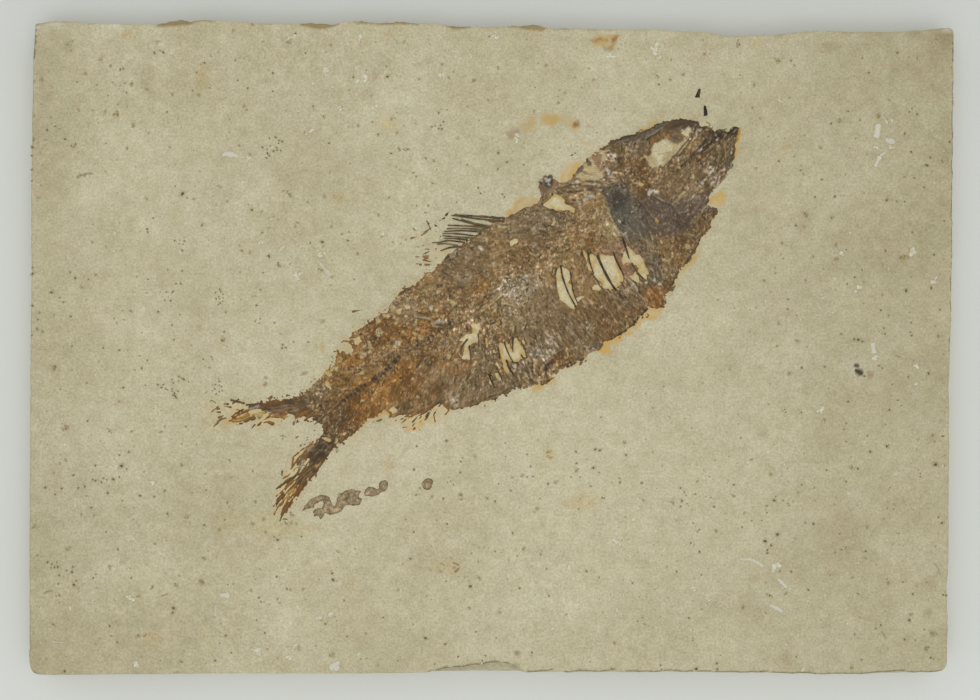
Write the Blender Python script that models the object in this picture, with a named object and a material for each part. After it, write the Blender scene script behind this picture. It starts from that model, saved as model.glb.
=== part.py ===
"""Fossil fish slab: a limestone slab with one flattened fish, three coprolites and two loose bone flakes.

Blender 4.5, metres, +Z up. The origin is the centre of the slab's underside, on the surface it lies on.
X runs along the slab's long side and Y across it. Sizes below are in millimetres and are turned into
metres by MM. The fish is drawn in its own frame: the origin is the root of the tail, x runs forward to
the snout and y up to the back, and the height z is counted from the slab's top face.
"""

import math

import bmesh
import bpy
from mathutils import Vector

MM = 0.001

# Slab
SLAB_THICKNESS = 11.0
EDGE_WEAR = 0.35  # how far the top and bottom arrises are worn back

# Fish bed: where the fish lies on the slab, and how deep each specimen is let into the stone
TAIL_ROOT = (-40.0, -15.0)
FISH_HEADING = 34.0  # degrees from +X
BED_GAP = 0.3  # clearance between a specimen and the stone, all round
BED_DEPTH = 0.6  # how far a specimen's underside lies below the top face
FILM_TOP = 0.5  # top of the flattened body above the top face
COPROLITE_TOP = 0.45
FLAKE_TOP = 0.4

# Bones that stand out of the body film
RAY_RADIUS = 0.26
ROD_HEIGHT = 0.56  # height of the axis of ribs, spines and fin rays
RIB_RADIUS = 0.27
SCUTE_RADIUS = 0.24
VERTEBRA_PITCH = 2.15
VERTEBRA_RADIUS = 0.62
VERTEBRA_LENGTH = 1.75

# The slab's outer edge, one run for each side, anticlockwise from the near left corner
NEAR_EDGE = [
    (-98.6, -71.1), (-90, -71.2), (-80, -71.1), (-70, -71.1), (-60, -70.9), (-50, -70.9), (-40, -70.9),
    (-30, -70.9), (-20, -70.8), (-14, -70.7), (-8, -70.5), (-3, -70.4), (2, -70.5), (5.5, -70.4),
    (8, -70.7), (14, -70.6), (22, -70.6), (29, -70.7), (36, -70.6), (44, -70.6), (52, -70.7),
    (62, -70.8), (72, -70.95), (80, -71.0), (88, -70.8), (97, -70.5),
]
RIGHT_EDGE = [
    (98.3, -70.2), (99.1, -69.5), (99.4, -68), (99.5, -60), (99.5, -55.5), (99.3, -52), (99.6, -49),
    (99.7, -40), (99.8, -25), (99.8, -12), (99.9, -4), (100.2, 6), (100.4, 20), (100.5, 35),
    (100.5, 50), (100.6, 62),
]
FAR_EDGE = [
    (100.65, 69.3), (100.2, 69.9), (98, 69.9), (94, 69.4), (86, 69.05), (79, 69.2), (74, 69.35),
    (68, 69.2), (64.5, 68.7), (58, 68.4), (52, 68.1), (50, 68.5), (47.5, 69.05), (40, 69.3), (36, 69.6),
    (30, 69.5), (24, 69.8), (18, 70.0), (13.5, 69.9), (11.5, 70.3), (9.5, 70.8), (6.5, 70.95),
    (4.5, 70.7), (2.5, 70.2), (-1, 70.1), (-5, 70.4), (-9.5, 70.7), (-14, 70.95), (-20, 71.5),
    (-25, 71.2), (-28.5, 71.6), (-33, 71.0), (-38, 71.15), (-40.3, 71.3), (-42, 70.9), (-50, 70.9),
    (-55, 71.3), (-58, 71.6), (-63, 71.8), (-65.5, 71.6), (-68, 71.9), (-70.5, 71.5), (-73, 70.8),
    (-80, 70.8), (-88, 71.1), (-95, 71.5), (-99.3, 71.1),
]
LEFT_EDGE = [
    (-99.7, 69.5), (-99.9, 64), (-100.2, 50), (-100.4, 32), (-100.4, 14), (-100.6, -5), (-100.7, -26),
    (-100.8, -45), (-100.8, -60), (-100.6, -68), (-100.1, -70.2),
]

# Stone lost from the top arris: (place along the side, how far the top face is set back)
NEAR_SPALLS = [
    (-14, 0), (-12, 0.9), (-8, 1.1), (-4, 1.6), (0, 2.4), (3.5, 2.5), (5.5, 1.5), (7, 0.1), (9, 0.4),
    (12, 0.6), (16, 0), (24, 0), (27, 0.9), (30, 0), (35, 0), (38, 0.5), (42, 0), (46, 0.6), (51, 0),
    (80, 0), (86, 0.8), (92, 0.6), (97, 0.2),
]
FAR_LEDGES = [
    (-73.5, 0), (-71, 0.4), (-68, 0.95), (-65.5, 0), (-42, 0), (-40, 0.85), (-37, 1.0), (-34, 0),
    (-31, 0.1), (-20, 0.2), (-15, 0), (-10.5, 0), (-7.5, 0.55), (-4, 0), (2.5, 0), (6, 0.85), (9.5, 0.75),
    (12, 0), (74, 0), (80, 0.4), (90, 0.3), (95, 0),
]
RIGHT_SPALLS = [(-56, 0.2), (-52, 0.3), (-47, 0), (-10, 0), (-7.5, 0.55), (-5, 0)]
LEFT_SPALLS = [(64, 0), (70, 0.3)]
# Stone lost from the bottom arris, in the same way
NEAR_UNDERCUT = [(-80, 0), (-68, 1.6), (-55, 0.4), (-40, 0), (22, 0), (34, 1.1), (48, 0)]
FAR_UNDERCUT = [(-60, 0), (-46, 1.3), (-30, 0), (40, 0), (58, 1.8), (70, 0.5), (84, 0)]
RIGHT_UNDERCUT = [(10, 0), (26, 1.2), (38, 0)]
LEFT_UNDERCUT = [(-44, 0), (-30, 1.4), (-12, 0)]
# Rings of the slab's side: (height, share of the top loss, share of the bottom loss, arris wear)
SIDE_RINGS = [
    (0.0, 0.0, 1.0, 1.0), (0.5, 0.0, 0.85, 0.2), (2.0, 0.0, 0.0, 0.0), (7.4, 0.0, 0.0, 0.0),
    (9.3, 0.25, 0.0, 0.0), (9.8, 0.85, 0.0, 0.1), (10.7, 0.95, 0.0, 0.35), (SLAB_THICKNESS, 1.0, 0.0, 1.0),
]

# Outline of the flattened fish, from the lower jaw over the back to the tail and along the belly
FISH_OUTLINE = [
    (113.2, 0.3), (112.4, 0.8), (111.1, 0.6), (110.7, 1.4), (109.6, 2.0), (108.4, 2.5), (107.9, 3.7),
    (106.7, 4.9), (106.4, 5.9), (105.2, 7.2), (103.8, 8.5), (102.0, 9.7), (100.2, 10.4), (98.0, 10.7),
    (96.0, 10.8), (94.2, 11.5), (92.4, 11.8), (90.4, 12.4), (88.4, 13.1), (86.9, 12.7), (85.4, 13.4),
    (83.9, 12.8), (82.0, 12.8), (80.8, 12.1), (79.3, 12.4), (78.0, 11.5), (76.4, 10.7), (74.9, 11.0),
    (74.2, 12.4), (73.3, 13.9), (71.7, 14.9), (70.1, 14.6), (69.2, 13.1), (68.4, 11.8), (67.3, 11.0),
    (65.0, 11.3), (62.0, 11.8), (59.5, 12.4), (56.5, 12.6), (53.0, 12.4), (49.5, 12.5), (46.0, 12.3),
    (43.5, 12.0), (41.0, 11.8), (39.9, 11.2), (38.8, 12.0), (37.6, 11.2), (35.5, 11.2), (32.8, 11.4),
    (30.4, 10.8), (28.5, 10.3), (27.2, 9.5), (25.2, 10.1), (23.4, 9.5), (21.0, 9.9), (18.7, 10.4),
    (17.2, 9.4), (16.7, 7.4), (15.6, 6.0), (14.9, 7.0), (13.4, 8.6), (12.2, 7.6), (11.2, 5.8),
    (9.2, 6.2), (6.5, 5.6), (3.6, 5.0), (0.2, 5.1), (-1.6, 5.8), (-3.2, 6.8), (-4.8, 7.7), (-6.6, 8.4),
    (-8.6, 9.6), (-9.8, 10.2), (-11.4, 12.4), (-13.0, 12.4), (-15.2, 14.0), (-15.0, 12.4),
    (-12.7, 10.6), (-14.8, 9.0), (-12.2, 7.3), (-9.4, 6.0), (-10.4, 4.5), (-7.6, 3.2), (-5.2, 2.6),
    (-2.8, 2.5), (-3.2, 1.1), (-0.9, 0.6), (0.5, -0.4), (0.8, -1.8), (1.9, -3.1), (0.5, -4.8),
    (-2.0, -5.2), (-4.8, -4.9), (-8.0, -5.5), (-9.8, -6.9), (-11.8, -7.4), (-12.2, -8.6), (-14.8, -9.7),
    (-16.6, -11.2), (-18.0, -13.3), (-16.0, -12.9), (-16.2, -13.9), (-17.7, -15.4), (-15.6, -14.6),
    (-12.6, -13.4), (-9.4, -12.3), (-7.0, -11.4), (-4.6, -10.8), (-2.4, -9.8), (0.2, -8.9),
    (2.2, -8.1), (5.6, -8.8), (7.6, -8.3), (10.4, -7.8), (12.4, -8.3), (14.6, -8.0), (15.4, -10.8),
    (17.8, -12.0), (16.0, -13.2), (19.0, -13.8), (16.8, -15.4), (20.4, -15.3), (22.6, -16.5),
    (23.6, -14.9), (25.4, -14.4), (26.4, -15.9), (28.0, -16.6), (30.0, -17.8), (33.0, -18.6),
    (36.0, -19.4), (39.0, -20.0), (41.8, -20.2), (43.0, -21.6), (45.0, -22.0), (47.0, -23.0),
    (51.0, -22.4), (54.0, -22.7), (56.8, -23.0), (59.6, -22.5), (61.0, -23.5), (62.6, -22.8),
    (66.0, -23.2), (70.0, -23.1), (72.0, -22.5), (74.8, -21.8), (77.0, -23.5), (78.4, -22.8),
    (80.4, -21.2), (83.0, -20.0), (85.2, -19.1), (87.6, -18.3), (90.0, -17.4), (92.9, -15.3),
    (94.4, -15.5), (96.2, -14.4), (99.4, -12.4), (98.1, -10.2), (99.2, -9.1), (101.0, -8.5),
    (103.2, -8.2), (105.4, -7.3), (107.6, -6.2), (109.2, -4.6), (110.6, -3.0), (113.0, -1.0),
]

# Windows where the film has flaked off and the stone shows
WINDOWS = {
    "eye": [
        (92.3, 4.0), (93.4, 5.8), (95.0, 7.0), (97.0, 7.5), (98.7, 6.7), (99.8, 5.0), (99.6, 3.3),
        (98.2, 2.4), (96.4, 2.2), (94.6, 1.9), (93.1, 2.7),
    ],
    "snout": [(102.3, 5.1), (103.2, 6.0), (104.5, 5.9), (104.2, 5.0), (103.1, 4.7)],
    "nape": [
        (68.3, 9.6), (70.2, 10.0), (71.8, 10.4), (72.8, 9.2), (72.4, 7.4), (73.7, 5.3), (73.0, 4.7),
        (71.8, 6.0), (70.1, 7.0), (69.2, 8.2),
    ],
    "flank": [(57.6, 6.2), (57.9, 7.1), (58.9, 7.2), (59.6, 6.5), (58.9, 6.0)],
    "ribs_back": [
        (62.8, -3.2), (64.2, -3.6), (65.0, -5.2), (63.9, -8.4), (63.1, -11.8), (61.6, -12.8),
        (60.6, -10.4), (60.3, -8.0), (61.5, -5.2),
    ],
    "ribs_middle": [
        (70.0, -3.6), (71.4, -5.2), (73.2, -6.4), (74.9, -8.2), (74.8, -10.4), (74.2, -12.8),
        (72.4, -14.2), (71.0, -13.6), (69.4, -12.6), (68.8, -9.0), (69.2, -6.4),
    ],
    "ribs_front": [
        (78.0, -8.2), (78.6, -10.6), (79.4, -12.2), (79.2, -14.6), (77.6, -14.8), (76.6, -15.8),
        (75.5, -15.4), (75.4, -13.8), (76.9, -12.2), (77.0, -9.8),
    ],
    "ribs_rear": [
        (44.2, -10.2), (45.4, -11.6), (47.3, -11.0), (47.4, -13.2), (46.8, -15.4), (43.9, -15.2),
        (42.2, -16.4), (40.8, -15.8), (41.6, -13.6), (43.2, -11.8),
    ],
    "hind": [
        (41.4, -3.4), (42.3, -4.6), (40.4, -6.4), (38.4, -6.8), (36.4, -9.6), (35.3, -8.2),
        (37.2, -6.2), (38.0, -4.6), (39.8, -5.4),
    ],
}

# Skull bones that lie on the film: (outline, height of the top)
SKULL_BONES = {
    "skull_roof": (0.86, [
        (106.0, 5.9), (105.0, 6.9), (103.4, 8.2), (101.5, 9.3), (99.5, 9.9), (96.0, 9.9), (93.5, 10.4),
        (91.0, 11.3), (88.4, 12.5), (87.9, 11.9), (90.0, 10.8), (93.0, 9.3), (95.5, 8.7), (99.0, 8.4),
        (102.0, 7.3), (104.0, 6.4),
    ]),
    "upper_jaw": (0.88, [
        (99.6, 0.3), (102.0, 1.3), (105.0, 2.1), (107.6, 2.0), (109.6, 1.5), (110.4, 1.1), (109.0, 0.6),
        (106.0, 0.2), (103.0, -0.3), (100.6, -0.6),
    ]),
    "lower_jaw": (0.92, [
        (112.7, 0.1), (111.3, 0.2), (109.0, -0.3), (106.0, -1.2), (103.0, -2.8), (100.6, -5.0),
        (101.5, -7.3), (104.4, -6.8), (107.2, -5.7), (108.8, -4.3), (110.2, -2.7), (112.0, -1.4),
    ]),
    "cheek": (0.76, [
        (90.9, 0.9), (94.0, 1.2), (98.0, 1.0), (100.8, -1.2), (101.3, -2.8), (99.5, -4.7), (96.0, -5.1),
        (92.9, -5.0), (90.9, -3.2), (89.7, -0.8),
    ]),
    "gill_cover": (0.96, [
        (80.6, 3.2), (82.0, 4.5), (84.0, 4.0), (85.5, 2.5), (86.2, 0.0), (86.4, -3.0), (85.9, -6.0),
        (84.5, -8.3), (82.0, -8.0), (80.2, -6.0), (79.3, -3.8), (79.4, -1.5), (80.0, 1.0),
    ]),
    "lower_gill_cover": (0.82, [
        (86.9, -4.4), (88.5, -1.4), (89.5, -3.8), (90.7, -5.5), (92.0, -7.0), (93.6, -8.4),
        (92.5, -10.6), (90.4, -11.8), (88.0, -11.6), (86.0, -10.2), (85.3, -8.4),
    ]),
    "throat": (0.72, [
        (86.6, -13.6), (90.0, -12.8), (93.0, -12.3), (96.4, -10.7), (97.4, -10.8), (98.6, -12.2),
        (96.0, -13.9), (94.2, -14.9), (91.8, -15.4), (89.0, -16.6), (86.4, -16.4),
    ]),
    "pectoral_base": (0.84, [
        (82.2, -12.4), (83.0, -13.6), (81.2, -16.0), (80.6, -18.8), (79.4, -18.6), (79.2, -16.2),
        (80.6, -13.8),
    ]),
}

# Slender bones, each a line of points in the fish's frame
RIBS = [
    [(64.3, -3.2), (62.6, -7.4), (62.0, -10.5), (61.8, -14.0)],
    [(65.4, -5.2), (63.8, -8.6), (62.7, -12.8)],
    [(70.9, -3.6), (69.7, -6.8), (69.1, -10.2), (69.0, -13.2)],
    [(71.9, -5.6), (71.3, -10.0), (71.0, -14.0), (71.6, -17.8)],
    [(75.6, -6.0), (74.9, -9.0), (74.3, -13.6)],
    [(78.9, -5.8), (77.5, -10.0), (77.0, -13.6), (77.6, -16.4)],
    [(43.6, -9.4), (42.2, -13.2), (41.2, -16.6)],
    [(46.6, -10.2), (45.2, -13.2), (44.6, -16.0)],
    [(41.4, -2.8), (39.4, -5.8), (37.4, -9.6)],
]
NAPE_SPINES = [
    [(82.8, 5.4), (79.0, 8.0), (75.6, 10.0)],
    [(81.4, 4.6), (77.6, 7.2), (74.4, 8.9)],
    [(83.2, 7.2), (81.0, 9.6), (79.6, 11.7)],
]
DORSAL_RAYS = [
    [(59.7, 11.2), (55.2, 14.9), (50.5, 19.2)],
    [(57.2, 11.2), (53.6, 14.6), (50.2, 18.1)],
    [(55.2, 11.2), (51.4, 14.6), (48.0, 17.8)],
    [(52.9, 11.2), (49.5, 14.0), (46.5, 16.6)],
    [(50.4, 11.4), (47.2, 14.0), (43.7, 16.4)],
    [(48.4, 11.4), (45.6, 13.0), (43.4, 14.9), (40.6, 15.4)],
    [(46.2, 11.4), (42.4, 13.8)],
]
ANAL_RAYS = [
    [(26.8, -11.6), (23.0, -13.8), (20.2, -14.9)],
    [(25.6, -12.6), (22.6, -14.6), (22.5, -16.0)],
    [(23.6, -12.2), (19.6, -13.4)],
    [(20.4, -11.8), (17.4, -13.1)],
]
TAIL_RAYS = [
    [(4.0, 2.4), (0.0, 4.4), (-6.5, 7.8), (-12.0, 11.4)],
    [(3.6, 1.8), (0.0, 3.5), (-6.0, 6.2), (-13.6, 9.2)],
    [(3.2, 1.2), (-1.0, 2.9), (-6.0, 4.2), (-9.4, 4.8)],
    [(4.0, -5.4), (0.0, -6.6), (-6.0, -7.4), (-11.4, -8.2)],
    [(4.2, -6.2), (0.0, -7.4), (-6.0, -8.6), (-12.0, -9.6), (-16.4, -12.2)],
    [(4.4, -7.0), (0.4, -8.2), (-5.0, -9.8), (-11.0, -12.2), (-16.6, -14.7)],
]
BELLY_LINE = [
    (30.0, -17.2), (36.0, -18.9), (42.0, -19.8), (48.0, -21.8), (56.0, -22.0), (66.0, -22.4),
    (73.0, -21.4), (80.0, -20.4), (87.0, -17.6),
]
BELLY_SCUTES = 18
SCUTE_LENGTH = 2.6
BACKBONE = [(3.0, -1.6), (9.0, -1.5), (19.0, -1.5), (22.5, -0.9), (28.0, -0.6), (36.0, -0.7), (49.0, -1.6)]
NODULE = ((71.8, 13.0), 1.3, 1.05)  # centre, radius and height of the bony knob on the nape
ORBIT_RIM = [
    (92.6, 5.7), (94.2, 7.2), (96.4, 8.1), (98.6, 7.8), (100.2, 6.4), (100.6, 4.6), (99.9, 2.9), (98.4, 1.8),
]

# Other fossils on the same bedding plane, in the fish's frame
COPROLITE_COIL = [
    (-12.6, -16.2), (-11.2, -15.7), (-9.8, -15.2), (-8.0, -15.4), (-6.8, -15.9), (-5.8, -17.0),
    (-6.1, -18.0), (-5.6, -18.9), (-4.8, -18.3), (-3.6, -17.5), (-2.0, -17.8), (-0.9, -18.3),
    (-0.1, -19.3), (0.5, -19.8), (-0.4, -20.3), (-0.5, -21.3), (-1.3, -22.1), (-2.2, -21.9),
    (-3.0, -21.0), (-4.0, -20.5), (-4.8, -21.0), (-6.0, -21.0), (-7.4, -20.4), (-8.3, -20.0),
    (-8.6, -19.3), (-10.2, -20.0), (-10.0, -19.2), (-10.9, -18.5), (-10.6, -17.8), (-9.4, -17.8),
    (-8.4, -18.2), (-7.5, -17.7), (-7.5, -16.7), (-8.6, -16.5), (-10.0, -16.6), (-11.2, -16.3),
]
COPROLITE_TAIL = [
    (0.9, -20.5), (1.5, -19.9), (2.5, -19.9), (3.3, -20.5), (3.6, -21.4), (4.3, -21.5), (4.7, -20.8),
    (5.6, -20.6), (6.3, -20.8), (6.5, -21.5), (6.0, -22.3), (5.1, -22.8), (4.0, -22.6), (2.9, -22.4),
    (1.6, -22.0), (0.9, -21.2),
]
PELLET_CENTRE = (13.5, -26.6)
PELLET_RADIUS = 1.25
PELLET_SIDES = 18
UPPER_FLAKE = [(108.9, 10.7), (109.7, 10.0), (110.2, 10.6), (111.0, 11.5), (110.6, 11.8), (109.8, 11.2)]
LOWER_FLAKE = [(108.2, 6.2), (108.9, 5.8), (109.4, 6.5), (109.9, 7.9), (109.5, 8.1), (108.8, 7.1)]

STONE = ("cream_limestone", (0.46, 0.42, 0.29, 1.0), 0.9)
BONE = ("brown_bone", (0.16, 0.10, 0.05, 1.0), 0.62)
DUNG = ("grey_brown_coprolite", (0.22, 0.17, 0.12, 1.0), 0.8)


def clear_scene():
    for obj in list(bpy.data.objects):
        bpy.data.objects.remove(obj, do_unlink=True)


def new_collection(name):
    collection = bpy.data.collections.new(name)
    bpy.context.scene.collection.children.link(collection)
    return collection


def material(name, colour, roughness):
    made = bpy.data.materials.new(name)
    made.use_nodes = True
    shader = made.node_tree.nodes["Principled BSDF"]
    shader.inputs["Base Color"].default_value = colour
    shader.inputs["Roughness"].default_value = roughness
    shader.inputs["Metallic"].default_value = 0.0
    return made


def add_object(name, data, collection, parent=None):
    obj = bpy.data.objects.new(name, data)
    collection.objects.link(obj)
    obj.parent = parent
    return obj


def make_helper(obj):
    """A cutter, or a shape that a Boolean joins to another."""
    obj.hide_render = True
    obj.display_type = "WIRE"


def meshed(obj, collection, weld=1e-6):
    """The curve object as a mesh object with welded caps. The curve is removed."""
    bpy.context.view_layer.update()
    evaluated = obj.evaluated_get(bpy.context.evaluated_depsgraph_get())
    mesh = bpy.data.meshes.new_from_object(evaluated)
    cleaner = bmesh.new()
    cleaner.from_mesh(mesh)
    bmesh.ops.remove_doubles(cleaner, verts=cleaner.verts, dist=weld)
    bmesh.ops.recalc_face_normals(cleaner, faces=cleaner.faces)
    cleaner.to_mesh(mesh)
    cleaner.free()
    name, parent, place = obj.name, obj.parent, obj.location.copy()
    bpy.data.objects.remove(obj, do_unlink=True)
    made = add_object(name, mesh, collection, parent)
    made.location = place
    return made


def plate(name, outlines, bottom, top, collection, parent):
    """A flat plate between two heights. The first outline is its edge and the others are holes."""
    curve = bpy.data.curves.new(name, "CURVE")
    curve.dimensions = "2D"
    curve.fill_mode = "BOTH"
    curve.extrude = (top - bottom) * MM / 2
    for outline in outlines:
        spline = curve.splines.new("POLY")
        spline.points.add(len(outline) - 1)
        for point, (x, y) in zip(spline.points, outline):
            point.co = (x * MM, y * MM, 0, 1)
        spline.use_cyclic_u = True
    obj = add_object(name, curve, collection, parent)
    obj.location.z = (top + bottom) * MM / 2
    return meshed(obj, collection)


def rod(name, points, radius, collection, parent, height=ROD_HEIGHT):
    """A slender bone: a six-sided tube along the points at one height, thinner towards its far end."""
    curve = bpy.data.curves.new(name, "CURVE")
    curve.dimensions = "3D"
    curve.bevel_depth = radius * MM
    curve.bevel_resolution = 1
    curve.use_fill_caps = True
    spline = curve.splines.new("POLY")
    spline.points.add(len(points) - 1)
    for i, (point, (x, y)) in enumerate(zip(spline.points, points)):
        point.co = (x * MM, y * MM, height * MM, 1)
        point.radius = 1 - 0.25 * i / (len(points) - 1)
    return meshed(add_object(name, curve, collection, parent), collection)


def offset_outline(outline, distance, longest_mitre=1.8):
    """The closed outline moved outwards by a distance, or inwards if it is negative."""
    area = sum(a[0] * b[1] - b[0] * a[1] for a, b in zip(outline, outline[1:] + outline[:1]))
    turn = 1 if area > 0 else -1
    moved = []
    for i, point in enumerate(outline):
        before = (Vector(point) - Vector(outline[i - 1])).normalized()
        after = (Vector(outline[(i + 1) % len(outline)]) - Vector(point)).normalized()
        normals = [Vector((d.y, -d.x)) * turn for d in (before, after)]
        bisector = (normals[0] + normals[1]).normalized()
        mitre = min(longest_mitre, 1 / max(bisector.dot(normals[0]), 1e-3))
        moved.append(tuple(Vector(point) + bisector * distance * mitre))
    return moved


def amount_along(profile, place):
    """Reads a list of (place, amount) as straight runs, and as zero past its ends."""
    for (a, low), (b, high) in zip(profile, profile[1:]):
        if a <= place <= b:
            return low + (high - low) * (place - a) / (b - a)
    return 0.0


def slab_sides():
    """Every point of the slab's edge with its inward direction and the stone lost above and below it."""
    runs = [
        (NEAR_EDGE, 0, (0, 1), NEAR_SPALLS, NEAR_UNDERCUT),
        (RIGHT_EDGE, 1, (-1, 0), RIGHT_SPALLS, RIGHT_UNDERCUT),
        (FAR_EDGE, 0, (0, -1), FAR_LEDGES, FAR_UNDERCUT),
        (LEFT_EDGE, 1, (1, 0), LEFT_SPALLS, LEFT_UNDERCUT),
    ]
    for edge, axis, inward, above, below in runs:
        profile_places = {place for place, _ in above + below}
        for (a, b) in zip(edge, edge[1:]):
            low, high = sorted((a[axis], b[axis]))
            shares = [(p - a[axis]) / (b[axis] - a[axis]) for p in profile_places if low + 0.8 < p < high - 0.8]
            for share in [0.0] + sorted(shares):
                point = Vector(a).lerp(Vector(b), share)
                yield point, Vector(inward), amount_along(above, point[axis]), amount_along(below, point[axis])
        last = Vector(edge[-1])
        yield last, Vector(inward), amount_along(above, last[axis]), amount_along(below, last[axis])


def build_slab(collection):
    """A stack of rings round the slab's edge, from the underside to the top face."""
    places = list(slab_sides())
    shape = bmesh.new()
    rings = []
    for height, above_share, below_share, wear in SIDE_RINGS:
        ring = []
        for point, inward, above, below in places:
            inset = above * above_share + below * below_share + EDGE_WEAR * wear
            x, y = point + inward * inset
            ring.append(shape.verts.new((x * MM, y * MM, height * MM)))
        rings.append(ring)
    for low, high in zip(rings, rings[1:]):
        for i in range(len(low)):
            j = (i + 1) % len(low)
            shape.faces.new((low[i], low[j], high[j], high[i]))
    shape.faces.new(rings[-1])
    shape.faces.new(reversed(rings[0]))
    bmesh.ops.recalc_face_normals(shape, faces=shape.faces)
    mesh = bpy.data.meshes.new("limestone_slab")
    shape.to_mesh(mesh)
    shape.free()
    return add_object("limestone_slab", mesh, collection)


def spaced_along(line, count, start=0.0, end=1.0):
    """(point, direction) at evenly spaced places along a line of points."""
    pairs = list(zip(line, line[1:]))
    lengths = [math.dist(a, b) for a, b in pairs]
    for i in range(count):
        left = sum(lengths) * (start + (end - start) * i / (count - 1))
        for (a, b), length in zip(pairs, lengths):
            if left <= length + 1e-9:
                break
            left -= length
        yield Vector(a).lerp(Vector(b), left / length), (Vector(b) - Vector(a)).normalized()


def add_vertebrae(collection, parent):
    length = sum(math.dist(a, b) for a, b in zip(BACKBONE, BACKBONE[1:]))
    count = int(length / VERTEBRA_PITCH)
    for i, (centre, direction) in enumerate(spaced_along(BACKBONE, count)):
        shape = bmesh.new()
        bmesh.ops.create_cone(
            shape, cap_ends=True, segments=8, radius1=VERTEBRA_RADIUS * MM, radius2=VERTEBRA_RADIUS * MM,
            depth=VERTEBRA_LENGTH * MM,
        )
        mesh = bpy.data.meshes.new(f"vertebra_{i + 1}")
        shape.to_mesh(mesh)
        shape.free()
        obj = add_object(mesh.name, mesh, collection, parent)
        obj.location = (centre.x * MM, centre.y * MM, (FILM_TOP - 0.17) * MM)
        obj.rotation_euler = (0, math.pi / 2, math.atan2(direction.y, direction.x))


def add_scutes(collection, parent):
    for i, (centre, direction) in enumerate(spaced_along(BELLY_LINE, BELLY_SCUTES)):
        across = Vector((-direction.y, direction.x))
        front = centre + direction * SCUTE_LENGTH / 2 + across * 0.3
        back = centre - direction * SCUTE_LENGTH / 2 - across * 0.3
        rod(f"scute_{i + 1}", [tuple(front), tuple(back)], SCUTE_RADIUS, collection, parent)


def add_nodule(collection, parent):
    (x, y), radius, height = NODULE
    shape = bmesh.new()
    bmesh.ops.create_uvsphere(shape, u_segments=10, v_segments=6, radius=radius * MM)
    mesh = bpy.data.meshes.new("nape_knob")
    shape.to_mesh(mesh)
    shape.free()
    obj = add_object("nape_knob", mesh, collection, parent)
    obj.scale.z = 0.5
    obj.location = (x * MM, y * MM, (height - radius * 0.5) * MM)


def add_bones(collection, parent):
    """Everything that stands out of the film: skull, backbone, ribs, spines, fin rays and scutes."""
    for i, (name, (top, outline)) in enumerate(SKULL_BONES.items()):
        plate(name, [outline], 0.02 * (i + 1), top, collection, parent)
    rows = [
        ("rib", RIBS, RIB_RADIUS), ("nape_spine", NAPE_SPINES, RAY_RADIUS),
        ("dorsal_ray", DORSAL_RAYS, RAY_RADIUS), ("anal_ray", ANAL_RAYS, RAY_RADIUS),
        ("tail_ray", TAIL_RAYS, RAY_RADIUS),
    ]
    for name, lines, radius in rows:
        for i, line in enumerate(lines):
            rod(f"{name}_{i + 1}", line, radius, collection, parent)
    rod("orbit_rim", ORBIT_RIM, RAY_RADIUS, collection, parent)
    add_vertebrae(collection, parent)
    add_scutes(collection, parent)
    add_nodule(collection, parent)
    for obj in collection.objects:
        make_helper(obj)


def combine(obj, operation, name, operand):
    """Adds an exact Boolean with one object, or with every object of a collection."""
    modifier = obj.modifiers.new(name, "BOOLEAN")
    modifier.operation = operation
    modifier.solver = "EXACT"
    if isinstance(operand, bpy.types.Collection):
        modifier.operand_type = "COLLECTION"
        modifier.collection = operand
    else:
        modifier.object = operand
    return modifier


def bedded(name, outlines, top, finish, parts, cutters, parent):
    """A specimen let into the stone, and the cutter of its bed, which leaves BED_GAP all round it."""
    specimen = plate(name, outlines, -BED_DEPTH, top, parts, parent)
    specimen.data.materials.append(finish)
    edges = [offset_outline(outlines[0], BED_GAP)] + [offset_outline(hole, -BED_GAP) for hole in outlines[1:]]
    bed = plate(f"{name}_bed", edges, -BED_DEPTH - BED_GAP, 2.0, cutters, parent)
    make_helper(bed)
    return specimen


def main():
    clear_scene()
    parts = new_collection("fossil_fish_slab")
    cutters = new_collection("bed_cutters")
    bones = new_collection("fish_bones")

    stone = material(*STONE)
    bone = material(*BONE)
    dung = material(*DUNG)

    slab = build_slab(parts)
    slab.data.materials.append(stone)

    fish_axis = bpy.data.objects.new("fish_axis", None)
    parts.objects.link(fish_axis)
    fish_axis.location = (TAIL_ROOT[0] * MM, TAIL_ROOT[1] * MM, SLAB_THICKNESS * MM)
    fish_axis.rotation_euler.z = math.radians(FISH_HEADING)

    fish = bedded(
        "fossil_fish", [FISH_OUTLINE] + list(WINDOWS.values()), FILM_TOP, bone, parts, cutters, fish_axis
    )
    add_bones(bones, fish_axis)
    combine(fish, "UNION", "bones", bones)

    turns = [2 * math.pi * i / PELLET_SIDES for i in range(PELLET_SIDES)]
    pellet = [
        (PELLET_CENTRE[0] + PELLET_RADIUS * math.cos(t), PELLET_CENTRE[1] + PELLET_RADIUS * math.sin(t))
        for t in turns
    ]
    for name, outline, top, finish in (
        ("coprolite_coil", COPROLITE_COIL, COPROLITE_TOP, dung),
        ("coprolite_tail", COPROLITE_TAIL, COPROLITE_TOP, dung),
        ("coprolite_pellet", pellet, COPROLITE_TOP, dung),
        ("bone_flake_upper", UPPER_FLAKE, FLAKE_TOP, bone),
        ("bone_flake_lower", LOWER_FLAKE, FLAKE_TOP, bone),
    ):
        bedded(name, [outline], top, finish, parts, cutters, fish_axis)
    combine(slab, "DIFFERENCE", "beds", cutters)


main()
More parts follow.
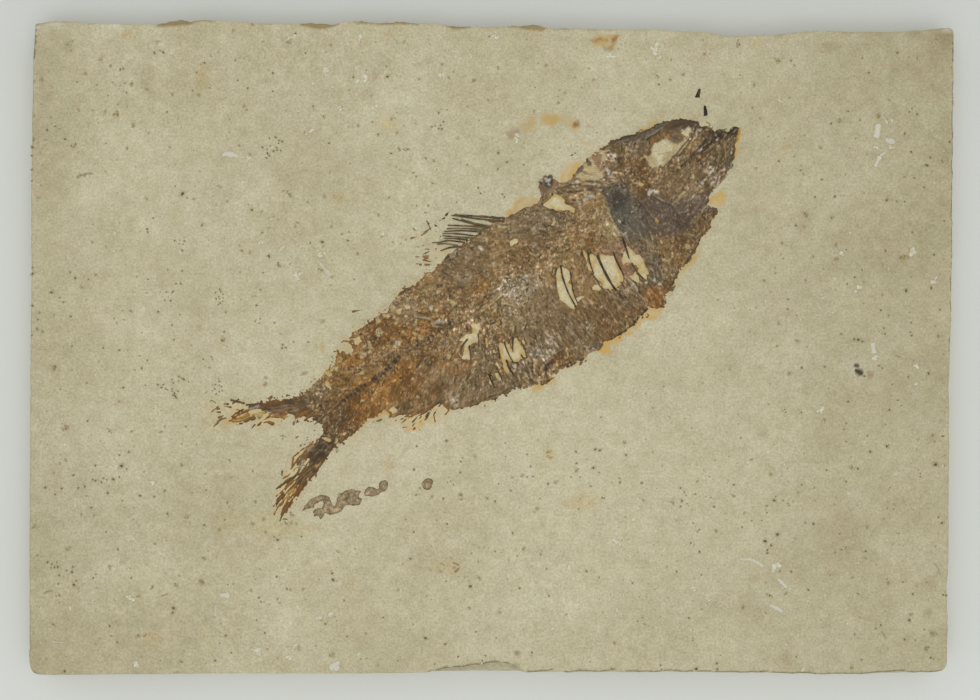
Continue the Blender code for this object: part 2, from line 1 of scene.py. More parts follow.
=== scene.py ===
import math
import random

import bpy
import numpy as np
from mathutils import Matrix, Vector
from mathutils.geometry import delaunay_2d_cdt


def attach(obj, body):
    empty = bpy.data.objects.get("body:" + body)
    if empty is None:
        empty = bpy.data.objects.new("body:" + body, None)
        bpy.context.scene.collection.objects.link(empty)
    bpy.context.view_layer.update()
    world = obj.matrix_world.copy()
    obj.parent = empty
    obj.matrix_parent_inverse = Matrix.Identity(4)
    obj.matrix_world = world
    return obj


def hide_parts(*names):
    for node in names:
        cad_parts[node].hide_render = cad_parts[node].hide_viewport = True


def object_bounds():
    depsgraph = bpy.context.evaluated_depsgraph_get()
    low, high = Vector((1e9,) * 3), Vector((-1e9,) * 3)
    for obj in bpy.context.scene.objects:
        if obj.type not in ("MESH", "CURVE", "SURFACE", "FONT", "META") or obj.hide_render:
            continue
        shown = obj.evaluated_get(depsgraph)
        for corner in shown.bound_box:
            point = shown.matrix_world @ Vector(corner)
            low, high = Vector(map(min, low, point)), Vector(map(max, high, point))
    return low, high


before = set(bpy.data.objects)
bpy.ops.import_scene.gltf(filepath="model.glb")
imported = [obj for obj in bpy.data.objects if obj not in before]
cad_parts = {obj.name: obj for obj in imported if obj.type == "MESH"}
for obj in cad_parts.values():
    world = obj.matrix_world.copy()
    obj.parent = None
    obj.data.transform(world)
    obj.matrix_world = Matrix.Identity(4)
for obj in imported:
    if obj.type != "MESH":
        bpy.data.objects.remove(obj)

# Fossil fish slab: the looks of a limestone slab with one flattened fish, three coprolites and two flakes of
# bone. Lengths are in millimetres and become metres through MM. The slab's frame has its origin at the
# middle of the underside. The fish has a frame of its own on the slab's top face: u runs forward from the
# root of the tail to the snout and v up to the back. Colours are given as 0-255 display values and become
# linear ones.

CAD_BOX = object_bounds()
MM = 0.001
THICKNESS = 11.0
TAIL_ROOT = (-40.0, -15.0)
FISH_HEADING = math.radians(34.0)
FILM_PITCH = 0.192
FILM_LOW, FILM_HIGH = (-19.5, -25.5), (115.0, 22.5)  # corners of the fish's canvas
FILM_ROOT = 0.35  # how far a fossil film's rim reaches down into the stone
NODULE_CENTRE, NODULE_RADIUS, NODULE_RISE = (71.7, 12.9), 2.3, 0.55
CREASES = 4200
BEADS, BEAD_GAP = 31, 0.95  # the dark beads of the backbone
FOLDS, FOLD_GAP = 72, 0.5  # the upright folds of the belly
FAINT_SPECKS = 2300
STAIN_PITCH = 0.25
STAIN_END = 68.7  # the slab's own stains stop here, short of the far arris
STONE_COLOUR = (188.0, 179.3, 149.5)
SPLIT_COLOUR = (175, 167, 139)  # the sides and the underside
LEDGE_COLOUR = (152, 131, 90)  # the weathered brown of the far side's ledges
BED_CREAM, BED_RUST = (200.0, 187.0, 149.0), (190.0, 167.0, 113.0)  # stone under the fish's windows

PIGMENT = {
    "ink": (52, 44, 36), "dark": (66, 55, 43), "umber": (88, 71, 50), "peat": (102, 80, 52),
    "bark": (114, 89, 57), "amber": (124, 86, 42), "honey": (130, 98, 55), "clay": (128, 102, 68),
    "moss": (122, 102, 74), "taupe": (134, 114, 84), "dun": (148, 130, 100), "slate": (96, 90, 78),
    "blue": (84, 84, 78), "plum": (93, 80, 67), "hazel": (106, 91, 68), "rust": (142, 94, 44),
    "fox": (116, 74, 38), "tan": (142, 117, 80), "sand": (184, 168, 131), "chalk": (196, 187, 153),
    "cream": (190, 172, 125), "ochre": (186, 155, 94), "gold": (196, 158, 86), "ash": (160, 156, 144),
    "white": (204, 200, 188), "rose": (142, 112, 86), "dung": (157, 138, 108),
    "bone": (156, 138, 108),
}


# ---------------------------------------------------------------- numbers

def linear(colour):
    """Display values from 0 to 255 as linear ones from 0 to 1."""
    share = np.clip(np.asarray(colour, float) / 255, 0, 1)
    return np.where(share <= 0.04045, share / 12.92, ((share + 0.055) / 1.055) ** 2.4)


def lattice(ix, iy, seed):
    """A fixed scrambled number from -1 to 1 for each lattice point."""
    n = (ix * 374761393 + iy * 668265263 + seed * 1274126177) & 0xFFFFFFFF
    n = ((n ^ (n >> 13)) * 1274126177) & 0xFFFFFFFF
    n = n ^ (n >> 16)
    return (n & 0xFFFFFF) / 0x7FFFFF - 1.0


def waves(x, y, size, seed, octaves=1, gain=0.6, stretch=1.0, turn=0.0):
    """Smooth noise of spread 1 with lumps of this size, drawn out by stretch along turn, in degrees."""
    x, y = np.asarray(x, float), np.asarray(y, float)
    total, weight, power = np.zeros(np.broadcast(x, y).shape), 1.0, 0.0
    angle = math.radians(turn)
    along = (x * math.cos(angle) + y * math.sin(angle)) / stretch
    across = y * math.cos(angle) - x * math.sin(angle)
    for k in range(octaves):
        tilt = 0.6 + 1.1 * k if stretch == 1.0 else 0.0
        px = (along * math.cos(tilt) - across * math.sin(tilt)) / size + 13.7 * k
        py = (along * math.sin(tilt) + across * math.cos(tilt)) / size - 7.3 * k
        ix, iy = np.floor(px).astype(np.int64), np.floor(py).astype(np.int64)
        fx, fy = px - ix, py - iy
        fx, fy = fx * fx * (3 - 2 * fx), fy * fy * (3 - 2 * fy)
        low = lattice(ix, iy, seed + k) * (1 - fx) + lattice(ix + 1, iy, seed + k) * fx
        high = lattice(ix, iy + 1, seed + k) * (1 - fx) + lattice(ix + 1, iy + 1, seed + k) * fx
        total += weight * (low * (1 - fy) + high * fy)
        power += weight ** 2
        weight *= gain
        size /= 2
    return total / math.sqrt(power) / 0.43


def smooth(value, low, high):
    """0 up to low and 1 from high, with an even slope between them."""
    share = np.clip((value - low) / (high - low), 0, 1)
    return share * share * (3 - 2 * share)


def inside_distance(x, y, outline):
    """How far a point lies in from a closed outline. It is negative outside."""
    nearest = np.full(x.shape, 1e9)
    inside = np.zeros(x.shape, bool)
    for (ax, ay), (bx, by) in zip(outline, outline[1:] + outline[:1]):
        dx, dy = bx - ax, by - ay
        share = np.clip(((x - ax) * dx + (y - ay) * dy) / (dx * dx + dy * dy + 1e-12), 0, 1)
        nearest = np.minimum(nearest, (x - ax - share * dx) ** 2 + (y - ay - share * dy) ** 2)
        if by != ay:
            inside ^= ((ay > y) != (by > y)) & (x < dx * (y - ay) / dy + ax)
    return np.where(inside, 1, -1) * np.sqrt(nearest)


def line_distance(x, y, points):
    """(distance from a line of points, share of its length at the nearest place)."""
    nearest, place = np.full(x.shape, 1e9), np.zeros(x.shape)
    lengths = [math.dist(a, b) for a, b in zip(points, points[1:])]
    done = 0.0
    for (ax, ay), (bx, by), length in zip(points, points[1:], lengths):
        dx, dy = bx - ax, by - ay
        share = np.clip(((x - ax) * dx + (y - ay) * dy) / (length * length), 0, 1)
        reach = (x - ax - share * dx) ** 2 + (y - ay - share * dy) ** 2
        closer = reach < nearest
        nearest = np.where(closer, reach, nearest)
        place = np.where(closer, (done + share * length) / sum(lengths), place)
        done += length
    return np.sqrt(nearest), place


def amount_along(profile, place):
    """Reads a list of (place, amount) as straight runs, and as zero past its ends."""
    places, amounts = zip(*profile)
    return np.interp(place, places, amounts, left=0.0, right=0.0)


def on_slab(u, v):
    """A point of the fish's frame in the slab's frame."""
    u, v = np.asarray(u, float), np.asarray(v, float)
    x = TAIL_ROOT[0] + u * math.cos(FISH_HEADING) - v * math.sin(FISH_HEADING)
    y = TAIL_ROOT[1] + u * math.sin(FISH_HEADING) + v * math.cos(FISH_HEADING)
    return x, y


def on_fish(x, y):
    """A point of the slab's frame in the fish's frame."""
    dx, dy = x - TAIL_ROOT[0], y - TAIL_ROOT[1]
    u = dx * math.cos(FISH_HEADING) + dy * math.sin(FISH_HEADING)
    return u, dy * math.cos(FISH_HEADING) - dx * math.sin(FISH_HEADING)


def stone_top(x, y):
    """Height of the slab's gently uneven top face."""
    rise = 0.07 * waves(x, y, 31, 5) + 0.035 * waves(x, y, 9, 6) + 0.02 * waves(x, y, 3.6, 7)
    return THICKNESS + np.clip(rise, -0.22, 0.22)


# ---------------------------------------------------------------- meshes

def add_piece(name, points, faces, node, finish, values=None):
    """A mesh object from points in millimetres. values holds its numbers and colours for each point."""
    mesh = bpy.data.meshes.new(name)
    mesh.from_pydata((np.asarray(points) * MM).tolist(), [], faces)
    mesh.polygons.foreach_set("use_smooth", np.ones(len(mesh.polygons), bool))
    for label, data in (values or {}).items():
        data = np.asarray(data, np.float32)
        if data.ndim == 2:
            layer = mesh.attributes.new(label, "FLOAT_COLOR", "POINT")
            layer.data.foreach_set("color", np.hstack([data, np.ones((len(data), 1), np.float32)]).ravel())
        else:
            layer = mesh.attributes.new(label, "FLOAT", "POINT")
            layer.data.foreach_set("value", data)
    mesh.materials.append(finish)
    mesh.update()
    obj = bpy.data.objects.new(name, mesh)
    bpy.context.scene.collection.objects.link(obj)
    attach(obj, "root")
    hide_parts(node)
    return obj


class Canvas:
    """A fine grid of points over a rectangle, on which a thin film is shaped and painted."""

    def __init__(self, low, high, pitch, ground):
        self.low, self.pitch = low, pitch
        across, up = np.arange(low[0], high[0], pitch), np.arange(low[1], high[1], pitch)
        self.u, self.v = np.meshgrid(across, up)
        self.field = np.full(self.u.shape, -9.0)
        self.lift = np.zeros(self.u.shape)
        self.paint = np.empty(self.u.shape + (3,))
        self.paint[:] = ground
        self.rag = 0.12 * waves(self.u, self.v, 1.5, 31) + 0.12 * waves(self.u, self.v, 0.7, 32, 2, 0.7)
        self.fray = waves(self.u, self.v, 0.34, 33)

    def window(self, points, margin):
        """The part of the grid that holds these points, as a pair of slices."""
        pts = np.asarray(points, float)
        low = np.floor((pts.min(0) - margin - self.low) / self.pitch).astype(int)
        high = np.ceil((pts.max(0) + margin - self.low) / self.pitch).astype(int) + 1
        low = np.maximum(low, 0)
        return slice(low[1], max(high[1], low[1] + 1)), slice(low[0], max(high[0], low[0] + 1))

    def depth(self, outline, margin=2.0):
        part = self.window(outline, margin)
        return part, inside_distance(self.u[part], self.v[part], outline)

    def add(self, outline, rag=1.0):
        """Film within an outline."""
        part, depth = self.depth(outline)
        self.field[part] = np.maximum(self.field[part], depth + rag * self.rag[part])

    def cut(self, outline, rag=0.7):
        """A place where the film has flaked off."""
        part, depth = self.depth(outline)
        self.field[part] = np.minimum(self.field[part], rag * self.rag[part] - depth)

    def add_line(self, points, width, rag=0.4, taper=0.5):
        part = self.window(points, width + 1.5)
        reach, place = line_distance(self.u[part], self.v[part], points)
        half = width / 2 * (1 - taper * place)
        self.field[part] = np.maximum(self.field[part], half - reach + rag * 0.5 * self.rag[part])

    def comb(self, outline, turn, gap, seed, pigments):
        """Splits the film within an outline into rays along turn, with gaps between them and uneven tones."""
        part, depth = self.depth(outline)
        u, v = self.u[part], self.v[part]
        inside = smooth(depth + 2 * self.rag[part], -0.3, 0.3)
        rays = waves(u, v, 0.5, seed, 2, 0.6, 8.0, turn)
        split = np.where(inside > 0.5, 0.22 * (gap - rays), 9.0)
        self.field[part] = np.minimum(self.field[part], split)
        for k, (pigment, strength) in enumerate(pigments):
            tone = waves(u, v, 0.42, seed + 3 + 2 * k, 1, 0.6, 10.0, turn)
            self.tint(part, inside * strength * smooth(tone, 0.2, 0.9), PIGMENT[pigment])

    def tint(self, part, share, colour):
        share = np.clip(share, 0, 1)[..., None]
        self.paint[part] = self.paint[part] * (1 - share) + np.asarray(colour, float) * share

    def area(self, outline, pigment, strength=1.0, soft=0.3, rag=1.0, lift=0.0):
        part, depth = self.depth(outline)
        share = smooth(depth + rag * self.rag[part], -soft, soft)
        self.tint(part, share * strength, PIGMENT[pigment])
        self.lift[part] += share * lift

    def line(self, points, width, pigment, strength=1.0, lift=0.0, taper=0.4, soft=0.14, rag=0.3):
        part = self.window(points, width + 1.0)
        reach, place = line_distance(self.u[part], self.v[part], points)
        half = width / 2 * (1 - taper * place)
        share = smooth(half - reach + rag * self.rag[part], -soft, soft)
        self.tint(part, share * strength, PIGMENT[pigment])
        self.lift[part] += lift * np.clip(1 - (reach / (half + 0.12)) ** 2, 0, 1)

    def spots(self, places, pigment, strength=1.0, soft=0.16, lift=0.0):
        """Small flecks: (u, v, radius)."""
        for u, v, radius in places:
            part = self.window([(u, v)], radius + 0.8)
            reach = np.hypot(self.u[part] - u, self.v[part] - v)
            edge = 0.8 * radius - reach + 0.7 * self.rag[part] + 0.3 * radius * self.fray[part]
            share = smooth(edge, -soft, soft)
            self.tint(part, share * strength, PIGMENT[pigment])
            self.lift[part] += lift * share


def outline_walk(codes):
    """The stops round a cell that bound its filled part: corners 0-3 and the crossings 4-7 between them."""
    stops = []
    for corner in range(4):
        here, after = codes >> corner & 1, codes >> ((corner + 1) % 4) & 1
        if here:
            stops.append(corner)
        if here != after:
            stops.append(4 + corner)
    return stops


def film_faces(field):
    """Marching squares: (corner mask, crossings across, crossings up, top faces, edge segments)."""
    filled = field > 0
    filled[0, :] = filled[-1, :] = filled[:, 0] = filled[:, -1] = False
    corner_id = np.cumsum(filled.ravel()).reshape(filled.shape) - 1
    count = int(filled.sum())
    across = filled[:, :-1] != filled[:, 1:]
    across_id = count + np.cumsum(across.ravel()).reshape(across.shape) - 1
    count += int(across.sum())
    up = filled[:-1, :] != filled[1:, :]
    up_id = count + np.cumsum(up.ravel()).reshape(up.shape) - 1
    codes = (
        filled[:-1, :-1].astype(int) + 2 * filled[:-1, 1:] + 4 * filled[1:, 1:] + 8 * filled[1:, :-1]
    )
    stops = [
        corner_id[:-1, :-1], corner_id[:-1, 1:], corner_id[1:, 1:], corner_id[1:, :-1],
        across_id[:-1, :], up_id[:, 1:], across_id[1:, :], up_id[:, :-1],
    ]
    faces, segments = [], []
    for code in range(1, 16):
        cells = codes == code
        if not cells.any():
            continue
        walk = outline_walk(code)
        faces += np.stack([stops[s][cells] for s in walk], 1).tolist()
        for a, b in zip(walk, walk[1:] + walk[:1]):
            if a > 3 and b > 3:
                segments += np.stack([stops[a][cells], stops[b][cells]], 1).tolist()
    return filled, across, up, faces, segments


def film_piece(
    name, canvas, place, thickness, floor, node, finish, extra=None, rim_rise=0.05
):
    """A closed thin film where the canvas's field is positive. place gives its points in the slab's frame."""
    field = canvas.field
    filled, across, up, faces, segments = film_faces(field.copy())
    inner = filled.sum()

    def gather(grid):
        def crossings(mask, low, high, low_field, high_field):
            share = np.clip(low_field / (low_field - high_field + 1e-9), 0.15, 0.85)[mask]
            share = share.reshape((-1,) + (1,) * (grid.ndim - 2))
            return low[mask] * (1 - share) + high[mask] * share
        return np.concatenate([
            grid[filled],
            crossings(across, grid[:, :-1], grid[:, 1:], field[:, :-1], field[:, 1:]),
            crossings(up, grid[:-1, :], grid[1:, :], field[:-1, :], field[1:, :]),
        ])

    u, v = gather(canvas.u), gather(canvas.v)
    x, y = place(u, v)
    depth = np.clip(gather(field), 0, None)
    depth[inner:] = 0
    rise = rim_rise + thickness * smooth(depth, 0, 0.45)
    rise += gather(canvas.lift) * smooth(depth, -0.1, 0.3)
    base = stone_top(x, y)
    top = np.stack([x, y, base + rise], 1)
    rim = np.unique(np.array(segments))
    below = {int(old): len(top) + i for i, old in enumerate(rim)}
    under = np.stack([x[rim], y[rim], base[rim] - floor], 1)
    for a, b in segments:
        faces.append((b, a, below[a], below[b]))
    flat_points = [(float(p), float(q)) for p, q in zip(u[rim], v[rim])]
    order = {int(old): i for i, old in enumerate(rim)}
    loops = [(order[a], order[b]) for a, b in segments]
    points, _, tiles, _, _, _ = delaunay_2d_cdt(flat_points, loops, [], 2, 1e-9)
    if len(points) != len(flat_points):
        raise RuntimeError(f"{name}: its underside has {len(points)} points for a rim of {len(flat_points)}")
    for tile in tiles:
        faces.append(tuple(len(top) + i for i in reversed(tile)))
    values = {}
    for label, grid in (extra or {}).items():
        data = gather(grid)
        values[label] = np.concatenate([data, data[rim]])
    paint = gather(canvas.paint)
    values["pigment"] = linear(np.concatenate([paint, paint[rim]]))
    return add_piece(name, np.vstack([top, under]), faces, node, finish, values)


def smooth_line(points, step):
    """The points joined by a smooth curve and read at even steps."""
    pts = np.array([points[0]] + list(points) + [points[-1]], float)
    found = []
    for p0, p1, p2, p3 in zip(pts, pts[1:], pts[2:], pts[3:]):
        count = max(2, int(np.linalg.norm(p2 - p1) / step))
        for t in np.arange(count) / count:
            found.append(0.5 * (
                2 * p1 + (p2 - p0) * t + (2 * p0 - 5 * p1 + 4 * p2 - p3) * t ** 2
                + (3 * p1 - p0 - 3 * p2 + p3) * t ** 3
            ))
    found.append(pts[-1])
    return np.array(found)


def strands(name, lines, node, finish, step=0.4, sides=6):
    """Slender bones joined in one mesh, each a closed tube: (points, radius, height of its axis, pigment)."""
    points, faces, colours = [], [], []
    for n, (line, radius, height, pigment) in enumerate(lines):
        path = smooth_line(line, step)
        run = np.gradient(path, axis=0)
        run /= np.linalg.norm(run, axis=1, keepdims=True) + 1e-9
        rings = len(path)
        place = np.linspace(0, 1, rings)
        width = radius * (1 - 0.45 * place) * (1 + 0.14 * waves(path[:, 0], path[:, 1], 0.8, 60 + n))
        width[0] *= 0.6
        width[-1] *= 0.5
        start = len(points)
        shade = 1 + 0.12 * waves(path[:, 0], path[:, 1], 0.9, 90 + n)
        for i in range(rings):
            for k in range(sides):
                turn = 2 * math.pi * (k + 0.5) / sides
                out, rise = width[i] * math.cos(turn), width[i] * math.sin(turn)
                x, y = on_slab(path[i][0] - run[i][1] * out, path[i][1] + run[i][0] * out)
                points.append((float(x), float(y), height + rise))
                colours.append(np.array(PIGMENT[pigment]) * shade[i])
        for i in range(rings - 1):
            for k in range(sides):
                a, b = start + i * sides + k, start + i * sides + (k + 1) % sides
                faces.append((a, b, b + sides, a + sides))
        faces.append(tuple(start + k for k in reversed(range(sides))))
        faces.append(tuple(start + (rings - 1) * sides + k for k in range(sides)))
    points = np.array(points)
    points[:, 2] += stone_top(points[:, 0], points[:, 1])
    return add_piece(name, points, faces, node, finish, {"pigment": linear(colours)})


# ---------------------------------------------------------------- finishes

def wire(tree, kind, inputs=None, **settings):
    """A shader node. Each input is given a value or joined to another node's output."""
    node = tree.nodes.new(kind)
    for label, value in settings.items():
        setattr(node, label, value)
    for key, value in (inputs or {}).items():
        if isinstance(value, bpy.types.NodeSocket):
            tree.links.new(value, node.inputs[key])
        else:
            node.inputs[key].default_value = value
    return node


def calc(tree, operation, a, b=0.0, clamp=False):
    return wire(tree, "ShaderNodeMath", {0: a, 1: b}, operation=operation, use_clamp=clamp).outputs[0]


def scaled_about(tree, value, middle, gain):
    """1 + gain * (value - middle)."""
    return wire(tree, "ShaderNodeMath", {0: calc(tree, "SUBTRACT", value, middle), 1: gain, 2: 1.0},
                operation="MULTIPLY_ADD").outputs[0]


def blend(tree, share, a, b, mode="MIX"):
    node = wire(tree, "ShaderNodeMix", {0: share, 6: a, 7: b}, data_type="RGBA", blend_type=mode)
    return node.outputs[2]


def tinted(tree, value, gain, warmth):
    """A factor near 1 for each colour channel. It varies with value, and most of all in the blue."""
    gains = (gain, gain * (1 + 0.15 * warmth), gain * (1 + 0.6 * warmth))
    away = calc(tree, "SUBTRACT", value, 0.5)
    node = wire(tree, "ShaderNodeVectorMath", {0: away, 1: gains, 2: (1, 1, 1)}, operation="MULTIPLY_ADD")
    return node.outputs[0]


def step_up(tree, value, low, high):
    node = wire(tree, "ShaderNodeMapRange", {"Value": value, "From Min": low, "From Max": high},
                interpolation_type="SMOOTHSTEP")
    return node.outputs[0]


def grain(tree, place, scale, detail, roughness=0.6, squeeze=None):
    """Noise with scale lumps to the millimetre."""
    if squeeze:
        place = wire(tree, "ShaderNodeVectorMath", {0: place, 1: squeeze}, operation="MULTIPLY").outputs[0]
    node = wire(tree, "ShaderNodeTexNoise", {
        "Vector": place, "Scale": scale, "Detail": detail, "Roughness": roughness,
    })
    return node.outputs["Fac"]


def new_finish(name):
    """(material, its tree, its shader, position in millimetres)"""
    made = bpy.data.materials.new(name)
    made.use_nodes = True
    tree = made.node_tree
    shader = tree.nodes["Principled BSDF"]
    spot = wire(tree, "ShaderNodeTexCoord").outputs["Object"]
    place = wire(tree, "ShaderNodeVectorMath", {0: spot, "Scale": 1000.0}, operation="SCALE").outputs[0]
    return made, tree, shader, place


def attribute(tree, name, output="Color"):
    return wire(tree, "ShaderNodeAttribute", attribute_name=name).outputs[output]


def add_bump(tree, shader, height, strength, distance):
    bump = wire(tree, "ShaderNodeBump", {"Strength": strength, "Distance": distance * MM, "Height": height})
    tree.links.new(bump.outputs[0], shader.inputs["Normal"])


def limestone():
    """Fine cream limestone: mottled, flecked, banded where it is broken across, and stained where marked."""
    made, tree, shader, place = new_finish("cream_limestone")
    broad = grain(tree, place, 0.05, 2.5)
    mid = grain(tree, place, 0.42, 3.0, 0.65)
    fine = grain(tree, place, 2.0, 2.0, 0.75)
    colour = attribute(tree, "ground")
    for value, gain, warmth in ((broad, 0.36, 1.0), (mid, 0.46, 0.9), (fine, 0.8, 0.5)):
        colour = blend(tree, 1.0, colour, tinted(tree, value, gain, warmth), "MULTIPLY")
    hue = step_up(tree, grain(tree, place, 0.12, 3.0, 0.7), 0.34, 0.66)
    tinge = blend(tree, hue, (0.987, 1.0, 0.98, 1), (1.018, 0.998, 1.006, 1))
    colour = blend(tree, 1.0, colour, tinge, "MULTIPLY")
    for scale, low, high, share, paint in (
        (1.1, 0.66, 0.76, 0.45, (152, 132, 88)),
        (0.45, 0.64, 0.72, 0.34, (160, 140, 98)),
        (1.9, 0.70, 0.78, 0.5, (120, 98, 62)),
    ):
        fleck = step_up(tree, grain(tree, place, scale, 3.0, 0.75), low, high)
        colour = blend(tree, calc(tree, "MULTIPLY", fleck, share), colour, (*linear(paint), 1))
    pale = step_up(tree, grain(tree, place, 0.75, 2.5, 0.7), 0.68, 0.80)
    colour = blend(tree, calc(tree, "MULTIPLY", pale, 0.30), colour, (*linear((205, 200, 178)), 1))
    side = attribute(tree, "side", "Fac")
    strata = grain(tree, place, 1.0, 4.0, 0.7, (0.035, 0.035, 1.5))
    banded = blend(tree, 1.0, colour, scaled_about(tree, strata, 0.5, 1.1), "MULTIPLY")
    rusty = step_up(tree, grain(tree, place, 1.0, 3.0, 0.7, (0.05, 0.05, 0.9)), 0.57, 0.72)
    banded = blend(tree, calc(tree, "MULTIPLY", rusty, 0.5), banded, (*linear((168, 146, 100)), 1))
    colour = blend(tree, side, colour, banded)
    mark = attribute(tree, "mark", "Fac")
    ragged = calc(tree, "MULTIPLY", calc(tree, "SUBTRACT", fine, 0.5), 1.1)
    edge = calc(tree, "MULTIPLY", mark, calc(tree, "SUBTRACT", 1.0, mark))
    share = calc(tree, "ADD", mark, calc(tree, "MULTIPLY", ragged, calc(tree, "MULTIPLY", edge, 4.0)), True)
    colour = blend(tree, share, colour, attribute(tree, "pigment"))
    tree.links.new(colour, shader.inputs["Base Color"])
    tree.links.new(scaled_about(tree, mid, 1.62, 0.35), shader.inputs["Roughness"])
    shader.inputs["Specular IOR Level"].default_value = 0.25
    height = calc(tree, "ADD", fine, calc(tree, "MULTIPLY", mid, 1.6))
    height = calc(tree, "ADD", height, calc(tree, "MULTIPLY", calc(tree, "MULTIPLY", strata, side), 3.0))
    add_bump(tree, shader, height, 0.55, 0.12)
    return made


def fibres(tree, place):
    """Fine bony grain. It runs along the rays where the attribute "lay" says so, and is even elsewhere."""
    value = grain(tree, place, 3.2, 2.0, 0.7)
    shares = wire(tree, "ShaderNodeSeparateColor", {0: attribute(tree, "lay")}).outputs
    for share, degrees in zip(shares, (90, 146, 30)):
        turn = wire(tree, "ShaderNodeVectorRotate", {
            "Vector": place, "Angle": -FISH_HEADING - math.radians(degrees),
        }, rotation_type="Z_AXIS").outputs[0]
        drawn = grain(tree, turn, 3.2, 2.0, 0.7, (0.22, 1.0, 1.0))
        value = calc(tree, "ADD", value, calc(tree, "MULTIPLY", share, calc(tree, "SUBTRACT", drawn, value)))
    return value


def fossil_finish(name, roughness, gloss_gain, contrast, bump):
    """Fossil bone or dung: its own paint, with a fine grain, uneven sheen and a pitted surface."""
    made, tree, shader, place = new_finish(name)
    fine = fibres(tree, place)
    mid = grain(tree, place, 1.3, 2.0, 0.6)
    colour = blend(tree, 1.0, attribute(tree, "pigment"), tinted(tree, fine, contrast, 0.5), "MULTIPLY")
    colour = blend(tree, 1.0, colour, scaled_about(tree, mid, 0.5, contrast * 0.3), "MULTIPLY")
    tree.links.new(colour, shader.inputs["Base Color"])
    sheen = wire(tree, "ShaderNodeMath", {0: calc(tree, "SUBTRACT", mid, 0.5), 1: gloss_gain, 2: roughness},
                 operation="MULTIPLY_ADD").outputs[0]
    tree.links.new(sheen, shader.inputs["Roughness"])
    shader.inputs["Specular IOR Level"].default_value = 0.15
    add_bump(tree, shader, calc(tree, "ADD", fine, mid), bump, 0.1)
    return made


def floor_finish():
    made, tree, shader, place = new_finish("pale_paper")
    tone = scaled_about(tree, grain(tree, place, 0.02, 2.0), 0.5, 0.03)
    # Painted shade: the paper is painted darker towards the far side, beyond the slab
    far = wire(tree, "ShaderNodeSeparateXYZ", {0: place}).outputs[1]
    paper_and_painted_shade = [(*linear(shade), 1) for shade in ((217, 219, 216), (205, 207, 204))]
    colour = blend(tree, 1.0, blend(tree, step_up(tree, far, 40.0, 104.0), *paper_and_painted_shade), tone, "MULTIPLY")
    tree.links.new(colour, shader.inputs["Base Color"])
    shader.inputs["Roughness"].default_value = 0.95
    shader.inputs["Specular IOR Level"].default_value = 0.1
    add_bump(tree, shader, grain(tree, place, 1.5, 2.0), 0.15, 0.05)
    return made


# ---------------------------------------------------------------- slab

NEAR_EDGE = [
    (-99.4, -71.1), (-97.6, -71.2), (-90, -71.2), (-80, -71.1), (-70, -71.1), (-60, -70.9), (-50, -70.9),
    (-40, -70.9), (-30, -70.9), (-20, -70.8), (-14, -70.7), (-8, -70.5), (-3, -70.4), (2, -70.5),
    (5.5, -70.4), (8, -70.7), (14, -70.6), (22, -70.6), (29, -70.7), (36, -70.6), (44, -70.6), (52, -70.7),
    (62, -70.8), (72, -70.95), (80, -71.0), (88, -70.8), (97, -70.5),
]
RIGHT_EDGE = [
    (98.3, -70.2), (99.1, -69.5), (99.4, -68), (99.5, -60), (99.5, -55.5), (99.3, -52), (99.6, -49),
    (99.7, -40), (99.8, -25), (99.8, -12), (99.9, -4), (100.2, 6), (100.4, 20), (100.5, 35), (100.5, 50),
    (100.6, 62),
]
FAR_EDGE = [
    (100.65, 69.3), (100.2, 69.9), (98, 69.9), (94, 69.4), (86, 69.05), (79, 69.2), (74, 69.35), (68, 69.2),
    (64.5, 68.7), (58, 68.4), (52, 68.1), (50, 68.5), (47.5, 69.05), (40, 69.3), (36, 69.6), (30, 69.5),
    (24, 69.8), (18, 70.0), (13.5, 69.9), (11.5, 70.3), (9.5, 70.8), (6.5, 70.95), (4.5, 70.7), (2.5, 70.2),
    (-1, 70.1), (-5, 70.4), (-9.5, 70.7), (-14, 70.95), (-20, 71.5), (-25, 71.2), (-28.5, 71.6),
    (-33, 71.0), (-38, 71.15), (-40.3, 71.3), (-42, 70.9), (-50, 70.9), (-55, 71.3), (-58, 71.6),
    (-63, 71.8), (-65.5, 71.6), (-68, 71.9), (-70.5, 71.5), (-73, 70.8), (-80, 70.8), (-88, 71.1),
    (-95, 71.5), (-99.3, 71.1),
]
LEFT_EDGE = [
    (-99.7, 69.5), (-99.9, 64), (-100.2, 50), (-100.4, 32), (-100.4, 14), (-100.6, -5), (-100.7, -26),
    (-100.8, -45), (-100.8, -60), (-100.8, -67), (-100.6, -69.4), (-100.2, -70.5),
]
# Stone lost from the top arris and from the bottom one: (place along the side, amount)
NEAR_SPALLS = [
    (-14, 0), (-11, 0.6), (-8, 0.9), (-4, 1.3), (0, 1.8), (3.0, 1.9), (5.0, 1.4), (6.4, 0.4), (7.6, 0),
    (10, 0.1), (13, 0.4), (16, 0), (23.5, 0), (26.5, 0.6), (29, 0), (36, 0), (38, 0.3), (41, 0), (44, 0),
    (46, 0.3), (48, 0), (82, 0), (86, 0.4), (90, 0.2), (93, 0),
]
FAR_LEDGES = [
    (-99.6, 0.2), (-96, 0.1), (-94, 0), (-90, 0), (-88, 0.15), (-86, 0), (-73.5, 0), (-71.5, 0.6),
    (-68.2, 1.25), (-66, 0.6), (-64.8, 0.2), (-61, 0.15), (-59, 0), (-42, 0), (-40.5, 0.8), (-37.4, 1.2),
    (-35, 0.7), (-33, 0), (-30.6, 0), (-29.4, 0.35), (-25, 0.2), (-21.5, 0.4), (-16, 0.2), (-15, 0),
    (-10.8, 0), (-7.8, 0.65), (-5, 0.3), (-4, 0), (3, 0), (5, 0.7), (7.8, 1.05), (10.6, 0.8), (12, 0.15),
    (26, 0.12), (28, 0), (74, 0), (78, 0.15), (84, 0),
]
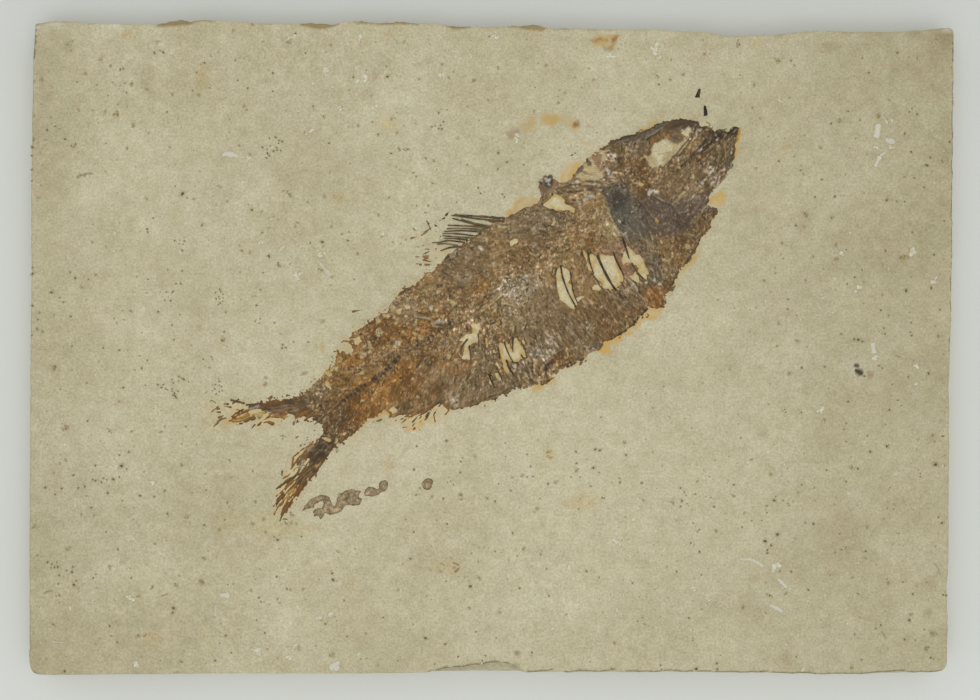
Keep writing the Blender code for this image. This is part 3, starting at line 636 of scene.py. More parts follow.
RIGHT_SPALLS = [(-58, 0), (-56, 0.3), (-52, 0.2), (-50, 0), (-11, 0), (-8.2, 0.5), (-5.6, 0)]
LEFT_SPALLS = [(64, 0), (70, 0.3)]
NEAR_UNDERCUT = [(-80, 0), (-68, 1.6), (-55, 0.4), (-40, 0), (22, 0), (34, 1.1), (48, 0)]
FAR_UNDERCUT = [(-60, 0), (-46, 1.3), (-30, 0), (40, 0), (58, 1.8), (70, 0.5), (84, 0)]
RIGHT_UNDERCUT = [(10, 0), (26, 1.2), (38, 0)]
LEFT_UNDERCUT = [(-44, 0), (-30, 1.4), (-12, 0)]
# (run of points, axis it runs along, inward direction, losses above and below, roughness of the broken face)
SIDES = [
    (NEAR_EDGE, 0, (0, 1), NEAR_SPALLS, NEAR_UNDERCUT, 0.10),
    (RIGHT_EDGE, 1, (-1, 0), RIGHT_SPALLS, RIGHT_UNDERCUT, 0.07),
    (FAR_EDGE, 0, (0, -1), FAR_LEDGES, FAR_UNDERCUT, 0.30),
    (LEFT_EDGE, 1, (1, 0), LEFT_SPALLS, LEFT_UNDERCUT, 0.07),
]
# Shares of the loss above and below at each height of the side, and the wear of its two arrises
LOSS_ABOVE = [(9.3, 0.0), (9.8, 0.06), (10.2, 0.30), (10.55, 0.70), (10.8, 0.90), (11.0, 1.0)]
LOSS_BELOW = [(0.0, 1.0), (0.5, 0.85), (2.0, 0.0)]
ARRIS_WEAR = [
    (0.0, 0.35), (0.15, 0.2), (0.5, 0.07), (2.0, 0.0), (9.8, 0.0), (10.2, 0.02), (10.55, 0.05),
    (10.8, 0.10), (10.93, 0.17), (11.0, 0.27),
]
RING_HEIGHTS = [
    0.0, 0.15, 0.5, 1.1, 1.8, 2.5, 3.2, 3.9, 4.6, 5.3, 6.0, 6.7, 7.4, 8.1, 8.7, 9.3, 9.55, 9.8, 10.2, 10.55,
    10.8, 10.93, 11.0,
]
ACROSS, UP = 269, 191  # points along the long and short sides

# Soft discoloured patches of the top face: (x, y, half width, half height, pigment, strength)
PATCHES = [
    (-75, 59, 2.0, 3.0, "dun", 0.30), (-63, 59, 1.6, 2.4, "ochre", 0.28), (-95, 68, 2.4, 1.2, "dun", 0.25),
    (-92, 66, 1.0, 1.8, "dun", 0.35), (-97, 54.5, 1.8, 1.2, "dun", 0.35),
    (-79.5, 68.4, 1.2, 0.7, "ochre", 0.5), (-83.5, 67, 1.4, 0.6, "dun", 0.3), (-96, 36, 4, 5, "dun", 0.14),
    (-98, 62, 2.5, 9, "dun", 0.12), (-25.5, 59.3, 0.9, 1.8, "rose", 0.3),
    (-22.2, 68.3, 0.8, 1.4, "ochre", 0.3), (-33, 33, 2.0, 1.3, "ochre", 0.25), (-36, 38, 6, 5, "dun", 0.10),
    (-22.5, 49, 2.2, 1.4, "ochre", 0.3), (-15.2, 61.6, 1.6, 0.5, "dun", 0.35),
    (-13.3, 63, 2.0, 0.9, "dun", 0.22), (-44, 38, 4, 5, "rose", 0.10), (-6, 57, 4, 3, "rose", 0.08),
    (73.5, 65.8, 2.6, 1.3, "dun", 0.42), (92, 61, 4, 3, "dun", 0.16), (96.5, 64, 2.6, 1.8, "dun", 0.32),
    (99, 67.5, 2.0, 2.4, "taupe", 0.38), (96, 67, 4, 3, "dun", 0.2), (92.5, 68.4, 1.6, 0.6, "dun", 0.4),
    (99, 42, 1.0, 2.2, "dun", 0.35), (98, 37, 1.6, 0.5, "dun", 0.3), (83.3, 42, 1.4, 1.0, "dun", 0.3),
    (95, -51.5, 2.0, 1.8, "dun", 0.35), (95, -57.3, 0.9, 1.0, "taupe", 0.35),
    (96.3, -19, 1.4, 0.8, "dun", 0.35), (97.5, -6, 2.4, 1.4, "dun", 0.28),
    (59, -18.5, 1.4, 0.9, "dun", 0.3), (64.3, -67.5, 1.3, 2.2, "dun", 0.35),
    (73, -60, 1.1, 1.2, "dun", 0.3), (56, -58, 4.5, 4.5, "dun", 0.16), (57, -50, 1.4, 0.9, "dun", 0.3),
    (49, -56.5, 1.2, 1.8, "dun", 0.26), (21, -33, 2.6, 1.8, "ochre", 0.26),
    (18, -34, 2.2, 1.6, "ochre", 0.2), (12.5, -23, 1.3, 1.6, "ochre", 0.3), (77, -42, 6, 8, "dun", 0.14),
    (94, -32, 5, 7, "dun", 0.12), (-92.5, -17, 1.4, 1.0, "dun", 0.4), (-95.5, -4.2, 1.3, 0.7, "dun", 0.3),
    (-90, 5, 7, 3, "rose", 0.07), (-74, -63, 1.6, 1.4, "ochre", 0.3), (-80.4, -46, 1.0, 1.0, "dun", 0.3),
    (-63.4, -51, 0.9, 0.9, "dun", 0.3), (-58, -38, 3.0, 3.0, "ochre", 0.10),
    (-49, -38.5, 4.5, 3.5, "ochre", 0.14), (-30, -51.3, 1.6, 0.8, "ochre", 0.2),
    (-22.6, -25.5, 1.5, 1.6, "ochre", 0.22), (-41, -39.8, 3.0, 2.0, "ochre", 0.12),
    (-60.5, -15, 3.5, 4.5, "ochre", 0.15), (55.1, -22, 0.8, 0.8, "dun", 0.35),
    (68, 28, 2.4, 3.4, "dun", 0.26), (64, 44, 1.5, 1.2, "ochre", 0.25), (67, 12, 7, 9, "dun", 0.10),
    (84, 18, 8, 3, "dun", 0.08), (-12, -47.5, 2.2, 1.2, "ochre", 0.2), (78, 56, 6, 5, "dun", 0.08),
    (12, 58, 9, 6, "dun", 0.05), (57.9, 66.3, 1.2, 0.8, "ochre", 0.35), (79, -3, 3.6, 3.2, "white", 0.16),
    (-88.5, 32.6, 2.0, 1.2, "white", 0.16), (-62, -63.5, 1.8, 3.0, "cream", 0.2),
    (-44, 20.5, 3.5, 1.6, "white", 0.12), (-41, 38, 2.6, 2.2, "white", 0.10),
    (-91, 28, 4, 2, "white", 0.10), (79.2, 68.4, 1.2, 1.0, "white", 0.34),
    (-1, 48.3, 2.4, 1.0, "white", 0.12), (43, -69, 1.6, 1.2, "white", 0.2),
    (99.3, 69.4, 1.5, 0.45, "white", 0.55), (71.7, 69.0, 1.1, 0.4, "white", 0.4),
    (-59.5, -69.6, 5, 0.6, "white", 0.12), (-98.6, 70.4, 0.8, 0.5, "white", 0.5),
    (6, 42, 1.6, 1.0, "white", 0.18), (86, -68, 1.6, 0.9, "white", 0.14),
    (97, -68.6, 1.6, 1.0, "white", 0.10), (-83, 70.2, 2.2, 0.5, "white", 0.35),
    (-1, -68.8, 5.2, 0.9, "taupe", 0.16), (5.2, -69.2, 1.1, 0.8, "umber", 0.25),
    (-95.8, 70.6, 2.6, 0.55, "white", 0.5), (-82, 70.4, 1.8, 0.35, "white", 0.4),
    (-6, -69.6, 3.5, 0.5, "taupe", 0.16), (-12, -70, 2.5, 0.4, "taupe", 0.14),
]


def stone_ground(x, y):
    """The stone's colour before its grain, with soft patches: palest in the middle, and darker and browner
    towards the edges, most of all to the right, which is painted fall-off of the light.
    """
    x, y = np.asarray(x, float), np.asarray(y, float)
    # Painted shade: darker and browner towards the edges and corners, a painted fall-off of the light, with a
    # little random tone
    tone_and_painted_falloff = 11 * smooth(x, 25, 105) + 7 * smooth(-x, 78, 101) + 3 * smooth(y, 35, 72) + 3 * smooth(-y, 50, 72)
    tone_and_painted_falloff += 4 * smooth(-x, 40, 90) * smooth(-y, 0, 45)
    tone_and_painted_falloff += 4 * smooth(x, 60, 100) * smooth(y, 30, 70) - 2.5 * smooth(-np.hypot(x + 5, y + 20), -60, 0)
    tone_and_painted_falloff += 1.3 * waves(x, y, 16, 3, 2)
    colour = np.array(STONE_COLOUR) - tone_and_painted_falloff[..., None] * np.array([1.0, 1.03, 1.05])
    for px, py, wide, tall, pigment, strength in PATCHES:
        reach = np.hypot((x - px) / wide, (y - py) / tall)
        share = strength * np.exp(-(reach / 0.95) ** 3)[..., None]
        colour = colour * (1 - share) + np.array(PIGMENT[pigment]) * share
    u, v = on_fish(x, y)
    bed = 0.9 * smooth(inside_distance(u, v, FISH_OUTLINE), -0.2, 0.8)[..., None]
    rusty = smooth(waves(u, v, 1.6, 23, 2), 0.5, 1.9)[..., None]
    cream = np.array(BED_CREAM) * (1 - rusty) + np.array(BED_RUST) * rusty
    return colour * (1 - bed) + cream * bed


def side_points(run, start, end, count, axis, inward, above, below):
    """Even points along one side with their inward direction and the stone lost above and below."""
    line = np.array([start] + run + [end], float)
    reach = np.concatenate([[0], np.cumsum(np.linalg.norm(np.diff(line, axis=0), axis=1))])
    marks = np.linspace(0, reach[-1], count)
    points = np.stack([np.interp(marks, reach, line[:, k]) for k in (0, 1)], 1)
    inwards = np.tile(np.array(inward, float), (count, 1))
    return points, inwards, amount_along(above, points[:, axis]), amount_along(below, points[:, axis])


def slab_rings():
    """The slab's outline at each height, as an array of rings."""
    runs = [side[0] for side in SIDES]
    corners = [(np.array(runs[i - 1][-1]) + np.array(runs[i][0])) / 2 for i in range(4)]
    parts = []
    for i, (run, axis, inward, above, below, rough) in enumerate(SIDES):
        count = ACROSS if axis == 0 else UP
        points, inwards, top_loss, low_loss = side_points(
            run, tuple(corners[i]), tuple(corners[(i + 1) % 4]), count, axis, inward, above, below
        )
        inwards[0] += np.array(SIDES[i - 1][2])
        parts.append((points[:-1], inwards[:-1], top_loss[:-1], low_loss[:-1], np.full(count - 1, rough)))
    base, inwards, top_loss, low_loss, rough = (np.concatenate([p[k] for p in parts]) for k in range(5))
    along = np.cumsum(np.linalg.norm(np.roll(base, 1, 0) - base, axis=1))
    rings = []
    for height in RING_HEIGHTS:
        wear = np.interp(height, *zip(*ARRIS_WEAR)) * (1 + 0.35 * waves(along, height * 0, 2.2, 41, 2))
        layer = 0.5 + 0.5 * lattice(np.array([int(height * 1.7)]), np.array([3]), 9)[0]
        uneven = rough * (0.5 + 0.5 * layer) * np.abs(waves(along, along * 0 + height * 0.8, 2.6, 43, 3))
        uneven *= smooth(np.full(1, height), 0.1, 0.8)[0] * smooth(np.full(1, 11.2 - height), 0.2, 1.4)[0]
        chips = 0.12 * smooth(waves(along, along * 0, 1.3, 47, 2), 0.9, 2.2)
        chips *= smooth(np.full(1, height), 9.7, 10.8)[0]
        inset = top_loss * np.interp(height, *zip(*LOSS_ABOVE), left=0) + wear + uneven + chips
        inset = inset + low_loss * np.interp(height, *zip(*LOSS_BELOW), right=0)
        rings.append(base + inwards * inset[:, None])
    return np.array(rings)


def coons(near, right, far, left):
    """A grid filled in between four sides. All run in the direction of increasing x or y."""
    s = np.linspace(0, 1, len(near))[None, :, None]
    t = np.linspace(0, 1, len(right))[:, None, None]
    ruled = (1 - t) * near[None] + t * far[None] + (1 - s) * left[:, None] + s * right[:, None]
    corner = (1 - s) * (1 - t) * near[0] + s * (1 - t) * near[-1] + (1 - s) * t * far[0] + s * t * far[-1]
    return ruled - corner


def ring_grid(ring):
    """The indices of a ring's points along the edge of a grid of UP rows and ACROSS columns."""
    a, b = ACROSS - 1, UP - 1
    total = 2 * (a + b)
    near = np.arange(0, a + 1)
    right = np.arange(a, a + b + 1)
    far = np.arange(a + b, 2 * a + b + 1)[::-1]
    left = (np.arange(2 * a + b, total + 1) % total)[::-1]
    return near, right, far, left


def build_slab(finish):
    """The slab as one closed mesh: a fine top face, layered sides and a coarser underside."""
    rings = slab_rings()
    count = rings.shape[1]
    points = []
    for height, ring in zip(RING_HEIGHTS, rings):
        share = smooth(np.full(1, height), 8, 11)[0]
        level = height + share * (stone_top(ring[:, 0], ring[:, 1]) - THICKNESS)
        points.append(np.column_stack([ring, level]))
    faces = []
    around = np.arange(count)
    for i in range(len(rings) - 1):
        low, high = i * count, (i + 1) * count
        after = (around + 1) % count
        faces += np.stack([low + around, low + after, high + after, high + around], 1).tolist()
    near, right, far, left = ring_grid(rings[-1])
    side_ids = len(rings) * count

    def fill(ring, first, step, level_of):
        nonlocal side_ids
        patch = coons(ring[near], ring[right], ring[far], ring[left])[::step, ::step]
        rows, columns = patch.shape[:2]
        ids = np.full((rows, columns), -1)
        ids[0, :], ids[-1, :] = first + near[::step], first + far[::step]
        ids[:, 0], ids[:, -1] = first + left[::step], first + right[::step]
        inner = patch[1:-1, 1:-1].reshape(-1, 2)
        ids[1:-1, 1:-1] = np.arange(side_ids, side_ids + len(inner)).reshape(rows - 2, columns - 2)
        side_ids += len(inner)
        points.append(np.column_stack([inner, level_of(inner[:, 0], inner[:, 1])]))
        tiles = np.stack([ids[:-1, :-1], ids[:-1, 1:], ids[1:, 1:], ids[1:, :-1]], -1)
        if step == 1:
            faces.extend(tiles.reshape(-1, 4).tolist())
            return
        for j in range(rows - 1):
            for i in range(columns - 1):
                tile = [int(k) for k in tiles[j, i]]
                walk = []
                edges = (
                    (j == 0, near, i), (i == columns - 2, right, j), (j == rows - 2, far, i), (i == 0, left, j),
                )
                for corner, (on_edge, line, k) in zip(tile, edges):
                    walk.append(corner)
                    if on_edge:
                        walk.append(int(first + line[k * step + 1]))
                faces.append(tuple(reversed(walk)))

    fill(rings[-1], (len(rings) - 1) * count, 1, stone_top)
    top_end = side_ids
    fill(rings[0], 0, 2, lambda x, y: 0.12 + 0.1 * np.clip(waves(x, y, 14, 71, 3), -1.2, 1.5))
    points = np.vstack(points)
    points = np.clip(points, np.array(CAD_BOX[0]) / MM, np.array(CAD_BOX[1]) / MM)
    ground = stone_ground(points[:, 0], points[:, 1])
    height = points[:, 2]
    side = np.zeros(len(points))
    rim = np.arange(len(points)) < len(rings) * count
    side[rim] = smooth(10.5 - height[rim], 0.0, 1.4)
    under = np.arange(len(points)) >= top_end
    ground[under | (rim & (height < 9.0))] = SPLIT_COLOUR
    loss = amount_along(FAR_LEDGES, rings[0][:, 0]) * (rings[0][:, 1] > 60)
    brown = np.zeros(len(points))
    brown[rim] = smooth(np.tile(loss, len(rings)), 0.04, 0.3)
    patchy = height - 7.6 + 1.5 * waves(points[:, 0], points[:, 1] + height, 2.2, 53, 3, 0.8)
    share = (brown * (height > 5.0) * smooth(patchy, 0.0, 2.2) * 0.85)[:, None]
    ground = ground * (1 - share) + np.array(LEDGE_COLOUR) * share
    # Painted shade: the arris of the left side is painted a little darker
    left_arris = rim & (np.abs(height - 10.8) < 0.3) & (points[:, 0] < -97)
    ground[left_arris] *= 0.96
    # Painted shade: the steep broken face of the chip in the near side is painted a little darker
    chip = rim & (height > 9.5) & (points[:, 1] < -66) & (np.abs(points[:, 0] + 3) < 10)
    ground[chip] *= 0.95
    values = {
        "ground": linear(ground), "pigment": linear(ground), "side": side, "mark": np.zeros(len(points)),
    }
    return add_piece("limestone_slab_stone", points, faces, "limestone_slab", finish, values)


# ---------------------------------------------------------------- fish

# Outline of the flattened fish, from the lower jaw over the back to the tail and along the belly
FISH_OUTLINE = [
    (113.2, 0.3), (112.4, 0.8), (111.1, 0.6), (110.7, 1.4), (109.6, 2.0), (108.4, 2.5), (107.9, 3.7),
    (106.7, 4.9), (106.4, 5.9), (105.2, 7.2), (103.8, 8.5), (102.0, 9.7), (100.2, 10.4), (98.0, 10.7),
    (96.0, 10.8), (94.2, 11.5), (92.4, 11.8), (90.4, 12.4), (88.4, 13.1), (86.9, 12.7), (85.4, 13.4),
    (83.9, 12.8), (82.0, 12.8), (80.8, 12.1), (79.3, 12.4), (78.0, 11.5), (76.4, 10.7), (74.9, 11.0),
    (73.8, 12.4), (73.3, 13.9), (71.9, 14.8), (70.4, 14.4), (69.6, 13.2), (69.1, 11.8), (67.3, 11.0),
    (65.0, 11.3), (62.0, 11.8), (59.5, 12.4), (56.5, 12.6), (53.0, 12.4), (49.5, 12.5), (46.0, 12.3),
    (43.5, 12.0), (41.0, 11.8), (39.9, 11.2), (38.8, 12.0), (37.6, 11.2), (35.5, 11.2), (32.8, 11.4),
    (30.4, 10.8), (28.5, 10.3), (27.2, 9.5), (25.2, 10.1), (23.4, 9.5), (21.0, 9.9), (18.7, 10.4),
    (17.2, 9.4), (16.7, 7.4), (15.6, 6.0), (14.9, 7.0), (13.4, 8.6), (12.2, 7.6), (11.2, 5.8), (9.2, 6.2),
    (6.5, 5.6), (3.6, 5.0), (0.2, 5.1), (-1.6, 5.8), (-3.2, 6.8), (-4.8, 7.7), (-6.6, 8.4), (-8.6, 9.6),
    (-9.8, 10.2), (-11.4, 12.4), (-13.0, 12.4), (-15.2, 14.0), (-15.0, 12.4), (-12.7, 10.6), (-14.8, 9.0),
    (-12.2, 7.3), (-9.4, 6.0), (-10.4, 4.5), (-7.6, 3.2), (-5.2, 2.6), (-2.8, 2.5), (-3.2, 1.1),
    (-0.9, 0.6), (0.5, -0.4), (0.8, -1.8), (1.9, -3.1), (0.5, -4.8), (-2.0, -5.2), (-4.8, -4.9),
    (-8.0, -5.5), (-9.8, -6.9), (-11.8, -7.4), (-12.2, -8.6), (-14.8, -9.7), (-16.6, -11.2), (-18.0, -13.3),
    (-16.0, -12.9), (-16.2, -13.9), (-17.7, -15.4), (-15.6, -14.6), (-12.6, -13.4), (-9.4, -12.3),
    (-7.0, -11.4), (-4.6, -10.8), (-2.4, -9.8), (0.2, -8.9), (2.2, -8.1), (5.6, -8.8), (7.6, -8.3),
    (10.4, -7.8), (12.4, -8.3), (14.6, -8.0), (15.4, -10.8), (17.8, -12.0), (16.0, -13.2), (19.0, -13.8),
    (16.8, -15.4), (20.4, -15.3), (22.6, -16.5), (23.6, -14.9), (25.4, -14.4), (26.4, -15.9), (28.0, -16.6),
    (30.0, -17.8), (33.0, -18.6), (36.0, -19.4), (39.0, -20.0), (41.8, -20.2), (43.0, -21.6), (45.0, -22.0),
    (47.0, -23.0), (51.0, -22.4), (54.0, -22.7), (56.8, -23.0), (59.6, -22.5), (61.0, -23.5), (62.6, -22.8),
    (66.0, -23.2), (70.0, -23.1), (72.0, -22.5), (74.8, -21.8), (77.0, -23.5), (78.4, -22.8), (80.4, -21.2),
    (83.0, -20.0), (85.2, -19.1), (87.6, -18.3), (90.0, -17.4), (92.9, -15.3), (94.4, -15.5), (96.2, -14.4),
    (99.4, -12.4), (98.1, -10.2), (99.2, -9.1), (101.0, -8.5), (103.2, -8.2), (105.4, -7.3), (107.6, -6.2),
    (109.2, -4.6), (110.6, -3.0), (113.0, -1.0),
]

# Windows where the film has flaked off and the stone shows
WINDOWS = {
    "nape": [
        (68.3, 9.6), (70.2, 10.0), (71.8, 10.4), (72.8, 9.2), (72.4, 7.4), (73.7, 5.3), (73.0, 4.7),
        (71.8, 6.0), (70.1, 7.0), (69.2, 8.2),
    ],
    "flank": [(57.6, 6.2), (57.9, 7.1), (58.9, 7.2), (59.6, 6.5), (58.9, 6.0)],
    "ribs_back": [
        (62.6, -3.5), (63.6, -3.6), (64.3, -3.7), (65.0, -5.2), (64.9, -5.9), (64.0, -7.2), (63.3, -7.5),
        (63.9, -8.2), (63.4, -9.8), (63.0, -11.2), (64.4, -11.4), (64.5, -11.9), (62.9, -12.0),
        (62.3, -12.6), (61.7, -12.2), (61.4, -13.1), (61.0, -12.6), (60.3, -10.9), (59.9, -9.4),
        (60.2, -7.8), (61.0, -6.1), (61.9, -4.6),
    ],
    "ribs_middle": [
        (70.8, -4.6), (71.5, -5.4), (71.9, -6.2), (73.1, -6.3), (74.9, -8.1), (74.9, -9.4), (74.5, -12.0),
        (74.2, -12.8), (73.6, -13.8), (72.4, -14.2), (71.0, -14.0), (70.2, -13.9), (69.6, -13.2),
        (69.2, -12.4), (69.5, -11.2), (69.0, -10.2), (68.9, -9.2), (69.5, -8.0), (69.9, -6.6),
    ],
    "ribs_front": [
        (78.6, -7.4), (78.7, -8.6), (79.1, -10.6), (79.7, -11.0), (79.7, -12.6), (79.3, -14.0),
        (79.0, -15.5), (78.6, -15.0), (78.0, -13.8), (77.8, -12.4), (77.2, -12.1), (77.3, -10.8),
        (78.0, -9.0),
    ],
    "ribs_rear": [
        (43.7, -9.9), (44.3, -10.4), (44.9, -10.8), (45.6, -11.2), (45.0, -12.4), (45.3, -12.8),
        (46.2, -11.1), (47.4, -11.1), (47.2, -14.2), (46.8, -15.8), (46.4, -15.6), (46.2, -15.0),
        (45.8, -15.5), (44.8, -15.6), (43.9, -15.3), (43.4, -14.4), (42.9, -13.6), (42.3, -15.0),
        (41.9, -16.6), (41.2, -16.3), (41.2, -14.8), (41.8, -13.4), (42.4, -12.2), (43.0, -11.0),
    ],
    "hind": [
        (40.6, -3.2), (41.2, -3.1), (42.3, -4.0), (42.0, -4.8), (41.2, -5.0), (40.3, -6.6), (39.4, -7.5),
        (39.7, -6.6), (38.2, -6.7), (37.6, -7.0), (36.9, -8.6), (36.2, -9.5), (35.8, -8.8), (35.0, -8.4),
        (36.2, -7.0), (36.8, -6.3), (35.2, -7.0), (35.8, -6.2), (37.2, -5.4), (36.6, -4.4), (38.0, -4.1),
        (39.4, -4.7), (40.0, -5.2), (40.3, -4.2),
    ],
}
# Parts of the tail and the anal fin that are broken up into separate rays, so the solid film stops there
BROKEN = [
    [
        (-9.9, 10.8), (-9.4, 9.4), (-9.9, 8.4), (-8.6, 7.8), (-7.6, 7.2), (-7.6, 5.9), (-6.4, 5.2),
        (-7.0, 4.4), (-4.6, 3.6), (-3.0, 2.9), (-2.2, 1.9), (-3.6, 0.3), (-20, 0.3), (-20, 18), (-9.8, 14),
    ],
    [
        (-4.0, -4.0), (-4.2, -5.4), (-6.4, -6.0), (-8.0, -7.6), (-9.0, -8.6), (-13.4, -8.9), (-14.2, -9.8),
        (-12.6, -10.2), (-15.8, -11.0), (-16.8, -12.4), (-15.2, -12.9), (-17.4, -14.4), (-17.6, -15.6),
        (-19, -18), (-20, -18), (-20, -4), (-8, -3.6),
    ],
    [
        (15.2, -10.4), (18.4, -11.4), (20.0, -12.8), (22.6, -13.4), (25.4, -13.6), (26.2, -14.6),
        (26.0, -17.4), (14.6, -17.0), (14.6, -11.0),
    ],
    [(13.6, 9.2), (14.3, 8.2), (15.4, 6.6), (16.2, 6.8), (16.6, 8.6), (16.2, 9.4), (15.0, 9.6)],
]
# Film split into rays: (outline, direction of the rays in degrees, how narrow the gaps are, seed, tones)
COMBED = [
    (
        [
            (-5.4, -5.6), (-8, -7.0), (-13, -8.6), (-16.8, -11.2), (-18.4, -15.8), (-13, -14.2),
            (-8.6, -12.4), (-6.0, -10.6), (-4.8, -9.2),
        ],
        26, 0.55, 301, (("fox", 0.8), ("gold", 0.7), ("umber", 0.7), ("ochre", 0.5), ("rust", 0.5)),
    ),
    (
        [(-0.4, -4.9), (-5.0, -4.7), (-8.8, -5.4), (-9.6, -7.2), (-6.4, -6.6), (-3.4, -6.1), (-0.6, -5.6)],
        8, 0.9, 311, (("rust", 0.6), ("sand", 0.6), ("fox", 0.6)),
    ),
    (
        [(0.6, -5.6), (-5.0, -6.2), (-5.6, -8.6), (-3.0, -9.2), (1.0, -8.2)], 8, 3.5, 321,
        (("umber", 0.5), ("ink", 0.4), ("moss", 0.35)),
    ),
    (
        [(0.8, 2.6), (0.4, 4.6), (-6.6, 8.2), (-8.0, 6.6), (-4.4, 4.2), (-2.0, 3.0)], 151, 3.5, 331,
        (("umber", 0.6), ("dark", 0.5), ("rose", 0.4)),
    ),
    (
        [(-1.4, 2.6), (-2.6, 4.0), (-7.6, 6.6), (-7.4, 4.4), (-4.4, 2.8)], 151, 1.0, 341,
        (("rose", 0.6), ("sand", 0.6), ("umber", 0.5)),
    ),
]
# More flaked-off places
FLAKED = [
    # between the ribs
    [(60.9, -5.6), (61.5, -4.8), (61.2, -4.9), (60.7, -5.9)],
    [(62.0, -4.0), (63.0, -2.9), (62.4, -3.0), (61.7, -4.0)],
    [(69.9, -3.1), (70.4, -3.8), (70.0, -4.9), (69.4, -6.8), (69.0, -8.1), (68.7, -7.4), (69.2, -5.4)],
    [(67.0, -11.2), (67.8, -10.9), (68.7, -11.4), (68.7, -12.5), (68.1, -12.8), (67.4, -12.0)],
    [(71.6, -14.0), (72.0, -14.9), (71.8, -15.0), (71.4, -14.2)],
    [(72.6, -13.9), (72.9, -14.6), (73.1, -13.8)],
    [
        (75.4, -10.9), (75.6, -9.8), (76.6, -9.2), (77.5, -8.6), (77.3, -10.0), (77.2, -12.0),
        (76.6, -11.2), (76.0, -11.0),
    ],
    [(75.1, -13.6), (76.9, -13.6), (76.7, -14.8), (76.4, -16.0), (75.9, -16.3), (75.3, -14.8)],
    [(77.4, -13.8), (77.9, -13.6), (78.2, -15.2), (77.9, -16.4), (77.6, -15.2)],
    # behind them
    [(39.5, -8.0), (40.3, -6.9), (40.0, -7.6), (39.6, -8.2)],
    [(40.7, -9.4), (41.2, -9.2), (42.1, -7.6), (41.8, -7.2), (41.0, -8.3)],
    [(41.3, -10.9), (41.7, -11.0), (42.2, -9.2), (41.8, -9.0)],
    [(40.2, -13.1), (41.0, -13.0), (40.9, -14.5), (40.3, -14.7)],
    [(40.2, -14.8), (40.7, -15.0), (40.6, -16.1), (40.2, -16.0)],
    [(39.1, -14.5), (39.7, -15.1), (40.0, -15.0), (39.7, -16.9), (38.9, -16.9), (38.9, -15.6)],
    [(37.7, -13.7), (38.1, -13.8), (38.0, -15.4), (37.3, -16.5), (37.0, -16.2)],
    [(38.3, -13.8), (38.6, -13.7), (38.6, -14.9), (38.3, -15.0)],
    [(47.9, -12.2), (48.4, -12.0), (48.3, -13.5), (47.9, -13.9)],
    [(36.2, -10.7), (37.3, -10.2), (37.4, -10.5), (36.6, -10.9)],
    [(45.3, -6.0), (46.2, -5.8), (46.2, -6.2), (45.4, -6.4)], [(46.7, -6.6), (47.2, -5.9), (47.2, -6.4)],
    # elsewhere
    [(67.4, 5.0), (68.3, 5.9), (68.7, 5.2), (67.8, 4.6)],
    [(28.5, 8.5), (29.6, 8.9), (30.4, 8.3), (29.6, 7.3), (28.8, 7.5)],
    [(30.9, 8.6), (32.2, 7.9), (31.8, 7.0), (30.9, 7.4)],
    [(29.6, 6.6), (30.6, 6.8), (30.5, 6.0), (29.6, 5.9)], [(32.6, 7.4), (33.6, 7.0), (33.0, 6.5)],
    [(17.2, 7.4), (17.8, 8.6), (19.0, 8.4), (19.0, 7.2), (18.0, 6.9)],
    [(15.4, -8.6), (16.8, -8.4), (17.0, -9.6), (15.8, -9.9)],
    [(12.2, -8.2), (13.6, -8.0), (15.0, -8.4), (15.2, -9.4), (13.6, -9.4)],
    [(6.9, 4.0), (7.8, 4.5), (8.4, 3.7), (7.7, 2.4), (7.0, 3.2)],
    [(4.0, -7.0), (5.2, -7.1), (5.0, -7.9), (4.2, -7.9)],
    [(0.1, -5.4), (0.7, -5.8), (1.4, -6.8), (1.0, -7.2), (0.4, -6.3)],
]
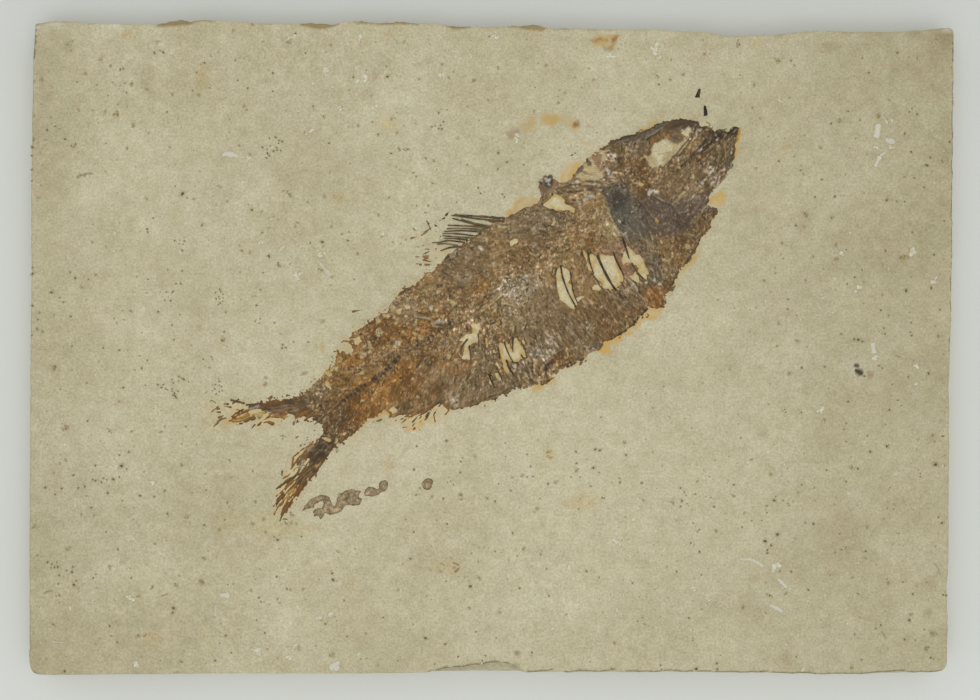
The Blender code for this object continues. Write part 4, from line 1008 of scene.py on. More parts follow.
# The film's colour from tail to head: (u, v, reach, pigment)
TONES = [
    (4, -1, 3, "bark"), (-3.5, 5.5, 3, "peat"), (-1.5, -7.5, 3, "umber"), (6, 4, 2.2, "taupe"),
    (6, -4.5, 2.6, "peat"), (9, -1.5, 2, "bark"), (13, 2.5, 3.4, "honey"), (12, -4.5, 3.2, "amber"),
    (18, -5, 3, "honey"), (21, 4, 3, "clay"), (21, 8, 2.4, "clay"), (27, 7, 2.2, "clay"),
    (32, 2, 2.4, "honey"), (25, 3, 2.2, "honey"), (22, -5, 2.6, "honey"), (19, -9.5, 2.6, "clay"),
    (24, -11.5, 2.6, "bark"), (28, -9, 3, "bark"), (29, -4, 3, "bark"), (33, -6, 2.4, "dun"),
    (31, -12, 3, "taupe"), (34, -16, 2.6, "moss"), (38, 5, 2.6, "clay"), (38, 9.5, 2.4, "tan"),
    (43, 7, 3, "moss"), (47, 2.5, 2.8, "clay"), (50, 9, 3, "moss"), (45, -3.5, 2.6, "tan"),
    (38, -12, 2.4, "moss"), (44, -7.5, 2.4, "clay"), (52, -2, 2.6, "dun"), (53, -7, 3, "taupe"),
    (49.5, -13.5, 2.4, "moss"), (51, -16.5, 2.0, "dun"), (46, -17, 2.2, "moss"), (57, -12, 3, "moss"),
    (55.5, 6, 2.4, "tan"), (58, 3, 2.4, "bark"), (48, -21, 2.2, "tan"), (53, -19.8, 1.8, "clay"),
    (62, 8, 2.6, "taupe"), (64, 3, 2.6, "moss"), (63, -0.5, 2.4, "tan"), (67, -2, 2.6, "tan"),
    (66, -10, 2.4, "tan"), (64, -16, 2.6, "bark"), (60, -19, 2.2, "moss"), (68, -19, 2.6, "bark"),
    (72, -16, 2.2, "moss"), (73, -2, 2.6, "clay"), (77.5, -3, 2.2, "dun"), (76, 3, 2.6, "tan"),
    (72, 5, 2.2, "moss"), (82, 3, 2.0, "slate"), (82, -3, 2.8, "slate"), (89, -8, 2.6, "plum"),
    (96, -2, 3.2, "moss"), (90, 3, 2.6, "bark"), (86, 8, 2.6, "moss"), (96, 9.5, 2.2, "hazel"),
    (102, 4, 2.0, "tan"), (107, -2, 3.0, "peat"), (95, -12, 2.8, "plum"), (84, -15, 2.6, "moss"),
    (78, -20, 2.4, "bark"), (80.5, -16, 1.8, "hazel"), (71.5, 12, 1.8, "taupe"), (84, 11.5, 1.8, "rose"),
    (104, 7, 2.0, "hazel"), (81, -10, 2.2, "hazel"), (76, -9, 2.0, "rose"), (90, -16, 2.0, "hazel"),
    (102, -6, 2.2, "hazel"), (111, 0, 2.0, "dark"),
]
# How strongly the film is mottled: (u, v, reach, amount)
MOTTLING = [
    (12, -4.5, 4, 0.75), (12, 2.5, 4, 0.9), (20, -6, 4, 0.95), (6, 4, 2.5, 1.3), (27, 7, 3, 1.5),
    (25, 3, 2.5, 1.6), (21, 5, 3, 1.1), (31, -12, 4, 0.8), (47, 3, 3, 0.9), (50, 9, 4, 0.8),
    (38, 1, 3, 1.2), (52, -2, 3, 1.2), (50, -16, 3, 1.2), (57, -12, 4, 0.7), (64, -17, 4, 0.7),
    (64, 3, 3, 1.1), (73, -2, 3, 0.8), (82, -1, 4, 0.6), (89, -8, 4, 0.4), (96, -2, 4, 0.7),
    (88, 7, 4, 1.2), (102, 4, 3, 1.3), (103, -5, 3, 1.25), (107, -1, 2.5, 1.0), (94, -12, 4, 0.8),
    (85, -14, 3, 1.1), (79, 6, 3, 1.2), (77, -19, 3, 0.85), (-3, 5, 4, 0.8), (-2, -7, 4, 0.7),
    (3, -1, 3, 1.1), (36, -5, 3, 1.1), (38, -13, 3, 1.0), (62, 8, 3, 0.8), (98, 9, 3, 0.7),
]


def read_washes(canvas, washes, values):
    """Each place takes the value of the washes round it, weighted by nearness."""
    total, weight = np.zeros(canvas.u.shape + values.shape[1:]), np.full(canvas.u.shape, 1e-9)
    warp_u = canvas.u + 0.9 * waves(canvas.u, canvas.v, 4, 11, 2)
    warp_v = canvas.v + 0.7 * waves(canvas.u, canvas.v, 4, 12, 2)
    for (u, v, reach, _), value in zip(washes, values):
        near = np.exp(-((warp_u - u) ** 2 + (warp_v - v) ** 2) / (2 * (reach * 0.85) ** 2)) + 1e-7
        weight += near
        total += near[..., None] * value if values.ndim > 1 else near * value
    return total / (weight[..., None] if values.ndim > 1 else weight)


def lay_of(canvas):
    """How strongly the grain runs across the belly, as in the tail's upper lobe and as in its lower lobe."""
    u, v = canvas.u, canvas.v
    belly = smooth(-v, 10, 14) * smooth(u, 38, 44) * smooth(-u, -84, -78)
    belly = np.maximum(belly, 0.5 * smooth(-v, 1, 4) * smooth(u, 44, 50) * smooth(-u, -80, -76))
    gill = 0.35 * smooth(u, 79, 81) * smooth(-u, -88, -85) * smooth(-v, -4, -2)
    upper = smooth(-u, -3, 1) * smooth(v, -1, 1)
    nape = smooth(v, 3, 6) * smooth(u, 72, 76) * smooth(-u, -92, -86)
    lower = smooth(-u, -3, 1) * smooth(-v, 1, 3)
    jaw = smooth(u, 99, 102) * smooth(-v, -3, -1)
    hind = 0.6 * smooth(-v, 3, 6) * smooth(u, 12, 16) * smooth(-u, -42, -36)
    back = 0.5 * smooth(v, 1, 3) * smooth(u, 20, 26) * smooth(-u, -72, -66)
    return np.stack([np.maximum(belly, gill), np.maximum(upper, np.maximum(nape, back)),
                     np.maximum(lower, np.maximum(jaw, hind))], -1)


def mottle(canvas, seed):
    """Flaky bone texture of spread 1, drawn out along the rays of the tail and the folds of the belly."""
    u, v = canvas.u, canvas.v

    def texture(stretch, turn):
        parts = ((0.26, 0.95), (0.48, 0.62), (1.0, 0.26), (2.2, 0.08))
        total = 0
        for size, share in parts:
            drawn = stretch if size > 0.5 else (1 + stretch) / 2
            total = total + share * waves(u, v, size, seed + int(size * 10), 1, 0.6, drawn, turn)
        return total / 1.16

    total, left = np.zeros(u.shape), np.ones(u.shape)
    lay = np.moveaxis(canvas.lay, -1, 0)
    for share, stretch, turn in zip(lay, (2.6, 3.0, 3.0), (92, 146, 30)):
        total += share * left * texture(stretch, turn)
        left = left * (1 - share)
    return total + left * texture(1.3, 8)


def lay_down_texture(canvas):
    """Mottling, flecks and rusty or grey stains over the film's ground colours."""
    canvas.lay = lay_of(canvas)
    u, v, part = canvas.u, canvas.v, (slice(None), slice(None))
    t = mottle(canvas, 100)
    t = (t + 0.22 * (t * t - 1)) * (0.25 + 0.75 * canvas.contrast)
    rear = smooth(34 - u, 0, 7) * smooth(u, 5, 10)
    cloud = 0.3 * smooth(u, 84, 92) * waves(u, v, 2.6, 173, 2)
    t = t * (1 - 0.3 * rear) + cloud + 0.6 * rear * waves(u, v, 2.1, 163, 3, 0.6)
    canvas.paint *= np.exp(0.16 * t[..., None] * np.array([1.0, 1.1, 1.55]))
    canvas.paint *= np.array([1.025, 1.005, 0.975])
    hue = waves(u, v, 1.1, 131, 3, 0.8)
    canvas.tint(part, 0.10 * smooth(hue, 0.6, 2.4) * np.clip(canvas.contrast, 0, 1), PIGMENT["rust"])
    canvas.tint(part, 0.18 * smooth(-hue, 0.7, 2.3), PIGMENT["slate"])
    for size, seed, low, high, pigment, strength in (
        (0.9, 141, 1.05, 2.2, "sand", 0.7),
        (0.55, 151, 1.6, 2.7, "white", 0.6),
        (0.7, 161, 1.1, 2.3, "ink", 0.7),
    ):
        chips = waves(u, v, size, seed, 3, 0.85)
        bar = np.clip(high - (0.55 if pigment == "sand" else 0.8) * canvas.contrast, low, high)
        share = smooth(chips - bar, 0.0, 0.3)
        if pigment == "sand":
            patches = smooth(waves(u, v, 1.7, 167, 3, 0.8) - 1.0, 0, 0.3) * rear
            patches = patches * smooth(u, 11, 15) * smooth(v, 0.5, 3)
            share = np.maximum(share * (1 - 0.5 * smooth(u, 84, 88)) * (1 - 0.5 * rear), 1.1 * patches)
        canvas.tint(part, strength * share, PIGMENT[pigment])
        canvas.lift += (-0.04 if pigment == "sand" else 0.03) * share
    canvas.lift += 0.035 * np.clip(t, -2, 3)


def crumple_way(u, v):
    """The direction in degrees of the fine creases at a place of the film."""
    if u < 2:
        return 146 if v > 0 else 28
    if u > 93 and v < -3 or u > 101:
        return 45 + 25 * math.sin(u)
    if u > 84 and v > -3:
        return math.degrees(math.atan2(v - 4.8, u - 96.0)) + 90
    if u > 78:
        return 142 if v > 4 else 95
    if v < -11 and u > 40:
        return 90
    if v < -2 and u > 42:
        return 68
    return 140 if v > -1 else 40


# The creases' pigments, each with the share of the draws at which it ends
CREASE_PIGMENTS = (("ink", 0.3), ("umber", 0.55), ("bone", 0.8), ("cream", 0.9), ("ash", 1.0))


def add_creases(canvas, count, seed):
    """Short hairline creases and splinters, dark and pale, all over the film."""
    draw = random.Random(seed)
    for _ in range(count):
        u, v = draw.uniform(-12, 113), draw.uniform(-23, 14)
        turn = math.radians(crumple_way(u, v) + draw.gauss(0, 22))
        half, bend, pick = draw.uniform(0.2, 0.85), draw.uniform(-0.22, 0.22), draw.random()
        width, strength = draw.uniform(0.10, 0.26), draw.uniform(0.35, 0.9)
        i, j = int((v - canvas.low[1]) / canvas.pitch), int((u - canvas.low[0]) / canvas.pitch)
        if canvas.field[i, j] < 0.2:
            continue
        du, dv = half * math.cos(turn), half * math.sin(turn)
        pigment = next(name for name, limit in CREASE_PIGMENTS if pick < limit)
        line = [(u - du, v - dv), (u - bend * dv, v + bend * du), (u + du, v + dv)]
        share = min(1.0, 0.35 + 0.65 * float(canvas.contrast[i, j]))
        canvas.line(line, width, pigment, strength * share, 0.03 if pick > 0.55 else -0.02, 0.3, 0.09, 0.15)


# ---- features painted on the film
AREAS = [
    # pigment, strength, softness, lift, outline
    ("slate", 0.85, 0.4, 0.22, [
        (80.6, 3.2), (82, 4.8), (84, 4.4), (85.3, 2.5), (85.8, 0), (85.4, -3), (84.8, -6), (83.4, -8.2),
        (81.5, -7.6), (80, -6.2), (78.9, -4.2), (79.4, -1.5), (80, 1),
    ]),
    ("blue", 0.45, 0.8, 0.0, [(80.4, 2), (83, 3.6), (84.4, 0), (83.4, -3), (80.4, -4.6), (79.6, -2)]),
    ("plum", 0.8, 0.6, 0.14, [
        (85, 1.0), (86.6, -1.2), (88, -1.3), (89.6, -3.8), (91, -6), (92.3, -7.6), (94.2, -9.4),
        (93, -11.3), (90, -12), (87, -10.8), (84.8, -9), (84.6, -5), (85.4, -2),
    ]),
    ("dark", 0.35, 0.9, 0.0, [(89.0, -6.6), (91.8, -8.2), (93.4, -10), (91, -11.6), (88.4, -10.4)]),
    ("moss", 0.5, 0.6, 0.16, [
        (90.9, 0.9), (94, 1.4), (98, 1.2), (100.8, -1.2), (101.3, -2.8), (99.5, -4.7), (96, -5.1),
        (92.9, -5), (90.9, -3.2), (89.7, -0.8),
    ]),
    ("hazel", 0.55, 0.5, 0.20, [
        (112.7, 0.3), (110, 0.6), (106, 0.2), (103, -1.2), (100.6, -4), (101.5, -6.6), (104.4, -6.4),
        (107.2, -5.4), (108.8, -4.1), (110.2, -2.7), (112, -1.4),
    ]),
    ("dark", 0.8, 0.25, 0.24, [
        (101.0, 0.4), (103.2, 1.0), (105, 1.9), (108, 2.3), (110.2, 1.4), (111.2, 0.9), (113, 0.4),
        (113.2, -0.3), (111.8, -0.9), (109.6, -0.5), (106, 0.1), (103, -0.2),
    ]),
    ("umber", 0.75, 0.3, 0.22, [
        (88.3, 12.6), (91, 11.9), (93.6, 11.0), (97, 10.4), (100, 10.2), (103.4, 8.7), (106, 6.2),
        (105, 6.0), (103, 7.4), (99.5, 8.5), (95, 8.9), (92, 10.2), (88, 11.9),
    ]),
    ("rust", 0.45, 0.5, 0.05, [
        (92.6, 6.4), (94.0, 7.6), (96.4, 8.5), (99.6, 8.2), (101.4, 6.6), (101.8, 4.6), (100.4, 4.4),
        (99.6, 6.2), (97.6, 7.6), (95.2, 7.4), (93.4, 6.0),
    ]),
    ("honey", 0.45, 0.6, 0.0, [
        (84.4, -9.6), (88, -11.4), (92, -12.4), (95, -10.8), (98.8, -12.2), (94.4, -15.2), (90, -17.2),
        (85, -19), (83.4, -14),
    ]),
    ("rust", 0.45, 0.6, 0.0, [
        (75.5, -19), (77.2, -18), (79.6, -18.6), (80.6, -21), (78.4, -22.6), (77, -23.3), (75.4, -21.6),
    ]),
    ("slate", 0.6, 0.5, 0.12, [
        (82.4, -12.8), (83.2, -13.8), (81.8, -16), (81.0, -18.6), (79.4, -18.9), (78.6, -17.2), (80, -14.6),
    ]),
    ("ink", 0.6, 0.3, 0.06, [(92.4, 11.6), (94.2, 11.7), (94.4, 11.0), (93.0, 10.7)]),
    ("gold", 0.85, 0.2, 0.0, [
        (94.4, 11.7), (96.4, 11.5), (98.2, 11.2), (99.8, 10.8), (98.0, 10.7), (95.6, 10.9), (94.4, 11.2),
    ]),
    ("dark", 0.6, 0.35, 0.08, [
        (101.4, 8.4), (103.6, 8.3), (105.4, 7.2), (106.4, 6.0), (104.8, 6.2), (103.0, 6.9), (101.6, 7.2),
    ]),
    ("blue", 0.6, 0.25, 0.16, [
        (104.6, 2.9), (106.4, 2.4), (109.0, 2.2), (110.9, 1.5), (110.4, 0.9), (108.4, 1.2), (106.2, 1.7),
        (104.8, 2.2),
    ]),
    ("amber", 0.5, 0.7, 0.0, [(45.2, 3.8), (48.2, 4.2), (49.6, 1.2), (47.0, 0.4), (44.8, 1.6)]),
    ("rust", 0.55, 0.5, 0.0, [(30.2, 3.0), (32.4, 3.1), (34.0, 1.2), (33.2, 0.5), (30.8, 0.8)]),
    ("rust", 0.4, 0.6, 0.0, [(28.4, 3.6), (29.8, 3.4), (29.4, 0.8), (27.6, 1.2)]),
    ("rust", 0.35, 0.8, 0.0, [(36.0, 5.4), (38.2, 5.0), (37.6, 2.4), (36.0, 2.8)]),
    ("rust", 0.35, 0.9, 0.0, [(14, -2.0), (24, -2.4), (27, -7.4), (22, -8.6), (16, -8.0)]),
    ("rust", 0.28, 0.8, 0.0, [
        (12.4, 5.0), (16, 6.6), (21, 9.8), (27, 9.8), (29.4, 6.6), (27, 3.4), (20, 4.0), (14, 3.0),
    ]),
    ("fox", 0.4, 0.6, 0.0, [(22.0, 9.6), (26.4, 10.0), (27.2, 8.2), (24.2, 6.6), (21.0, 7.6)]),
    ("plum", 0.28, 1.2, 0.0, [
        (57, 9.6), (62, 11.6), (68, 11.0), (70.4, 7.4), (69.0, 4.4), (63.6, 4.8), (58.4, 6.4),
    ]),
    ("rust", 0.35, 0.8, 0.0, [(29.6, -4.2), (35.4, -4.0), (37.4, -8.6), (34.6, -12.2), (30.0, -9.6)]),
    ("amber", 0.5, 0.9, 0.0, [(5, -5.2), (9, -3), (14.4, -2.2), (15, -7.4), (9.4, -7.8), (6, -7.6)]),
    ("rust", 0.35, 0.6, 0.0, [(26, -10.6), (27.4, -11.4), (26.2, -12.4), (24.6, -11.6)]),
    ("fox", 0.55, 0.4, 0.04, [
        (50.4, -18.9), (53.0, -18.8), (54.6, -19.4), (54.0, -21.4), (52.0, -21.0), (50.4, -20.4),
    ]),
    ("dun", 0.4, 0.6, 0.0, [(47, -5.6), (49.6, -3.8), (51.6, -5.6), (50, -9.4), (47.6, -8.8)]),
    ("ash", 0.30, 0.7, 0.0, [(50, -0.4), (53, -0.6), (58, -0.6), (58.6, -4.4), (54, -4.8), (51, -4.2)]),
    ("ash", 0.30, 0.8, 0.0, [
        (48.4, -15.2), (51, -14.8), (54, -15.2), (54.2, -18), (50.4, -18.6), (48.6, -17.6),
    ]),
    ("ash", 0.25, 0.7, 0.0, [(43.8, 7.2), (46.6, 6.8), (47.6, 5.0), (45.8, 4.4), (44.2, 5.6)]),
    ("moss", 0.4, 0.8, 0.0, [(29.0, -13.8), (36.4, -13.2), (37.0, -17.8), (32, -17.8), (28.6, -16.2)]),
    ("ash", 0.35, 0.6, 0.0, [(27.6, -14.2), (29.6, -14.0), (29.4, -15.4), (27.8, -15.6)]),
    ("ash", 0.25, 0.6, 0.0, [(64.2, 6.8), (66, 7.4), (69, 7.4), (69.2, 6.8), (66.6, 6.2), (64.4, 6.0)]),
    ("rose", 0.4, 0.6, 0.0, [(66.6, -6.4), (68.8, -6.0), (68.6, -10), (66.8, -10.4)]),
    ("rose", 0.4, 0.6, 0.0, [(75.4, -5.4), (78.2, -5.2), (77.4, -8.8), (75.6, -9.2)]),
    ("rose", 0.5, 0.4, 0.0, [(75.4, -11.2), (76.4, -10.9), (76.8, -12.6), (75.8, -13.2)]),
    ("rose", 0.5, 0.4, 0.0, [(63.4, -8.6), (64.9, -7.4), (65.0, -11.4), (63.4, -11.8)]),
    ("cream", 0.35, 0.6, 0.0, [
        (75.0, -0.8), (78.4, -0.8), (79.4, -3), (78.6, -5.4), (76, -4.8), (74.6, -3),
    ]),
    ("slate", 0.4, 0.6, 0.0, [(45.8, 12.1), (48.4, 12.2), (48.2, 10.4), (46.2, 10.2)]),
    ("amber", 0.4, 0.6, 0.0, [(71.6, -1.2), (73.6, -1.4), (73.2, -4.6), (71.4, -4.4)]),
    ("umber", 0.55, 0.35, 0.08, [(-9.0, 9.7), (-7.4, 8.9), (-7.6, 7.9), (-8.8, 8.2), (-9.6, 8.9)]),
    ("ash", 0.5, 0.3, 0.02, [(-9.4, 8.9), (-8.8, 9.3), (-8.6, 8.2), (-9.4, 8.0)]),
    ("umber", 0.6, 0.5, 0.10, [(-7, 8.2), (-3, 6.2), (0.4, 4.6), (-0.4, 3.2), (-3.4, 4.2), (-6.6, 6.2)]),
    ("dark", 0.55, 0.5, 0.10, [
        (-4.9, -9.0), (-1.6, -9.2), (0.9, -7.4), (0.2, -6.0), (-2.6, -6.1), (-5.2, -7.0),
    ]),
    ("fox", 0.5, 0.5, 0.0, [(-5.4, -4.9), (-2.0, -5.1), (0, -5.5), (-3, -6.0), (-5.4, -6.4)]),
    ("umber", 0.45, 0.6, 0.0, [(0.8, 4.2), (4.4, 3.0), (5.2, 1.8), (3.0, 1.6), (0.8, 2.6)]),
    ("umber", 0.5, 0.6, 0.05, [
        (1.6, -4.6), (4, -5.8), (7, -5.6), (9.2, -3.4), (7.6, -2.6), (4.8, -3.6), (2.6, -3.4),
    ]),
]
# Areas laid over the mottling, so they keep an even tone
CLEAR_AREAS = [
    ("sand", 0.9, 0.3, -0.05, [
        (77.9, 13.0), (78.0, 10.4), (78.6, 9.2), (80.6, 8.0), (82.4, 7.2), (83.2, 8.6), (82.8, 10.4),
        (84.6, 9.8), (85.8, 10.2), (86.4, 12.0), (85.2, 13.6), (82.8, 14.0), (80.0, 13.4),
    ]),
    ("ochre", 0.22, 0.5, 0.0, [(78.2, 10.6), (79.8, 9.0), (81.6, 8.8), (82.2, 10.4), (80.4, 11.2)]),
    ("rose", 0.9, 0.25, 0.06, [
        (82.7, 11.0), (83.0, 12.8), (84.2, 13.4), (85.0, 12.8), (85.1, 11.4), (84.2, 10.2), (83.9, 8.8),
        (83.0, 8.8),
    ]),
    ("plum", 0.85, 0.2, 0.08, [
        (78.2, 11.2), (78.6, 12.6), (79.4, 12.8), (80.4, 12.2), (80.2, 11.2), (79.2, 10.9),
    ]),
    ("umber", 0.85, 0.2, 0.10, [
        (81.1, 12.3), (81.6, 13.0), (82.1, 12.9), (82.2, 11.6), (81.8, 11.1), (81.3, 11.6),
    ]),
    ("umber", 0.85, 0.25, 0.10, [
        (85.1, 13.2), (85.4, 13.8), (86.2, 13.0), (86.6, 12.2), (86.0, 11.8), (85.4, 12.4),
    ]),
    ("moss", 0.5, 0.4, 0.05, [(84.4, 9.8), (85.8, 9.8), (86.6, 9.0), (86.6, 7.4), (84.6, 7.6)]),
    ("ash", 0.7, 0.3, 0.03, [(76.3, 5.9), (77.6, 6.2), (79.0, 5.8), (78.6, 5.0), (77.0, 4.9)]),
    ("ash", 0.5, 0.4, 0.0, [(75.4, 11.4), (76.2, 12.0), (77.0, 11.6), (77.0, 10.6), (75.8, 10.6)]),
    # the eye socket, floored with pale stone, and the gap in front of it
    ("sand", 0.92, 0.18, -0.16, [
        (92.3, 4.2), (92.9, 5.0), (93.8, 5.3), (94.1, 6.1), (94.8, 6.8), (95.7, 7.2), (97.6, 7.2),
        (98.9, 7.0), (99.1, 6.0), (99.4, 5.1), (100.3, 4.5), (101.3, 4.2), (101.5, 3.6), (100.0, 3.1),
        (98.6, 2.8), (97.0, 2.4), (95.8, 2.0), (94.6, 2.1), (93.6, 2.5), (92.5, 3.2),
    ]),
    ("chalk", 0.85, 0.3, 0.02, [
        (94.0, 3.4), (94.3, 5.9), (95.0, 6.7), (96.2, 7.0), (98.4, 6.8), (98.8, 5.6), (98.4, 4.2),
        (98.0, 3.9), (96.4, 4.2), (95.4, 3.6), (94.8, 2.5), (94.0, 2.6),
    ]),
    ("tan", 0.22, 0.3, 0.0, [(95.6, 3.7), (97.4, 3.8), (98.6, 3.4), (97.6, 2.7), (96.0, 2.4), (95.4, 2.8)]),
    ("clay", 0.6, 0.3, 0.08, [
        (98.6, 7.2), (99.0, 5.6), (99.8, 4.4), (100.2, 4.5), (99.6, 5.6), (99.6, 6.8),
    ]),
    ("plum", 0.85, 0.3, 0.10, [
        (99.5, 6.4), (99.6, 5.4), (100.4, 4.5), (101.1, 4.5), (101.1, 5.6), (100.6, 6.5),
    ]),
    ("hazel", 0.7, 0.35, 0.08, [
        (101.1, 4.4), (101.0, 6.6), (99.8, 7.2), (101.6, 7.6), (103.6, 6.8), (102.4, 6.3), (101.8, 5.4),
        (102.3, 4.5),
    ]),
    ("chalk", 0.95, 0.15, -0.10, [
        (101.9, 6.0), (102.6, 6.2), (103.7, 6.1), (104.3, 5.6), (104.2, 5.0), (103.2, 4.9), (102.6, 4.5),
        (102.2, 5.1),
    ]),
    ("rust", 0.55, 0.3, 0.05, [
        (94.6, 7.2), (95.2, 8.0), (96.4, 8.3), (98.4, 8.2), (99.4, 7.3), (97.6, 7.5), (95.6, 7.5),
    ]),
    ("umber", 0.8, 0.4, 0.08, [
        (99.4, 7.4), (99.2, 8.6), (101.4, 9.4), (103.4, 8.6), (105.2, 7.0), (106.2, 6.0), (104.8, 6.3),
        (103.4, 7.0), (101.4, 7.8),
    ]),
    ("slate", 0.6, 0.3, 0.10, [
        (90.6, 11.2), (93.0, 10.3), (94.6, 9.2), (97.2, 9.0), (99.4, 8.8), (101.4, 9.6), (99.6, 10.2),
        (96.4, 10.2), (93.6, 10.8), (91.2, 11.6),
    ]),
    ("plum", 0.7, 0.4, 0.06, [
        (88.6, 12.2), (91.0, 11.0), (93.2, 9.8), (94.6, 9.6), (93.4, 10.6), (91.6, 11.6), (89.6, 12.6),
    ]),
    ("hazel", 0.6, 0.5, 0.05, [
        (91.2, 8.9), (92.6, 9.2), (94.8, 8.8), (94.4, 7.8), (93.2, 6.6), (91.6, 6.8), (90.6, 8.0),
    ]),
    # the patchy film over the tail stalk
    ("dun", 0.55, 0.5, 0.0, [
        (28.0, 9.0), (31.0, 9.4), (33.2, 8.0), (34.4, 6.8), (32.4, 5.8), (29.4, 5.4), (27.8, 6.8),
    ]),
    # the round nodule on the nape
    ("rose", 0.75, 0.3, 0.0, [
        (69.6, 12.6), (70.2, 14.0), (71.6, 14.8), (73.0, 14.2), (73.7, 12.8), (73.2, 11.4), (71.6, 10.9),
        (70.2, 11.4),
    ]),
    ("plum", 0.6, 0.3, 0.0, [
        (69.8, 12.8), (70.6, 14.2), (72.0, 14.6), (73.2, 13.6), (73.0, 12.2), (71.6, 11.6), (70.4, 11.8),
    ]),
    ("ink", 0.75, 0.25, 0.0, [
        (71.2, 12.9), (71.6, 13.9), (72.6, 14.0), (73.1, 13.2), (72.5, 12.4), (71.7, 12.3),
    ]),
    ("white", 0.72, 0.2, 0.02, [
        (86.4, 10.9), (86.6, 11.5), (87.1, 11.0), (87.6, 9.8), (87.2, 9.6), (86.7, 10.2),
    ]),
    ("white", 0.6, 0.15, 0.02, [(84.0, 9.0), (84.3, 9.2), (84.4, 7.6), (84.0, 7.3)]),
    ("ink", 0.5, 0.7, 0.0, [
        (80.9, 3.0), (82.6, 4.2), (84.2, 3.0), (84.2, 0.4), (82.6, -0.8), (80.4, -0.4),
    ]),
]
